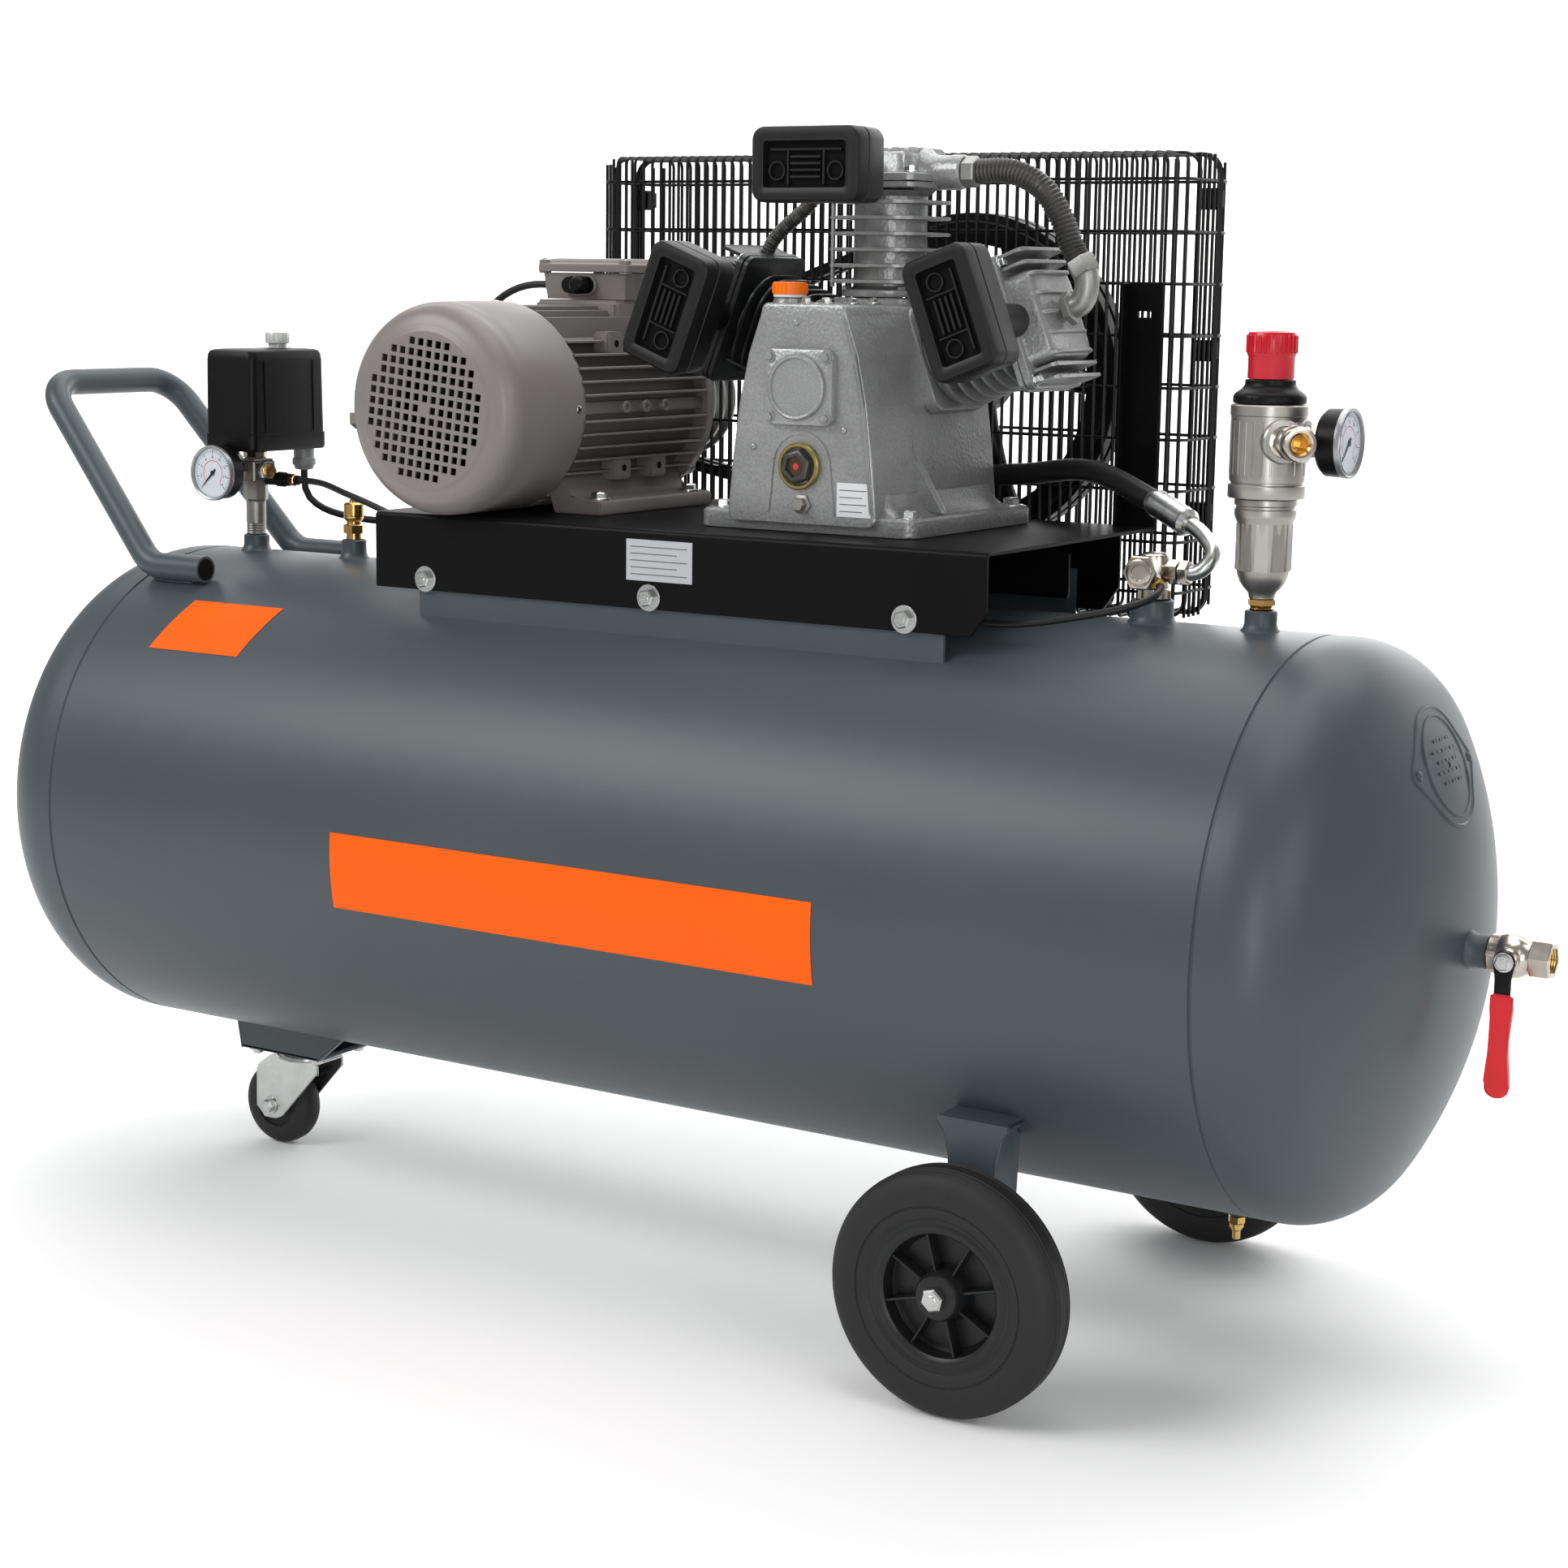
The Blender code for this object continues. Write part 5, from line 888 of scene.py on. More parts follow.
def build_pressure_switch():
    base = SWITCH_BASE
    stand = Piece("switch_stand")
    foot, side = (SWITCH_X, 0, base), (SWITCH_X, -0.014, 0.65)
    stand.turn(threads(0.0092, 0.012), 32, "steel_dull", foot)
    stand.turn(mm(9, 10, 9.2, 13, 9.2, 38, 0, 38), 32, "steel_dull", foot)
    cone = mm(9.2, 30, 11.6, 33, 12, 41, 11, 49, 10, 54, 9.2, 66.4, 10, 66.4, 10, 78.4, 0, 78.4)
    stand.turn(cone, 8, "steel_dull", foot, bevel=0.0006)
    tee = block((SWITCH_X - 0.0125, -0.0155, 0.6385), (SWITCH_X + 0.0125, 0.0155, 0.6608))
    stand.add(tee, "steel_dull", bevel=0.0025, steps=3)
    stand.turn(mm(6, 0, 6, 24.3, 0, 24.3), 20, "steel_dull", side, -Y)
    stand.turn(mm(8.5, 1, 8.5, 9, 7, 10), 6, "nickel", side, -Y)
    spare = at((SWITCH_X + 0.012, -0.006, 0.6515), (0.9, -0.43, 0))
    stand.turn(mm(6.2, 0, 7, 10, 8.4, 10.8, 8.4, 19, 6.4, 19.6, 0, 19.6), 6, "nickel", spare)
    stand.turn(mm(5.8, 19.6, 4, 20.4, 0, 20.4), 20, "brass", spare)
    arm = at((SWITCH_X + 0.008, 0.006, base + 0.052), X)
    stem = mm(6, 0, 6, 15, 7, 15.6, 7, 23.5, 6, 24.2, 6, 29, 4.6, 29.6, 4.6, 39.8, 0, 39.8)
    stand.turn(stem, 20, "plastic_black", arm)
    stand.turn(mm(4.8, 30, 5.6, 30.6, 5.6, 36, 4.6, 37), 6, "brass", arm)
    stand.turn(mm(10, 0, 11.2, 0.6, 11.2, 5, 9.8, 5.6), 8, "nickel", (SWITCH_X, 0, 0.662))
    stand.done(replaces=["switch_manifold"])

    box = Piece("switch_cover")
    x0, x1, y0, y1, z0, z1 = -0.538, -0.476, -0.038, 0.066, 0.669, 0.763
    x, half_x = (x0 + x1) / 2, (x1 - x0) / 2
    levels = [(z0 + z, s) for z, s in mm(0.4, 1.2, 3, 0, 16, 0.1, 16.5, 1)]
    levels += [(z1 - z, s) for z, s in mm(10, 1.6, 4.5, 2.2, 1.8, 3.6, 0.6, 6.4, 0, 12)]
    box.add(soft_box(half_x, (y1 - y0) / 2, 0.007, 7, levels, (x, (y0 + y1) / 2)), "plastic_black")
    for side in (-1, 1):
        for y in (y0 + 0.019, y1 - 0.019):
            seam = block((x + side * (half_x - 0.0012), y - 0.0005, z0 + 0.018),
                (x + side * (half_x - 0.0003), y + 0.0005, z1 - 0.01))
            box.add(seam, "plastic_black", bevel=0.0002, steps=1)
    lip = block((x0 + 0.008, y0 - 0.0002, z0 - 0.003), (x1 - 0.024, y0 + 0.008, z0 + 0.002))
    box.add(lip, "plastic_black", bevel=0.001)
    box.turn(mm(15, 0, 15, 1, 13.5, 1.4, 12.8, 0.2), 32, "plastic_black", (x, 0.032, z1 - 0.0012))
    gland = (-0.488, 0.045, 0.649)
    box.turn(mm(0, 0, 4.5, 0, 8.4, 0.8, 9.4, 3, 9.4, 5), 32, "grey_plastic", gland)
    box.turn(mm(9.4, 4.5, 11.2, 5, 11.2, 10.8, 9.6, 11.4), 12, "grey_plastic", gland)
    box.turn([(0.0096, 0.0108), (0.0098, 0.0225)], 32, "grey_plastic", gland)
    box.turn(mm(1.4, 0, 1.4, 0.3, 0, 0.3), 12, "white_vinyl", (x1 - 0.0006, 0.02, z0 + 0.009), X)
    box.done(replaces=["switch_housing"])

    knob = Piece("start_button")
    where = at((x, 0.032, z1))
    turn = mm(8.6, 0.3, 8.6, 4, 11, 4.6, 11.3, 6, 11.3, 13.5, 10.5, 14.8, 7.5, 15, 7, 13.8, 0, 13.8)
    knob.turn(turn, 40, "clear_knob", where)
    knob.ribs(16, (0.0108, -0.0006, 0.0055), (0.0115, 0.0006, 0.014), "clear_knob", where)
    knob.done("start_knob", ["switch_knob"])


def build_safety_valve():
    valve = Piece("relief_valve")
    where = at((SAFETY_X, 0, 0.5923))
    valve.turn(mm(7, 0, 7, 5.5, 0, 5.5), 24, "brass", where)
    valve.turn(mm(6, 5, 10.2, 5.6, 10.2, 12.8, 9.2, 13.6, 6.8, 13.8), 6, "brass", where)
    upper = mm(6.8, 13.6, 6.4, 16, 8.2, 17.6, 9.2, 19.6, 9.2, 21, 8.6, 21.4, 9.2, 22, 9.2, 32, 7.8, 33.2, 4,
        34, 3.4, 35.2, 3.4, 36.6, 0, 36.6)
    valve.turn(upper, 32, "brass", where)
    # Near-black discs mark the vent holes: painted shade inside them.
    for k in range(6):
        valve.turn(mm(0, 0, 1.2, 0, 0, 0.1), 10, "painted_shade_inside", where @ Matrix.Rotation(k * math.tau / 6, 4,
            "Z") @ at((0.00905, 0, 0.025), X))
    path = [(0.0048 * math.cos(t), 0, 0.0335 + 0.0035 * math.sin(t)) for t in [math.tau * i / 20
        for i in range(20)]]
    valve.add(sweep(path, 0.0007, 8, closed=True), "zinc", where)
    valve.done(replaces=["safety_valve"])


def build_check_valve():
    valve = Piece("non_return_valve")
    base = CHECK_BASE
    body = mm(12.8, 0, 13.4, 0.8, 13.4, 7.8, 12.2, 8.5, 11.6, 12, 11.6, 32, 10.6, 34.5, 8, 35.9, 0, 36)
    valve.turn(body, 32, "nickel", (CHECK_X, 0, base))
    valve.turn(mm(11, 0.2, 14.6, 0.6, 14.6, 7, 11.8, 8), 6, "nickel", (CHECK_X, 0, base))
    z = base + 0.022
    cap = mm(10, 4, 10, 14, 14.6, 15, 14.8, 15.8, 14.8, 26.2, 13.6, 27.6, 9, 28)
    valve.turn(cap, 6, "nickel", (CHECK_X, 0, z), -Y)
    disc = mm(10.8, 27.8, 10.5, 29, 8.5, 29.6, 6, 29.6, 5.5, 28.6, 0, 28.6)
    valve.turn(disc, 32, "nickel", (CHECK_X, 0, z), -Y)
    branch = mm(8, 6, 8, 12.5, 9.4, 13, 9.4, 21.4, 8, 21.9, 0, 21.9)
    valve.turn(branch, 6, "nickel", (CHECK_X, 0, z), X)
    side = mm(4.6, 6, 4.6, 13.5, 5.8, 13.9, 5.8, 20, 3.4, 21.8, 0, 21.9)
    valve.turn(side, 6, "brass", (CHECK_X, 0, base + 0.012), (0.6, -0.8, 0))
    valve.done(replaces=["check_valve"])


def build_regulator():
    base = 0.5913
    bowl = Piece("filter_bowl")
    where = at((REG_X, 0, base))
    bowl.turn(threads(0.0088, 0.0105), 32, "brass", where)
    shape = mm(8.6, 8, 10, 9, 10.4, 12, 11.8, 14, 14.6, 17, 17.4, 21, 19.2, 26, 20.2, 33, 20.6, 40, 21, 66,
        22.8, 70, 23.2, 72.2, 23.2, 76.2, 22.2, 77, 22.2, 78.6, 23.4, 79.6, 23.4, 83.8, 0, 83.8)
    bowl.turn(shape, 64, "nickel_satin", where)
    bowl.ribs(10, (0.018, -0.0052, 0.03), (0.02085, 0.0052, 0.0665), "nickel_satin", where, bevel=0.0007,
        steps=2)
    bowl.turn(mm(8.5, 3, 11.2, 3.6, 11.2, 7.8, 9.6, 8.4), 6, "brass", where)
    bowl.done(replaces=["regulator_bowl"])

    z = base + 0.084 + GAP
    body = Piece("regulator_case")
    where = at((REG_X, 0, z))
    shape = mm(24, 0.2, 28.5, 0.6, 29, 1.4, 29, 10, 28.4, 10.8, 26.8, 11, 26.8, 12.4, 28, 12.8, 28.3, 16,
        28.3, 60, 28.4, 62, 29, 62.6, 29, 69.6, 28, 70.6, 0, 70.8)
    body.turn(shape, 72, "nickel_satin", where)
    body.ribs(26, (0.0278, -0.0007, 0.018), (0.0286, 0.0007, 0.0585), "nickel_satin", where, start=0.5,
        bevel=0.0003)
    port = Vector((REG_X, 0, z + 0.044))
    for axis, reach in ((X, 0.0445), (OUTLET, 0.0358)):
        body.turn(mm(16.5, 24, 16.5, 30, 15.6, 31.2, 12, 31.8), 32, "nickel_satin", port, axis)
        body.turn([(0.012, 0.031), (0.0092, 0.0322), (0.009, reach), (0, reach)], 32, "nickel", port, axis)
    body.turn(mm(9, 33, 11.8, 33.5, 11.8, 41.5, 9, 42), 6, "nickel", port, X)
    body.done(replaces=["regulator_body"])

    coupling = Piece("quick_coupling")
    where = at(port + OUTLET * 0.0363, OUTLET)
    coupling.turn(mm(6.2, 0, 11.8, 0.4, 11.8, 7.2, 10.5, 8), 6, "nickel", where)
    sleeve = mm(10.5, 7.8, 12.2, 9, 13.2, 11, 12.6, 12.5, 13.3, 14, 12.6, 15.5, 13.3, 17, 13.3, 24, 12.4,
        25.6, 10, 26, 8.5, 25.2)
    coupling.turn(sleeve, 40, "nickel", where)
    coupling.turn(mm(8.5, 25.2, 7, 23.5, 6.2, 10, 0, 10), 32, "brass", where)
    coupling.done(replaces=["outlet_coupling"])

    top_z = z + 0.071 + GAP
    bonnet = Piece("regulator_cap")
    where = at((REG_X, 0, top_z))
    shape = mm(27, 0.1, 27.5, 1, 27.5, 5, 26.4, 7, 24, 9, 21.5, 10.5, 19.6, 13, 19, 14.5, 19, 17.2, 18.2,
        17.8, 0, 17.8)
    bonnet.turn(shape, 56, "plastic_black", where)
    bonnet.ribs(30, (0.0266, -0.0008, 0.0008), (0.0275, 0.0008, 0.0052), "plastic_black", where)
    bonnet.done(replaces=["regulator_bonnet"])
    knob = Piece("regulator_handwheel")
    where = at((REG_X, 0, top_z + 0.0183))
    shape = mm(17.2, 0, 17.5, 0.8, 17.5, 16, 18, 17.2, 18.4, 18, 18.4, 32.5, 17.4, 34.5, 14.7, 35.2, 13.7,
        34.5, 0, 34.5)
    knob.turn(shape, 56, "red_plastic", where)
    knob.ribs(26, (0.0175, -0.0011, 0.019), (0.0194, 0.0011, 0.0325), "red_plastic", where, bevel=0.0005)
    knob.done("pressure_knob", ["regulator_knob"])
    return port.z


# ---- motor ---------------------------------------------------------------------
def build_motor():
    cover = Piece("fan_cowl")
    outer = mm(0, 0, 64, 0, 66.2, 0.4, 67.6, 1.6, 70, 2.2, 76, 4, 81.2, 7.2, 85.2, 11.8, 87.8, 17.2, 89,
        23.5, 89.3, 30, 89.3, 40, 89.5, 41, 89.5, 104.5, 87.9, 105)
    inner = mm(87.9, 30, 86.2, 18, 83.8, 12.8, 80, 8.6, 75.4, 5.6, 69, 3.6, 65.5, 1.6, 0, 1.6)
    holes = []
    pitch, half = 0.0092, 0.003
    for a in [i * pitch for i in range(-8, 9)]:
        for b in [k * pitch for k in range(-8, 9)]:
            if 0.004 <= math.hypot(a, b) <= 0.06:
                hole = block((a - half, b - half, -0.01), (a + half, b + half, 0.01))
                hole.transform(Matrix.Rotation(math.radians(7), 4, "Z"))
                holes.append(hole)
    cover.add(cut_part(lathe(outer + inner, 96), [merged(holes)]), "motor_grey",
        at((MOTOR_X, -0.15, MOTOR_Z), Y))
    for t in [math.radians(turn) for turn in (0, 90, 180, 270)]:
        way = Vector((math.cos(t), 0, math.sin(t)))
        cover.screw(Vector((MOTOR_X, -0.0525, MOTOR_Z)) + way * (FAN_R - 0.0014), way, 0.004)
    fitting = mm(6, 0, 6, 8, 8.8, 8.6, 8.8, 15, 6.2, 15.6, 6.2, 19.6, 9.8, 20.2, 9.8, 28.2, 6.6, 29, 5.2,
        28.6, 0, 27)
    cover.turn(fitting, 6, "nickel", (MOTOR_X - FAN_R + 0.002, -0.1, 0.7097), -X)
    cover.done(replaces=["fan_cover"])

    motor = Piece("motor_case")
    core, envelope, fin_y, y1 = 0.0745, 0.0885, -0.04, 0.154
    # The core between the fins takes the darker copy of the motor grey: painted shade between the fins.
    motor.turn(mm(15, 0, 74.5, 0, 74.5, 198, 15, 198), 96, "motor_grey_painted_shade", (MOTOR_X, -0.044, MOTOR_Z), Y,
        closed=True)

    def fin(sign, offset, upright):
        reach = math.sqrt(envelope ** 2 - offset ** 2)
        if upright and sign > 0:
            reach = min(reach, 0.086)
        low, high = sorted((sign * (math.sqrt(core ** 2 - offset ** 2) - 0.003), sign * reach))
        thin = (offset - 0.0011, offset + 0.0011)
        (x0, x1), (z0, z1) = (thin, (low, high)) if upright else ((low, high), thin)
        motor.add(block((MOTOR_X + x0, fin_y, MOTOR_Z + z0), (MOTOR_X + x1, y1, MOTOR_Z + z1)),
            "motor_grey", bevel=0.0005, steps=1)

    for sign in (-1, 1):
        for k in range(-5, 6):
            if k:
                fin(sign, k * 0.0112, False)
        for k in range(-4, 5):
            fin(sign, k * 0.0112, True)
        # The side strips between the fin rows take the same darker copy: painted shade between the fins.
        strip = sorted((MOTOR_X + sign * (core - 0.002), MOTOR_X + sign * (core + 0.0075)))
        motor.add(block((strip[0], fin_y, MOTOR_Z - 0.0052), (strip[1], y1, MOTOR_Z + 0.0052)),
            "motor_grey_painted_shade", bevel=0.001)
        for y in (0.022, 0.052, 0.082):
            boss = mm(5.6, 0, 5.6, 12.5, 5, 13.3, 2.6, 13.3, 2.6, 10, 0, 10)
            motor.turn(boss, 24, "motor_grey", (MOTOR_X + sign * (core - 0.001), y, MOTOR_Z), sign * X)
        pad = sorted((MOTOR_X + sign * 0.056, MOTOR_X + sign * 0.0735))
        for y, z in ((0.012, 0.054), (0.024, -0.054), (0.066, 0.054), (0.078, -0.054)):
            motor.add(block((pad[0], y, MOTOR_Z + z - 0.01), (pad[1], y + 0.024, MOTOR_Z + z + 0.01)),
                "motor_grey", bevel=0.002)
            # Near-black disc at each pad's bolt hole: painted shade inside the hole.
            motor.turn(mm(3, 0, 3, 0.4, 0, 0.4), 16, "painted_shade_inside", (MOTOR_X + sign * 0.0735, y + 0.012,
                MOTOR_Z + z), sign * X)
    flange = mm(30, 0, 80, 0, 87.5, 0.4, 88.8, 1.6, 88.8, 9.5, 87.5, 11, 84, 11.8, 82, 12.2, 60, 16.5, 40,
        18, 32, 21.5, 24, 21.8, 22, 21.8, 15, 20, 15, 0)
    motor.turn(flange, 96, "motor_grey", (MOTOR_X, 0.146, MOTOR_Z), Y, closed=True)
    front = mm(60, 0, 84, 0, 84.8, 1, 84.8, 8, 82, 9.5, 60, 9.5)
    motor.turn(front, 96, "motor_grey", (MOTOR_X, -0.0446, MOTOR_Z), Y, closed=True)
    for t in [math.radians(turn) for turn in (45, 135, 225, 315)]:
        spot = Vector((MOTOR_X + 0.0835 * math.cos(t), 0.146, MOTOR_Z + 0.0835 * math.sin(t)))
        motor.turn(mm(7.2, 0, 7.2, 12.5, 6.2, 13.5, 0, 13.5), 24, "motor_grey", spot, Y)
        motor.bolt(spot + Y * 0.0134, Y, 0.0042, 0.0036)
    saddle = block((MOTOR_X - 0.045, 0.064, MOTOR_Z + 0.058), (MOTOR_X + 0.045, 0.166, MOTOR_Z + 0.0903))
    motor.add(saddle, "motor_grey", bevel=0.003, steps=3)
    outline = mm(100, 632.5, 100, 642, 98.5, 644.5, 74.5, 645, 69, 648, 56, 669, 52, 672, 36, 672, 47, 650,
        50, 632.5)
    for side in (-1, 1):
        foot = facing([(MOTOR_X + side * a, b) for a, b in outline], -0.136, 0.036)
        motor.add(foot, "motor_grey", bevel=0.0012)
        for y in (-0.02, 0.118):
            motor.bolt((MOTOR_X + side * 0.0865, y, 0.6448), Z, 0.0068, 0.0048, turn=y * 7)
    motor.done(replaces=["motor_frame"])

    box = Piece("junction_box")
    middle = (MOTOR_X, 0.12)
    box.add(soft_box(0.0475, 0.045, 0.005, 5, mm(0, 3.5, 4, 3.2, 22, 1.4, 23.2, 1), middle, BOX_Z),
        "motor_grey")
    lid = mm(24, 0.4, 24.6, 0, 30, 0, 31, 0.8, 32.2, 5.2, 35, 7.5, 35.8, 10, 36.1, 15)
    box.add(soft_box(0.0502, 0.0478, 0.007, 6, lid, middle, BOX_Z), "motor_grey")
    for sx in (-1, 1):
        for sy in (-1, 1):
            x, y = MOTOR_X + sx * 0.044, 0.12 + sy * 0.0415
            box.turn(mm(5.5, 0, 5.5, 11.5, 4.8, 12.2, 0, 12.2), 20, "motor_grey", (x, y, BOX_Z + 0.0225))
            box.screw((x, y, BOX_Z + 0.0335), Z, 0.0034)
    port_z = BOX_Z + 0.0125
    hole = rounded(0.016, 0.0072, 0.007, 8)
    recess = prism(rounded(0.0185, 0.0095, 0.0093, 8), 0.0, 0.003, hole)
    where = at((MOTOR_X - 0.004, 0.0775, port_z), -Y)
    box.add(recess, "motor_grey", where, bevel=0.0006, steps=1)
    # Near-black fill behind the cable port opening: painted shade inside the box.
    box.add(prism(hole, 0.0, 0.0012), "painted_shade_inside", where)
    gland = mm(7.2, 0, 7.2, 6, 8.2, 6.8, 8.2, 12, 6.6, 14.5, 4.8, 15.8, 0, 15.8)
    box.turn(gland, 24, "plastic_black", (MOTOR_X + 0.002, 0.075, port_z), -Y)
    box.turn(mm(7, 0, 7, 5, 0, 5.4), 24, "plastic_black", (MOTOR_X - 0.0135, 0.076, port_z), -Y)
    side = mm(10.4, 0, 10.4, 3.5, 9.6, 4.5, 9.6, 10, 7.4, 13.5, 5, 15.2, 0, 15.2)
    box.turn(side, 12, "plastic_black", (MOTOR_X - 0.0453, 0.105, port_z), -X)
    box.done(replaces=["terminal_box"])


def build_rotor():
    shaft = Piece("rotor")
    y0 = -0.0447
    profile = mm(0, -28, 10.5, -28, 12, -26.5, 12, 30, 48, 30, 48, 170, 12, 170, 12, 295.5, 10.8, 297, 0,
        297)
    shaft.turn(profile, 48, "steel_dull", (MOTOR_X, y0, MOTOR_Z), Y)
    shaft.bolt((MOTOR_X, y0 + 0.2965, MOTOR_Z), Y, 0.006, 0.004)
    groove = mm(12.5, 0, 52, 0, 54, 1.2, 54, 4, 48.5, 8.5, 48.5, 12.5, 54, 17, 54, 21, 48.5, 25.5, 48.5,
        29.5, 54, 34, 54, 36.8, 52, 38, 44, 38, 42, 30, 22, 30, 20, 38, 12.5, 38)
    shaft.turn(groove, 72, "cast_raw", (MOTOR_X, 0.208, MOTOR_Z), Y, closed=True)
    shaft.done("motor_rotor", ["motor_shaft", "motor_pulley"])
    fan = Piece("fan_rotor")
    where = at((MOTOR_X, -0.12, MOTOR_Z), Y)
    hub = mm(12.5, 0, 24, 0, 25.5, 1.5, 26.2, 29, 33, 30.8, 74.5, 30.8, 75, 31.4, 75, 33.5, 74.5, 34, 12.5,
        34)
    fan.turn(hub, 64, "plastic_black", where, closed=True)
    for k in range(6):
        blade = block((0.0245, -0.001, 0.004), (0.077, 0.001, 0.0315))
        fan.add(blade, "plastic_black", where @ Matrix.Rotation(math.tau * k / 6, 4, "Z"), bevel=0.0006,
            steps=1)
    fan.done("motor_rotor", ["cooling_fan"])


# ---- belt drive ----------------------------------------------------------------
def build_flywheel():
    wheel = Piece("drive_pulley")
    where = at((CRANK_X, 0.208, CRANK_Z), Y)
    rim = mm(117, 2, 135.5, 0, 137, 1.2, 137, 4, 130, 8.5, 130, 12.5, 137, 17, 137, 21, 130, 25.5, 130,
        29.5, 137, 34, 137, 36.8, 135.5, 38, 117, 36, 119, 20)
    wheel.turn(rim, 120, "wire_black", where, closed=True)
    hub = mm(14.8, 0, 27, 0, 30, 3, 31, 18, 30, 35, 27, 38, 14.8, 38)
    wheel.turn(hub, 48, "wire_black", where, closed=True)
    for k in range(5):
        turn = where @ Matrix.Rotation(math.tau * k / 5, 4, "Z")
        sections = []
        for r, wide, thick in ((0.026, 0.0125, 0.0085), (0.045, 0.0098, 0.0068), (0.09, 0.0082, 0.0058),
                (0.112, 0.0105, 0.007), (0.119, 0.0145, 0.0085)):
            ring = rounded(wide, thick, min(thick * 0.8, wide * 0.6), 3)
            sections.append([(r, a, 0.018 + b) for a, b in ring])
        wheel.add(stack(sections), "wire_black", turn)
    wheel.bolt((CRANK_X, 0.2535, CRANK_Z), Y, 0.0085, 0.005, washer=1.5)
    wheel.done("drive_wheel", ["flywheel"])
    shaft = Piece("crank_shaft")
    front = mm(0, 0, 13.5, 0, 14.5, 1, 14.5, 32, 36, 32, 36, 44, 0, 44)
    shaft.turn(front, 40, "steel_dull", (CRANK_X, 0.01, CRANK_Z), Y)
    tail = mm(0, 0, 36, 0, 36, 12, 14.5, 12, 14.5, 163, 13.5, 164, 0, 164)
    shaft.turn(tail, 40, "steel_dull", (CRANK_X, 0.09, CRANK_Z), Y)
    shaft.turn(mm(0, 0, 11, 0, 11, 48, 0, 48), 32, "steel_dull", (CRANK_X, 0.048, CRANK_Z + 0.0205), Y)
    shaft.done("drive_wheel", ["crankshaft"])


def belt_path(extra):
    """Outline of a belt around both pulleys; extra is how far it stands off their outer radii."""
    apart = Vector((CRANK_X - MOTOR_X, CRANK_Z - MOTOR_Z))
    tilt = math.degrees(math.atan2(apart.y, apart.x))
    lean = math.degrees(math.asin((FLYWHEEL_R - PULLEY_R) / apart.length))
    big = arc((CRANK_X, CRANK_Z), FLYWHEEL_R + extra, tilt - 90 - lean, tilt + 90 + lean, 72)
    small = arc((MOTOR_X, MOTOR_Z), PULLEY_R + extra, tilt + 90 + lean, tilt + 270 - lean, 28)
    return big + small


def build_belt():
    belts = Piece("vee_belts")
    for y in (0.2185, 0.2355):
        section = mm(-6.2, 5.5, 6.2, 5.5, 4.2, -3.8, -4.2, -3.8)
        rings = [[(a, y + dy, b) for a, b in belt_path(lift + 0.0012)] for dy, lift in section]
        belts.add(stack(rings, loop=True), "rubber_hose", bevel=0.0006, steps=1)
    belts.done(replaces=["v_belt"])


def around_openings(path, openings):
    """The runs of a path that stay out of round openings seen along Y, which are given from left to right."""
    runs, run = [], [Vector(path[0])]
    for a, b in zip(path, path[1:]):
        a, b = Vector(a), Vector(b)
        along = Vector((b.x - a.x, b.z - a.z))
        length = along.length
        for x, z, radius in openings:
            if length < 2 * radius:
                continue
            centre = Vector((x - a.x, z - a.z))
            middle = centre.dot(along) / length
            off = centre.length_squared - middle ** 2
            if off >= radius ** 2 or not 0 < middle < length:
                continue
            half = math.sqrt(radius ** 2 - off)
            run.append(a.lerp(b, (middle - half) / length))
            runs.append(run)
            run = [a.lerp(b, (middle + half) / length)]
        run.append(b)
    return runs + [run]


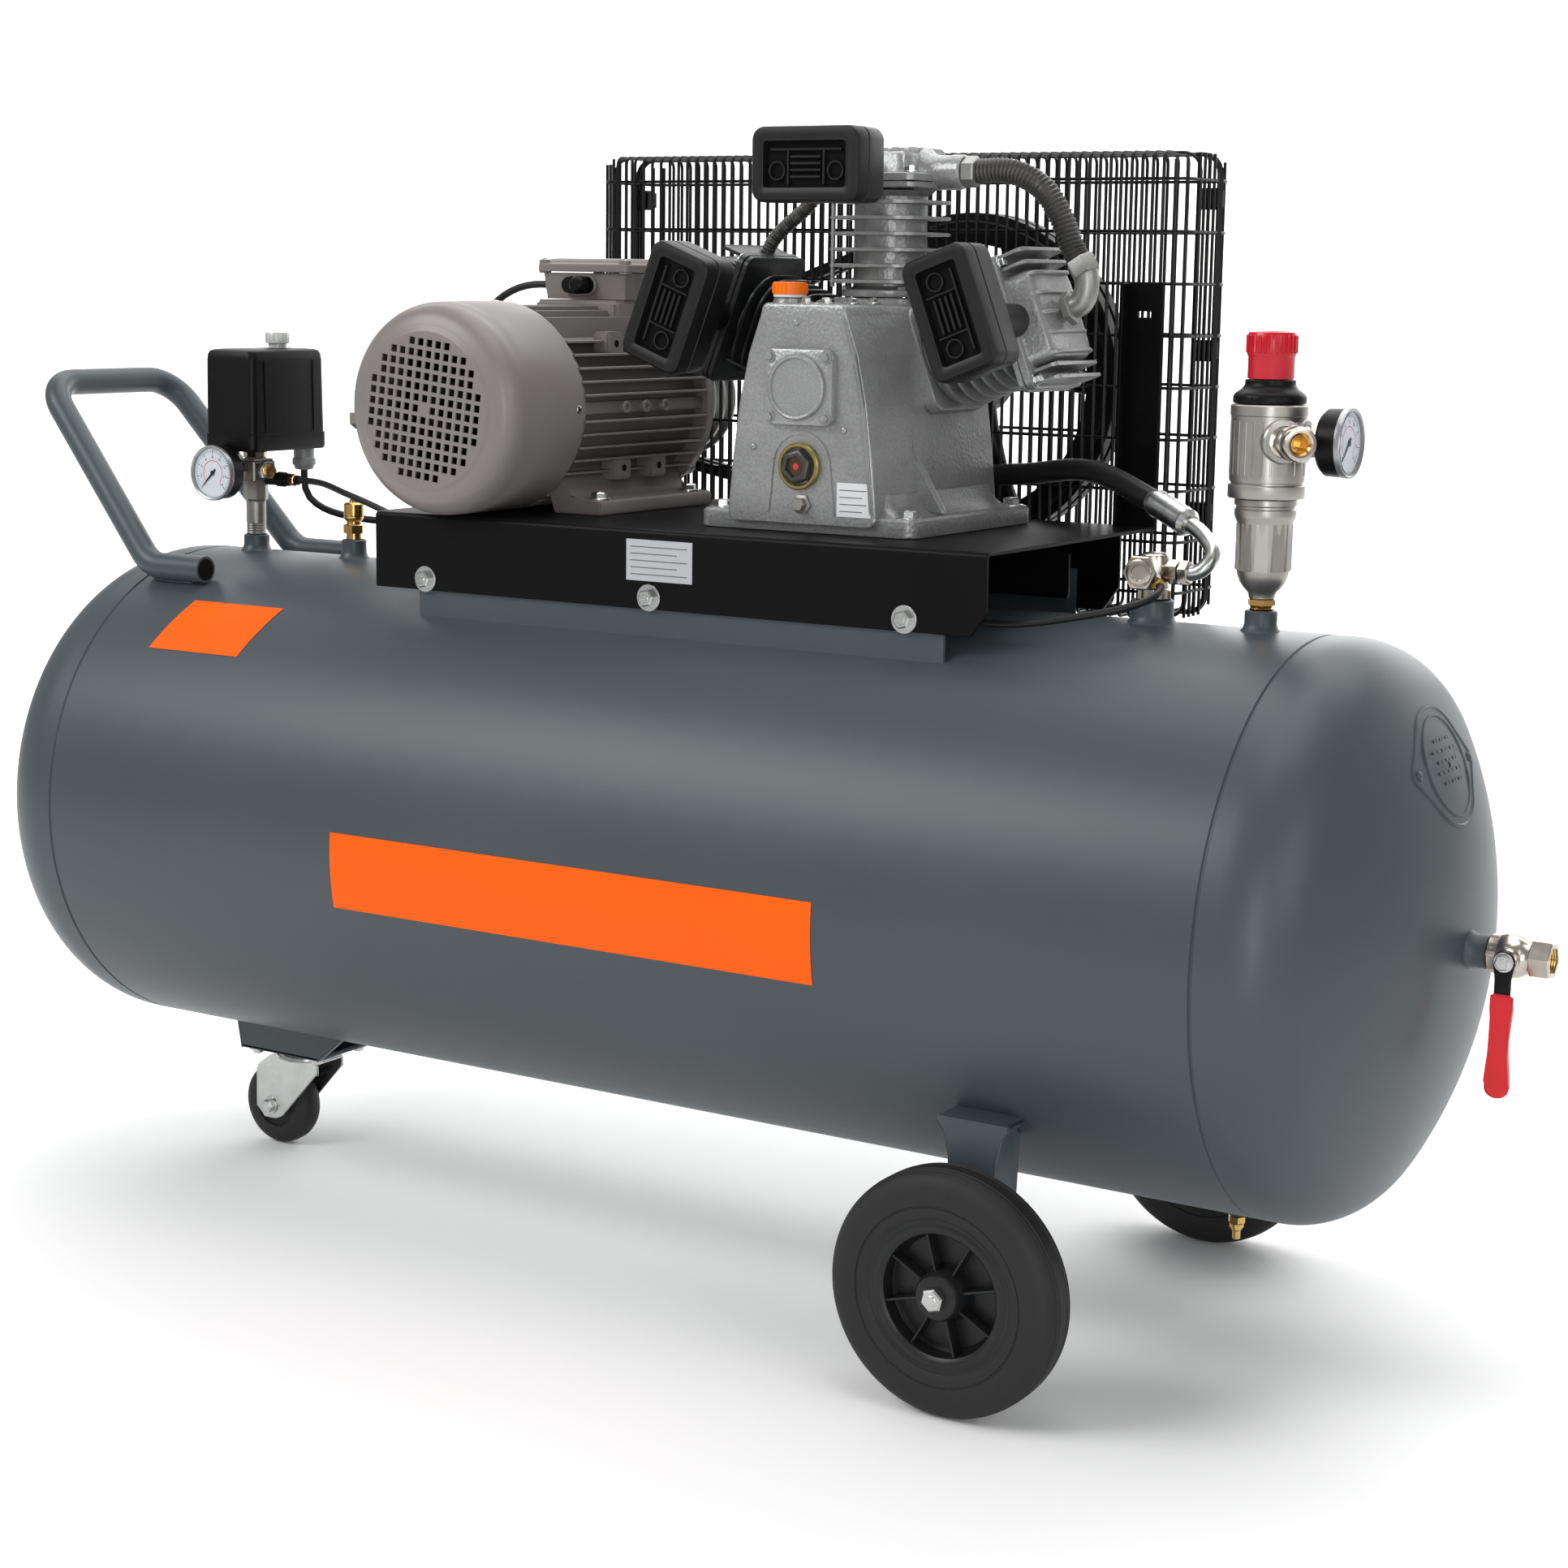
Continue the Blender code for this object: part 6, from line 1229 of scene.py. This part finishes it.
def build_guard():
    x0, x1, y0, y1, z0, z1 = GUARD
    wire, bar, corner, split = 0.0015, 0.002, 0.014, 0.2573
    low, high, left, right = z0 + bar, z1 - bar, x0 + bar, x1 - bar
    quarter = [math.pi / 2 * k / 4 for k in range(5)]
    rail = rounded((right - left) / 2, (high - low) / 2, 0.016, 6, ((left + right) / 2, (low + high) / 2))
    for name, node, panel_y, open_y in (("guard_cage_front", "guard_front", y0 + wire, split - bar),
            ("guard_cage_rear", "guard_rear", y1 - wire, split + bar + GAP)):
        cage = Piece(name)
        front = name.endswith("front")
        sign = 1 if front else -1
        openings = ((MOTOR_X, MOTOR_Z, 0.033), (CRANK_X, CRANK_Z, 0.039)) if front else ()

        def strand(path, radius=wire, closed=False):
            cage.add(sweep(path, radius, 6, closed), "wire_black")

        flat = [(panel_y + sign * 0.0065 * (1 - math.cos(t)), 0.0065 * (1 - math.sin(t))) for t in quarter]
        for k in range(1, 59):
            x = left + 0.012 + (right - left - 0.024) * k / 59
            path = [(x, open_y, high)] + [(x, a, high - b) for a, b in reversed(flat)]
            path += [(x, a, low + b) for a, b in flat] + [(x, open_y, low)]
            for run in around_openings(path, openings):
                strand(run)
        depth = panel_y + sign * wire * 1.9
        for k in range(9):
            z = low + 0.022 + (high - low - 0.044) * k / 8
            turned = [(corner * (1 - math.cos(t)), depth + sign * corner * (1 - math.sin(t)))
                for t in quarter]
            path = [(left, open_y, z)] + [(left + a, y, z) for a, y in turned]
            path += [(right - a, y, z) for a, y in reversed(turned)] + [(right, open_y, z)]
            for run in around_openings(path, openings):
                strand(run)
        for side, inward in ((left, 1), (right, -1)):
            for m in range(1, 5 if front else 2):
                y = panel_y + sign * (0.014 + m * 0.01)
                if (y - open_y) * sign <= -0.003:
                    strand([(side, y, low), (side, y, high)])
            for m in range(2):
                x, y = side + inward * (0.004 + m * 0.008), panel_y + sign * (0.008 - m * 0.006)
                strand([(x, y, low + 0.006), (x, y, high - 0.006)])
        cage.add(sweep([(a, open_y, b) for a, b in rail], bar, 8, closed=True), "wire_black")
        if front:
            strand([(a, panel_y + 0.026, b) for a, b in rail], closed=True)
        for x, z, radius in openings:
            circle = arc((x, z), radius, 0, 360, 28)[:-1]
            strand([(a, panel_y, b) for a, b in circle], wire * 1.1, closed=True)
        if not front:
            for x, z in ((x0 + 0.008, 0.905), (x1 - 0.01, 0.905), (x1 - 0.01, 0.778), (x1 - 0.01, 0.64),
                    (x0 + 0.008, 0.64)):
                clip = block((x - 0.01, split - 0.008, z - 0.009), (x + 0.0085, split + 0.01, z + 0.009))
                cage.add(clip, "plastic_black", bevel=0.002)
                cage.screw((x, split + 0.01, z), Y, 0.003)
        cage.done(replaces=[node])


# ---- pump ----------------------------------------------------------------------
def sideways(axis):
    """Axis in the XZ plane that stands square to another one."""
    return Vector((axis.z, 0, -axis.x))


def side_axis(turn):
    return Vector((math.sin(turn), 0, math.cos(turn)))


def cylinder_frame(turn, reach):
    """Local X across the cylinder, local Y along the crankshaft, local Z outwards."""
    axis = side_axis(turn)
    across = sideways(axis)
    matrix = Matrix((across, Y, axis)).transposed().to_4x4()
    return Matrix.Translation(Vector((CRANK_X, CYL_Y, CRANK_Z)) + axis * reach) @ matrix


def case_outline(grow):
    """Front outline of the crank case, grown sideways and upwards."""
    right = mm(70.5, 640, 69, 660, 66, 690, 60, 735, 51.5, 775, 40.5, 806) + [(0.0385, 0.815 + grow)]
    points = [(CRANK_X + a + grow, z) for a, z in right]
    return points + [(CRANK_X - a - grow, z) for a, z in reversed(right)]


def build_crankcase():
    case = Piece("crank_case")
    finish = "hammer_silver"
    levels = mm(-65, 2.6, -64.6, 1.3, -63.8, 0.4, -62.2, 0, 137.2, 0, 139.1, 0.8, 140, 2.8)
    case.add(stack([[(a, y, z) for a, z in soft_outline(case_outline(-s), 0.006)] for y, s in levels]),
        finish)
    base = mm(632.5, 0.6, 633.5, 0, 645.5, 0, 647.5, 1.5)
    case.add(soft_box(0.101, 0.1035, 0.01, 6, base, (CRANK_X, 0.0435)), finish)
    flare = []
    for z, s in mm(646, 0, 650, 12, 656, 18.5, 665, 22.5):
        ring = rounded(0.094 - s, 0.0955 - s * 0.3, 0.01, 6, (CRANK_X, 0.0395))
        flare.append([(a, b, z) for a, b in ring])
    case.add(stack(flare), finish)
    for side in (-1, 1):
        outline = mm(60, 648, 96, 648, 92, 654, 70, 690, 63, 716, 58, 716)
        web = facing([(CRANK_X + side * a, b) for a, b in outline], -0.0035, 0.0035)
        case.add(web, finish, Matrix.Translation((0, 0.004, 0)), bevel=0.0016)
    outline = mm(68.5, 650, 59, 735, 50.5, 775, 39.5, 804, 36.8, 804, 47.4, 774, 55.6, 734, 65, 650)
    case.add(facing([(CRANK_X + a, b) for a, b in outline], 0.0638, 0.0668), finish, bevel=0.0008)

    def arch(radius, foot):
        line = [(CRANK_X + a, b) for a, b in arc((0, 0.686), radius, 0, 180, 20)]
        return [(CRANK_X + foot, 0.648)] + line + [(CRANK_X - foot, 0.648)]

    outer, inner = arch(0.0285, 0.033), arch(0.025, 0.029)
    rim = bmesh.new()
    rows = [[rim.verts.new((a, y, b)) for a, b in line] for line, y in ((outer, -0.0645), (outer, -0.0662),
        (inner, -0.0662), (inner, -0.0645))]
    for low, high in zip(rows, rows[1:] + rows[:1]):
        for i in range(len(outer) - 1):
            rim.faces.new((low[i], low[i + 1], high[i + 1], high[i]))
    for end in (0, -1):
        rim.faces.new([row[end] for row in rows])
    case.add(finished(rim), finish, bevel=0.0006)
    for turn, reach, *_ in CYLINDERS.values():
        half = 0.044 if turn else 0.037
        levels = [(0.012, 0.003), (reach - 0.013, 0.003), (reach - 0.011, 0.0), (reach - 0.0016, 0.0),
            (reach - 0.0006, 0.0012)]
        case.add(soft_box(half, half, 0.012, 6, levels), finish, cylinder_frame(turn, 0))
    boss = mm(16, 0, 34, 0, 34, 24, 32, 26, 22, 26, 16, 22)
    case.turn(boss, 48, finish, (CRANK_X, 0.138, CRANK_Z), Y, closed=True)
    case.turn(mm(16.5, 0, 14, 4, 13, 11.5, 0, 11.5), 32, finish, (CRANK_X - 0.026, -0.043, 0.807))
    for x, y in mm(-6, -50, 16, -55, 30, -40, 30, -6):
        case.bolt((CRANK_X + x, y, 0.8148), Z, 0.004, 0.0034, turn=x * 40)
    for sx in (-1, 1):
        for y in (-0.045, 0.132):
            case.bolt((CRANK_X + sx * 0.088, y, 0.647), Z, 0.0072, 0.0055, turn=y * 9)
    plug = mm(0, 0, 8.5, 0, 8.5, 2.2, 6, 3, 6, 7.5, 5, 8.5, 0, 8.5)
    case.turn(plug, 6, "steel_dull", (CRANK_X + 0.002, -0.0648, 0.6555), -Y)
    for x, z in mm(-45, 700, -6, 800, 40, 716):
        case.turn(mm(3, 0, 2.4, 1.6, 1.2, 2.4, 0, 2.5), 14, finish, (CRANK_X + x, -0.0648, z), -Y)
    case.done(replaces=["crankcase"])

    label = Piece("pump_plate")
    label.add(block((CRANK_X + 0.0345, -0.0657, 0.6475), (CRANK_X + 0.066, -0.0649, 0.6745)), "white_vinyl")
    for k in range(4):
        z = 0.6515 + k * 0.0056
        end = CRANK_X + 0.058 + 0.004 * (k % 2)
        label.add(block((CRANK_X + 0.037, -0.0659, z), (end, -0.0656, z + 0.0007)), "grey_print")
    label.done()


def build_pump_front():
    y = -0.0653
    cover = Piece("bearing_lid")
    sections = []
    for depth, s in mm(0, 0, 5, 0, 6.4, 0.8, 7, 2.2):
        ring = rounded(0.0325 - s, 0.0305 - s, 0.008, 6, (CRANK_X, CRANK_Z))
        sections.append([(a, y - depth, b) for a, b in ring])
    cover.add(stack(sections), "hammer_silver")
    dish = mm(26.8, 6.5, 26.2, 10, 24.8, 11.2, 23.2, 10.8, 22.5, 9.2, 0, 8.8)
    cover.turn(dish, 56, "hammer_silver", (CRANK_X, y, CRANK_Z), -Y)
    for sx in (-1, 1):
        for sz in (-1, 1):
            x, z = CRANK_X + sx * 0.0262, CRANK_Z + sz * 0.0242
            cover.turn(mm(5.6, 0, 5.4, 1.6, 0, 1.6), 20, "hammer_silver", (x, y - 0.006, z), -Y)
            cover.bolt((x, y - 0.0074, z), -Y, 0.0036, 0.0026, finish="hammer_silver", washer=0)
    cover.done(replaces=["bearing_cover"])
    glass = Piece("oil_sight")
    centre = (CRANK_X, y, 0.686)
    glass.turn(mm(19, 0, 19, 4, 17.8, 5.2, 16, 5.2, 15, 4), 48, "brass_olive", centre, -Y)
    glass.turn(mm(15, 3.6, 13.6, 9, 11.8, 10, 9.2, 10, 8.8, 7.5), 6, "pipe_dark", centre, -Y, 0.3)
    glass.turn(mm(9, 7.2, 0, 7.6), 32, "oil_glass", centre, -Y)
    glass.turn(mm(2.6, 7.6, 0, 7.9), 20, "dial_red", centre, -Y)
    glass.done(replaces=["sight_glass"])
    cap = Piece("oil_plug")
    where = at((CRANK_X - 0.026, -0.043, 0.8193))
    cap.turn(mm(12.8, 0, 13.4, 0.6, 13.4, 2, 14, 2.4), 40, "white_vinyl", where)
    cap.turn(mm(13.8, 2.2, 14, 3.5, 14, 11, 13.2, 12.2, 6, 12.5, 0, 12.5), 40, "orange_plastic", where)
    cap.ribs(24, (0.0134, -0.0007, 0.0036), (0.0145, 0.0007, 0.0108), "orange_plastic", where)
    cap.done(replaces=["oil_cap"])


def build_cylinder(place):
    turn, reach, length = CYLINDERS[place][:3]
    # The left barrel takes a near-black copy of the silver hammer finish: painted shade.
    finish = "hammer_painted_shade" if place == "left" else "hammer_silver"
    where = cylinder_frame(turn, reach)
    barrel = Piece("barrel_" + place)
    sleeve = mm(27, 0.2, 39.5, 0.2, 40, 1, 40, 5.4, 38.8, 6.2, 32.5, 7, 30.5, 9)
    sleeve += [(0.0305, length - 0.006), (0.034, length - 0.0012), (0.027, length - 0.0004)]
    barrel.turn(sleeve, 64, finish, where, closed=True)
    outer = rounded(0.0448, 0.0448, 0.03, 9)
    inner = [(0.03 * math.cos(math.atan2(b, a)), 0.03 * math.sin(math.atan2(b, a))) for a, b in outer]
    for k in range(6):
        z = 0.0125 + k * (length - 0.023) / 5
        levels = ((inner, -0.0019), (outer, -0.0013), (outer, 0.0013), (inner, 0.0019))
        fin = stack([[(a, b, z + thick) for a, b in line] for line, thick in levels], loop=True)
        barrel.add(fin, finish, where, bevel=0.0006, angle=60)
    tie = block((-0.0345, -0.039, 0.008), (-0.032, -0.035, length - 0.004))
    barrel.add(tie, finish, where, bevel=0.0005, steps=1)
    for a, b in mm(26.5, 26.5, -26.5, 26.5, 26.5, -26.5, -26.5, -26.5):
        barrel.bolt(where @ Vector((a, b, 0.0058)), where.to_3x3() @ Z, 0.0036, 0.0034, washer=0)
    barrel.done(replaces=["cylinder_" + place])


def build_head(place):
    turn, reach, length, half, height, rim = CYLINDERS[place]
    # The left head takes a near-black copy of the silver hammer finish: painted shade.
    finish = "hammer_painted_shade" if place == "left" else "hammer_silver"
    where = cylinder_frame(turn, reach + length + GAP)
    head = Piece("cylinder_cover_" + place)
    deep = 0.046
    for z0, z1 in ((0.0002, 0.005), (0.0056, 0.012)):
        levels = [(z0, 0.0008), (z0 + 0.0006, 0.0), (z1 - 0.0008, 0.0), (z1, 0.001)]
        head.add(soft_box(half, deep, 0.009, 6, levels), finish, where)
    # Near-black core in the groove between the two flanges: painted shade in the joint.
    head.add(prism(rounded(half - 0.0012, deep - 0.0012, 0.008, 6), 0.0048, 0.0058), "painted_shade_inside", where)
    wide, long = half - rim, deep - 0.008
    levels = [(0.0112, -0.0015), (0.014, 0.0), (height - 0.0095, 0.0006), (height - 0.0065, 0.002),
        (height - 0.005, 0.0045), (height - 0.0046, 0.008)]
    head.add(soft_box(wide, long, 0.01, 6, levels), finish, where)
    for k in range(5):
        a = (k - 2) * (2 * wide - 0.01) / 4
        rib = []
        for z, y, thick in ((0.011, long - 0.002, 0.002), (height - 0.01, long - 0.002, 0.0017),
                (height - 0.003, long - 0.006, 0.0014), (height - 0.0008, long - 0.012, 0.0012)):
            rib.append([(a + thick, y, z), (a - thick, y, z), (a - thick, -y, z), (a + thick, -y, z)])
        head.add(stack(rib), finish, where, bevel=0.0005, steps=1)
    if turn:
        for side in (-1, 1):
            for a in (0.0425, 0.053):
                fin = lengthwise(rounded(deep - 0.006, 0.0125, 0.006, 5, (0, 0.0215)), a - 0.0013,
                    a + 0.0013)
                head.add(fin, finish, where @ Matrix.Diagonal((side, 1, 1, 1)), bevel=0.0005, steps=1)
    else:
        neck = mm(0, 28, 20, 30, 18.5, 36, 15, 40, 13.6, 46, 13.2, 56, 13.8, 59, 13.8, 68, 12.6, 69.6, 10,
            69.9, 0, 69.9)
        head.turn(neck, 40, finish, where @ at((0, 0, 0.0135), X))
    for a in (-half + 0.007, half - 0.007):
        for b in (-deep + 0.0085, 0.0, deep - 0.0085):
            if b or not turn and a < 0:
                spot = where @ Vector((a, b, 0.0118))
                head.bolt(spot, where.to_3x3() @ Z, 0.0046, 0.0042, turn=a * 30 + b * 9, washer=1.3)
    head.done(replaces=["head_" + place])


def build_filter(place, outward, upward):
    turn = CYLINDERS[place][0]
    centre = head_point(place, outward, -upward if turn > 0 else upward, 0)
    axis, across = side_axis(turn), side_axis(turn + math.pi / 2)
    local = Matrix.Translation((centre.x, -0.068, centre.z)) @ Matrix((across, axis,
        Y)).transposed().to_4x4()
    box = Piece("intake_filter_" + place)
    half_x, half_y = 0.05, 0.03
    levels = mm(12.5, 7, 11.8, 1.2, 10.5, 0.4, 5.5, 0, 2.6, 0.5, 0.9, 2.2, 0.2, 5.5, 0.2, 17, 1, 17.6, 1,
        19, 0.2, 19.6, 0.5, 40, 2, 44, 6, 45.8)
    shell = [[(a, b, z) for a, b in rounded(half_x - s, half_y - s, max(0.0105 - s * 0.7, 0.003), 6)] for s,
        z in levels]
    box.add(stack(shell), "filter_black", local)
    # Near-black sheet behind the front opening: painted shade inside the filter.
    box.add(prism(rounded(half_x - 0.0126, half_y - 0.0126, 0.003, 4), 0.0064, 0.0074), "painted_shade_inside",
        local)
    for a in (-0.027, 0.027):
        where = local @ Matrix.Translation((a, -0.005, 0))
        box.turn(mm(7.8, 7.2, 7.8, 4, 7, 3.4, 6.2, 4, 6, 6.8), 32, "filter_black", where)
        # Near-black disc inside each round mouth: painted shade inside it.
        box.turn(mm(6.1, 6.6, 0, 6.6), 28, "painted_shade_inside", where)
    for k in range(4):
        b = (k - 1.5) * 0.0052 - 0.002
        slat = block((-0.014, b - 0.0011, 0.0026), (0.014, b + 0.0011, 0.0072))
        box.add(slat, "filter_black", local, bevel=0.0005, steps=1)
    box.add(block((-0.033, 0.0105, 0.003), (0.033, 0.0125, 0.0074)), "filter_black", local, bevel=0.0005,
        steps=1)
    for a in (-0.0165, 0.0165):
        rail = block((a - 0.0009, -0.016, 0.0034), (a + 0.0009, 0.011, 0.0074))
        box.add(rail, "filter_black", local, bevel=0.0004, steps=1)
    stub = mm(17.5, 0, 15.5, 3, 13.8, 6, 13.5, 20, 13.5, 51.7, 0, 51.7)
    box.turn(stub, 32, "filter_black", head_point(place, 0.014, 0, -0.026), Y)
    box.done(replaces=["filter_" + place])


def ribbed(path, low, high, pitch):
    """Radii that rise and fall along an evenly stepped path."""
    radii, travel = [], 0.0
    for i, point in enumerate(path):
        if i:
            travel += (point - path[i - 1]).length
        radii.append(low + (high - low) * (0.5 + 0.5 * math.cos(math.tau * travel / pitch)))
    return radii


def head_point(place, along, tangent, y):
    """Point of a head: outwards from its cylinder's seat, then across it."""
    turn, reach, length = CYLINDERS[place][:3]
    axis = side_axis(turn)
    across = sideways(axis)
    return Vector((CRANK_X, y, CRANK_Z)) + axis * (reach + length + along) + across * tangent


def build_cooler_pipes():
    start = head_point("top", 0.0138, 0.0703, CYL_Y)
    end = head_point("right", 0.039, 0.0, CYL_Y)
    out = side_axis(SIDE_TILT)
    route = [start, start + X * 0.008, (0.248, CYL_Y, 0.9212), (0.275, CYL_Y, 0.908),
        (0.2915, CYL_Y, 0.886), (0.3035, CYL_Y, 0.86), (end.x + 0.017, CYL_Y, end.z + 0.025),
        end + out * 0.01, end]
    path = curve_through(route, 0.0009)
    nut_index = nearest(path, (0.3078, CYL_Y, 0.843))
    pipe = Piece("after_cooler_right")
    tube = path[:nut_index]
    pipe.add(sweep(tube, ribbed(tube, 0.0088, 0.0104, 0.0036), 20), "pipe_dark")
    pipe.add(sweep(path[nut_index - 4:], 0.01, 28), "cast_raw")
    way = (path[nut_index + 1] - path[nut_index - 1]).normalized()
    nut = mm(9, -8, 12, -7.4, 12.6, -6.4, 12.6, 6, 11.8, 6.8, 9, 7.2)
    pipe.turn(nut, 6, "cast_raw", path[nut_index], way)
    pipe.turn(mm(9.5, 0.4, 14, 0.6, 14, 6, 12, 7.4, 9.5, 8), 6, "cast_raw", end, out)
    collar = mm(9, 0.2, 12.8, 0.6, 12.8, 10, 11.8, 11.2, 9, 11.8)
    pipe.turn(collar, 6, "cast_raw", start, X)
    pipe.done(replaces=["cooler_pipe_right"])

    turn = side_axis(-SIDE_TILT)
    across = sideways(turn)
    first = head_point("top", 0.0215, -0.043, CYL_Y + 0.012)
    left_end = head_point("left", 0.02, 0.045, CYL_Y + 0.012)
    route = [first, first - X * 0.01, first + Vector((-0.026, 0, -0.008)),
        first + Vector((-0.041, 0, -0.03)), left_end + across * 0.01, left_end]
    path = curve_through(route, 0.0009)
    pipe = Piece("after_cooler_left")
    pipe.add(sweep(path, ribbed(path, 0.0054, 0.0065, 0.003), 18), "pipe_dark")
    collar = mm(5.6, 0.3, 9.8, 0.5, 9.8, 7.6, 6, 8.4)
    pipe.turn(collar, 6, "cast_raw", left_end, across)
    pipe.turn(collar, 6, "cast_raw", first, -X)
    pipe.done(replaces=["cooler_pipe_left"])


def build_lines():
    start = head_point("left", 0.0225, -0.02, CYL_Y + 0.0365)
    end = Vector((CHECK_X + 0.0225, 0, CHECK_BASE + 0.022))
    route = [start, start + Y * 0.012, (start.x, start.y + 0.034, start.z - 0.004),
        (start.x + 0.012, start.y + 0.048, start.z - 0.05), (CRANK_X - 0.06, 0.168, 0.682),
        (CRANK_X, 0.168, 0.668), (CRANK_X + 0.08, 0.16, 0.672), (CRANK_X + 0.165, 0.12, 0.681),
        (CHECK_X - 0.034, 0.058, 0.666), (CHECK_X + 0.005, 0.037, 0.653), (CHECK_X + 0.033, 0.02, 0.641),
        (CHECK_X + 0.045, 0.007, 0.6275), end + X * 0.01, end]
    path = curve_through(route, 0.004)
    near, far = nearest(path, (0.389, 0.056, 0.664)), nearest(path, (0.43, 0.032, 0.65))
    hose = Piece("pressure_hose")
    hose.add(sweep(path[:near + 1], 0.0093, 24), "rubber_hose")
    sleeve = path[near:far + 1]
    bulge = [0.0095, 0.011, 0.0112, 0.0108] + [0.0112 - 0.0006 * (i % 2) for i in range(4, len(sleeve))]
    bulge[-1] = 0.008
    hose.add(sweep(sleeve, bulge, 28), "zinc")
    hose.add(sweep(path[far - 1:], 0.0062, 24), "zinc")
    hose.turn(mm(6.4, 0.2, 9.6, 0.6, 9.6, 7.2, 8.8, 8.2, 6.4, 8.6), 6, "nickel", end, X, 0.2)
    hose.add(sweep(path[:5], [0.01, 0.0112, 0.0114, 0.0112, 0.01], 28), "zinc")
    hose.done(replaces=["delivery_hose"])

    way = Vector((0.6, -0.8, 0))
    first = Vector((CHECK_X, 0, CHECK_BASE + 0.012)) + way * 0.0225
    last = Vector((SWITCH_X + 0.0485, 0.006, SWITCH_BASE + 0.052))
    route = [first, first + way * 0.005, (first.x + 0.004, first.y - 0.03, CHECK_BASE + 0.004),
        (0.38, -0.078, 0.582), (0.33, -0.085, 0.575), (0.27, -0.078, 0.577), (0.15, -0.06, 0.59),
        (-0.08, -0.05, 0.592), (-0.24, -0.048, 0.598), (-0.3, -0.036, 0.616), (-0.38, -0.018, 0.6345),
        last + X * 0.008, last]
    tube = Piece("pilot_tube")
    tube.add(sweep(curve_through(route, 0.01), 0.003, 14), "rubber_hose")
    tube.done(replaces=["unloader_tube"])

    first = Vector((-0.488, 0.045, 0.6487))
    end = Vector((MOTOR_X - 0.0475 + 0.003 - 0.016 - 0.0003, 0.105, BOX_Z + 0.0125))
    route = [first, first - Z * 0.008, (first.x + 0.004, 0.048, first.z - 0.026),
        (first.x + 0.04, 0.062, 0.606), (first.x + 0.11, 0.084, 0.612), (-0.345, 0.1, 0.66),
        (-0.33, 0.106, 0.74), (-0.315, 0.107, 0.8), end - X * 0.008, end]
    cable = Piece("motor_lead")
    cable.add(sweep(curve_through(route, 0.008), 0.0034, 16), "rubber_hose")
    cable.done(replaces=["motor_cable"])


def nearest(path, place):
    """Index of the point of a path that lies nearest to a place."""
    return min(range(len(path)), key=lambda i: (path[i] - Vector(place)).length)


def build_pump():
    build_crankcase()
    build_pump_front()
    for place in CYLINDERS:
        build_cylinder(place)
        build_head(place)
    build_filter("top", 0.0155, 0.0)
    build_filter("right", 0.0075, 0.009)
    build_filter("left", 0.0075, 0.009)
    build_cooler_pipes()


# ---- studio --------------------------------------------------------------------
def area_light(name, place, target, size, power):
    data = bpy.data.lights.new(name, "AREA")
    data.shape = "RECTANGLE"
    data.size, data.size_y = size
    data.energy = power
    lamp = bpy.data.objects.new(name, data)
    bpy.context.scene.collection.objects.link(lamp)
    lamp.location = Vector(place)
    lamp.rotation_mode = "QUATERNION"
    lamp.rotation_quaternion = (Vector(target) - Vector(place)).to_track_quat("-Z", "Y")
    return lamp


def build_studio():
    floor = bpy.data.meshes.new("floor")
    bm = bmesh.new()
    rows = []
    path = [(-6.0, 0.0), (4.5, 0.0)] + [(4.5 + 2.0 * math.sin(t), 2.0 - 2.0 * math.cos(t))
        for t in [math.pi / 2 * k / 12 for k in range(1, 13)]] + [(6.5, 8.0)]
    for y, z in path:
        rows.append([bm.verts.new((x, y, z)) for x in (-12.0, 12.0)])
    for low, high in zip(rows, rows[1:]):
        bm.faces.new((low[0], low[1], high[1], high[0]))
    bm.to_mesh(floor)
    bm.free()
    floor.shade_smooth()
    paper = surface("studio_paper", (0.93, 0.93, 0.93), 0.7, 0, 0.01, 1.5, 0.02, 60, specular=0.2)
    floor.materials.append(paper)
    backdrop = bpy.data.objects.new("floor", floor)
    bpy.context.scene.collection.objects.link(backdrop)
    backdrop.location = (0, 0, -0.0005)
    world = bpy.data.worlds.new("studio")
    bpy.context.scene.world = world
    world.use_nodes = True
    sky = world.node_tree.nodes["Background"]
    sky.inputs["Color"].default_value = (1.0, 1.0, 1.0, 1)
    sky.inputs["Strength"].default_value = 0.34
    area_light("softbox_key", (-1.9, -2.6, 2.8), (0, 0, 0.45), (2.4, 1.6), 84)
    area_light("softbox_fill", (3.0, -1.4, 1.5), (0.2, 0, 0.4), (1.6, 1.6), 17)
    area_light("softbox_top", (0.2, 0.2, 3.2), (0, 0, 0.5), (3.0, 2.0), 46)
    area_light("softbox_back", (0.0, 3.2, 1.8), (0, 0, 0.9), (4.0, 1.6), 36)
    area_light("softbox_strip", (2.2, -3.4, 0.9), (0.6, 0, 0.4), (0.3, 1.8), 30)
    area_light("wall_wash", (-4.2, 2.6, 3.4), (-4.6, 6.4, 1.4), (7.5, 1.2), 330)
    area_light("floor_wash", (-1.0, 2.0, 3.4), (-1.2, 3.4, 0.0), (6.0, 2.0), 120)
    view = bpy.context.scene.view_settings
    view.view_transform = "Standard"
    view.look = "None"
    view.exposure = 0.0
    view.gamma = 1.0


def main():
    make_materials()
    build_tank()
    build_handle()
    build_platform()
    for side, place in ((-1, "front"), (1, "rear")):
        build_wheel(side, place, place + "_wheel")
        build_wheel_bracket(side, place)
    build_caster()
    build_drain()
    build_ball_valve()
    build_pressure_switch()
    build_safety_valve()
    build_check_valve()
    port_z = build_regulator()
    build_gauge("receiver_gauge", "tank_gauge", "tank_gauge_needle", "tank_pointer",
        (SWITCH_X, -0.0388, 0.65), -Y, 0.0255, 0.0)
    build_gauge("line_gauge", "regulator_gauge", "regulator_gauge_needle", "line_pointer",
        (REG_X + 0.0448, 0, port_z), X, 0.0265, math.pi / 2)
    build_motor()
    build_rotor()
    build_flywheel()
    build_belt()
    build_guard()
    build_pump()
    build_lines()
    build_studio()


main()
bpy.context.view_layer.update()
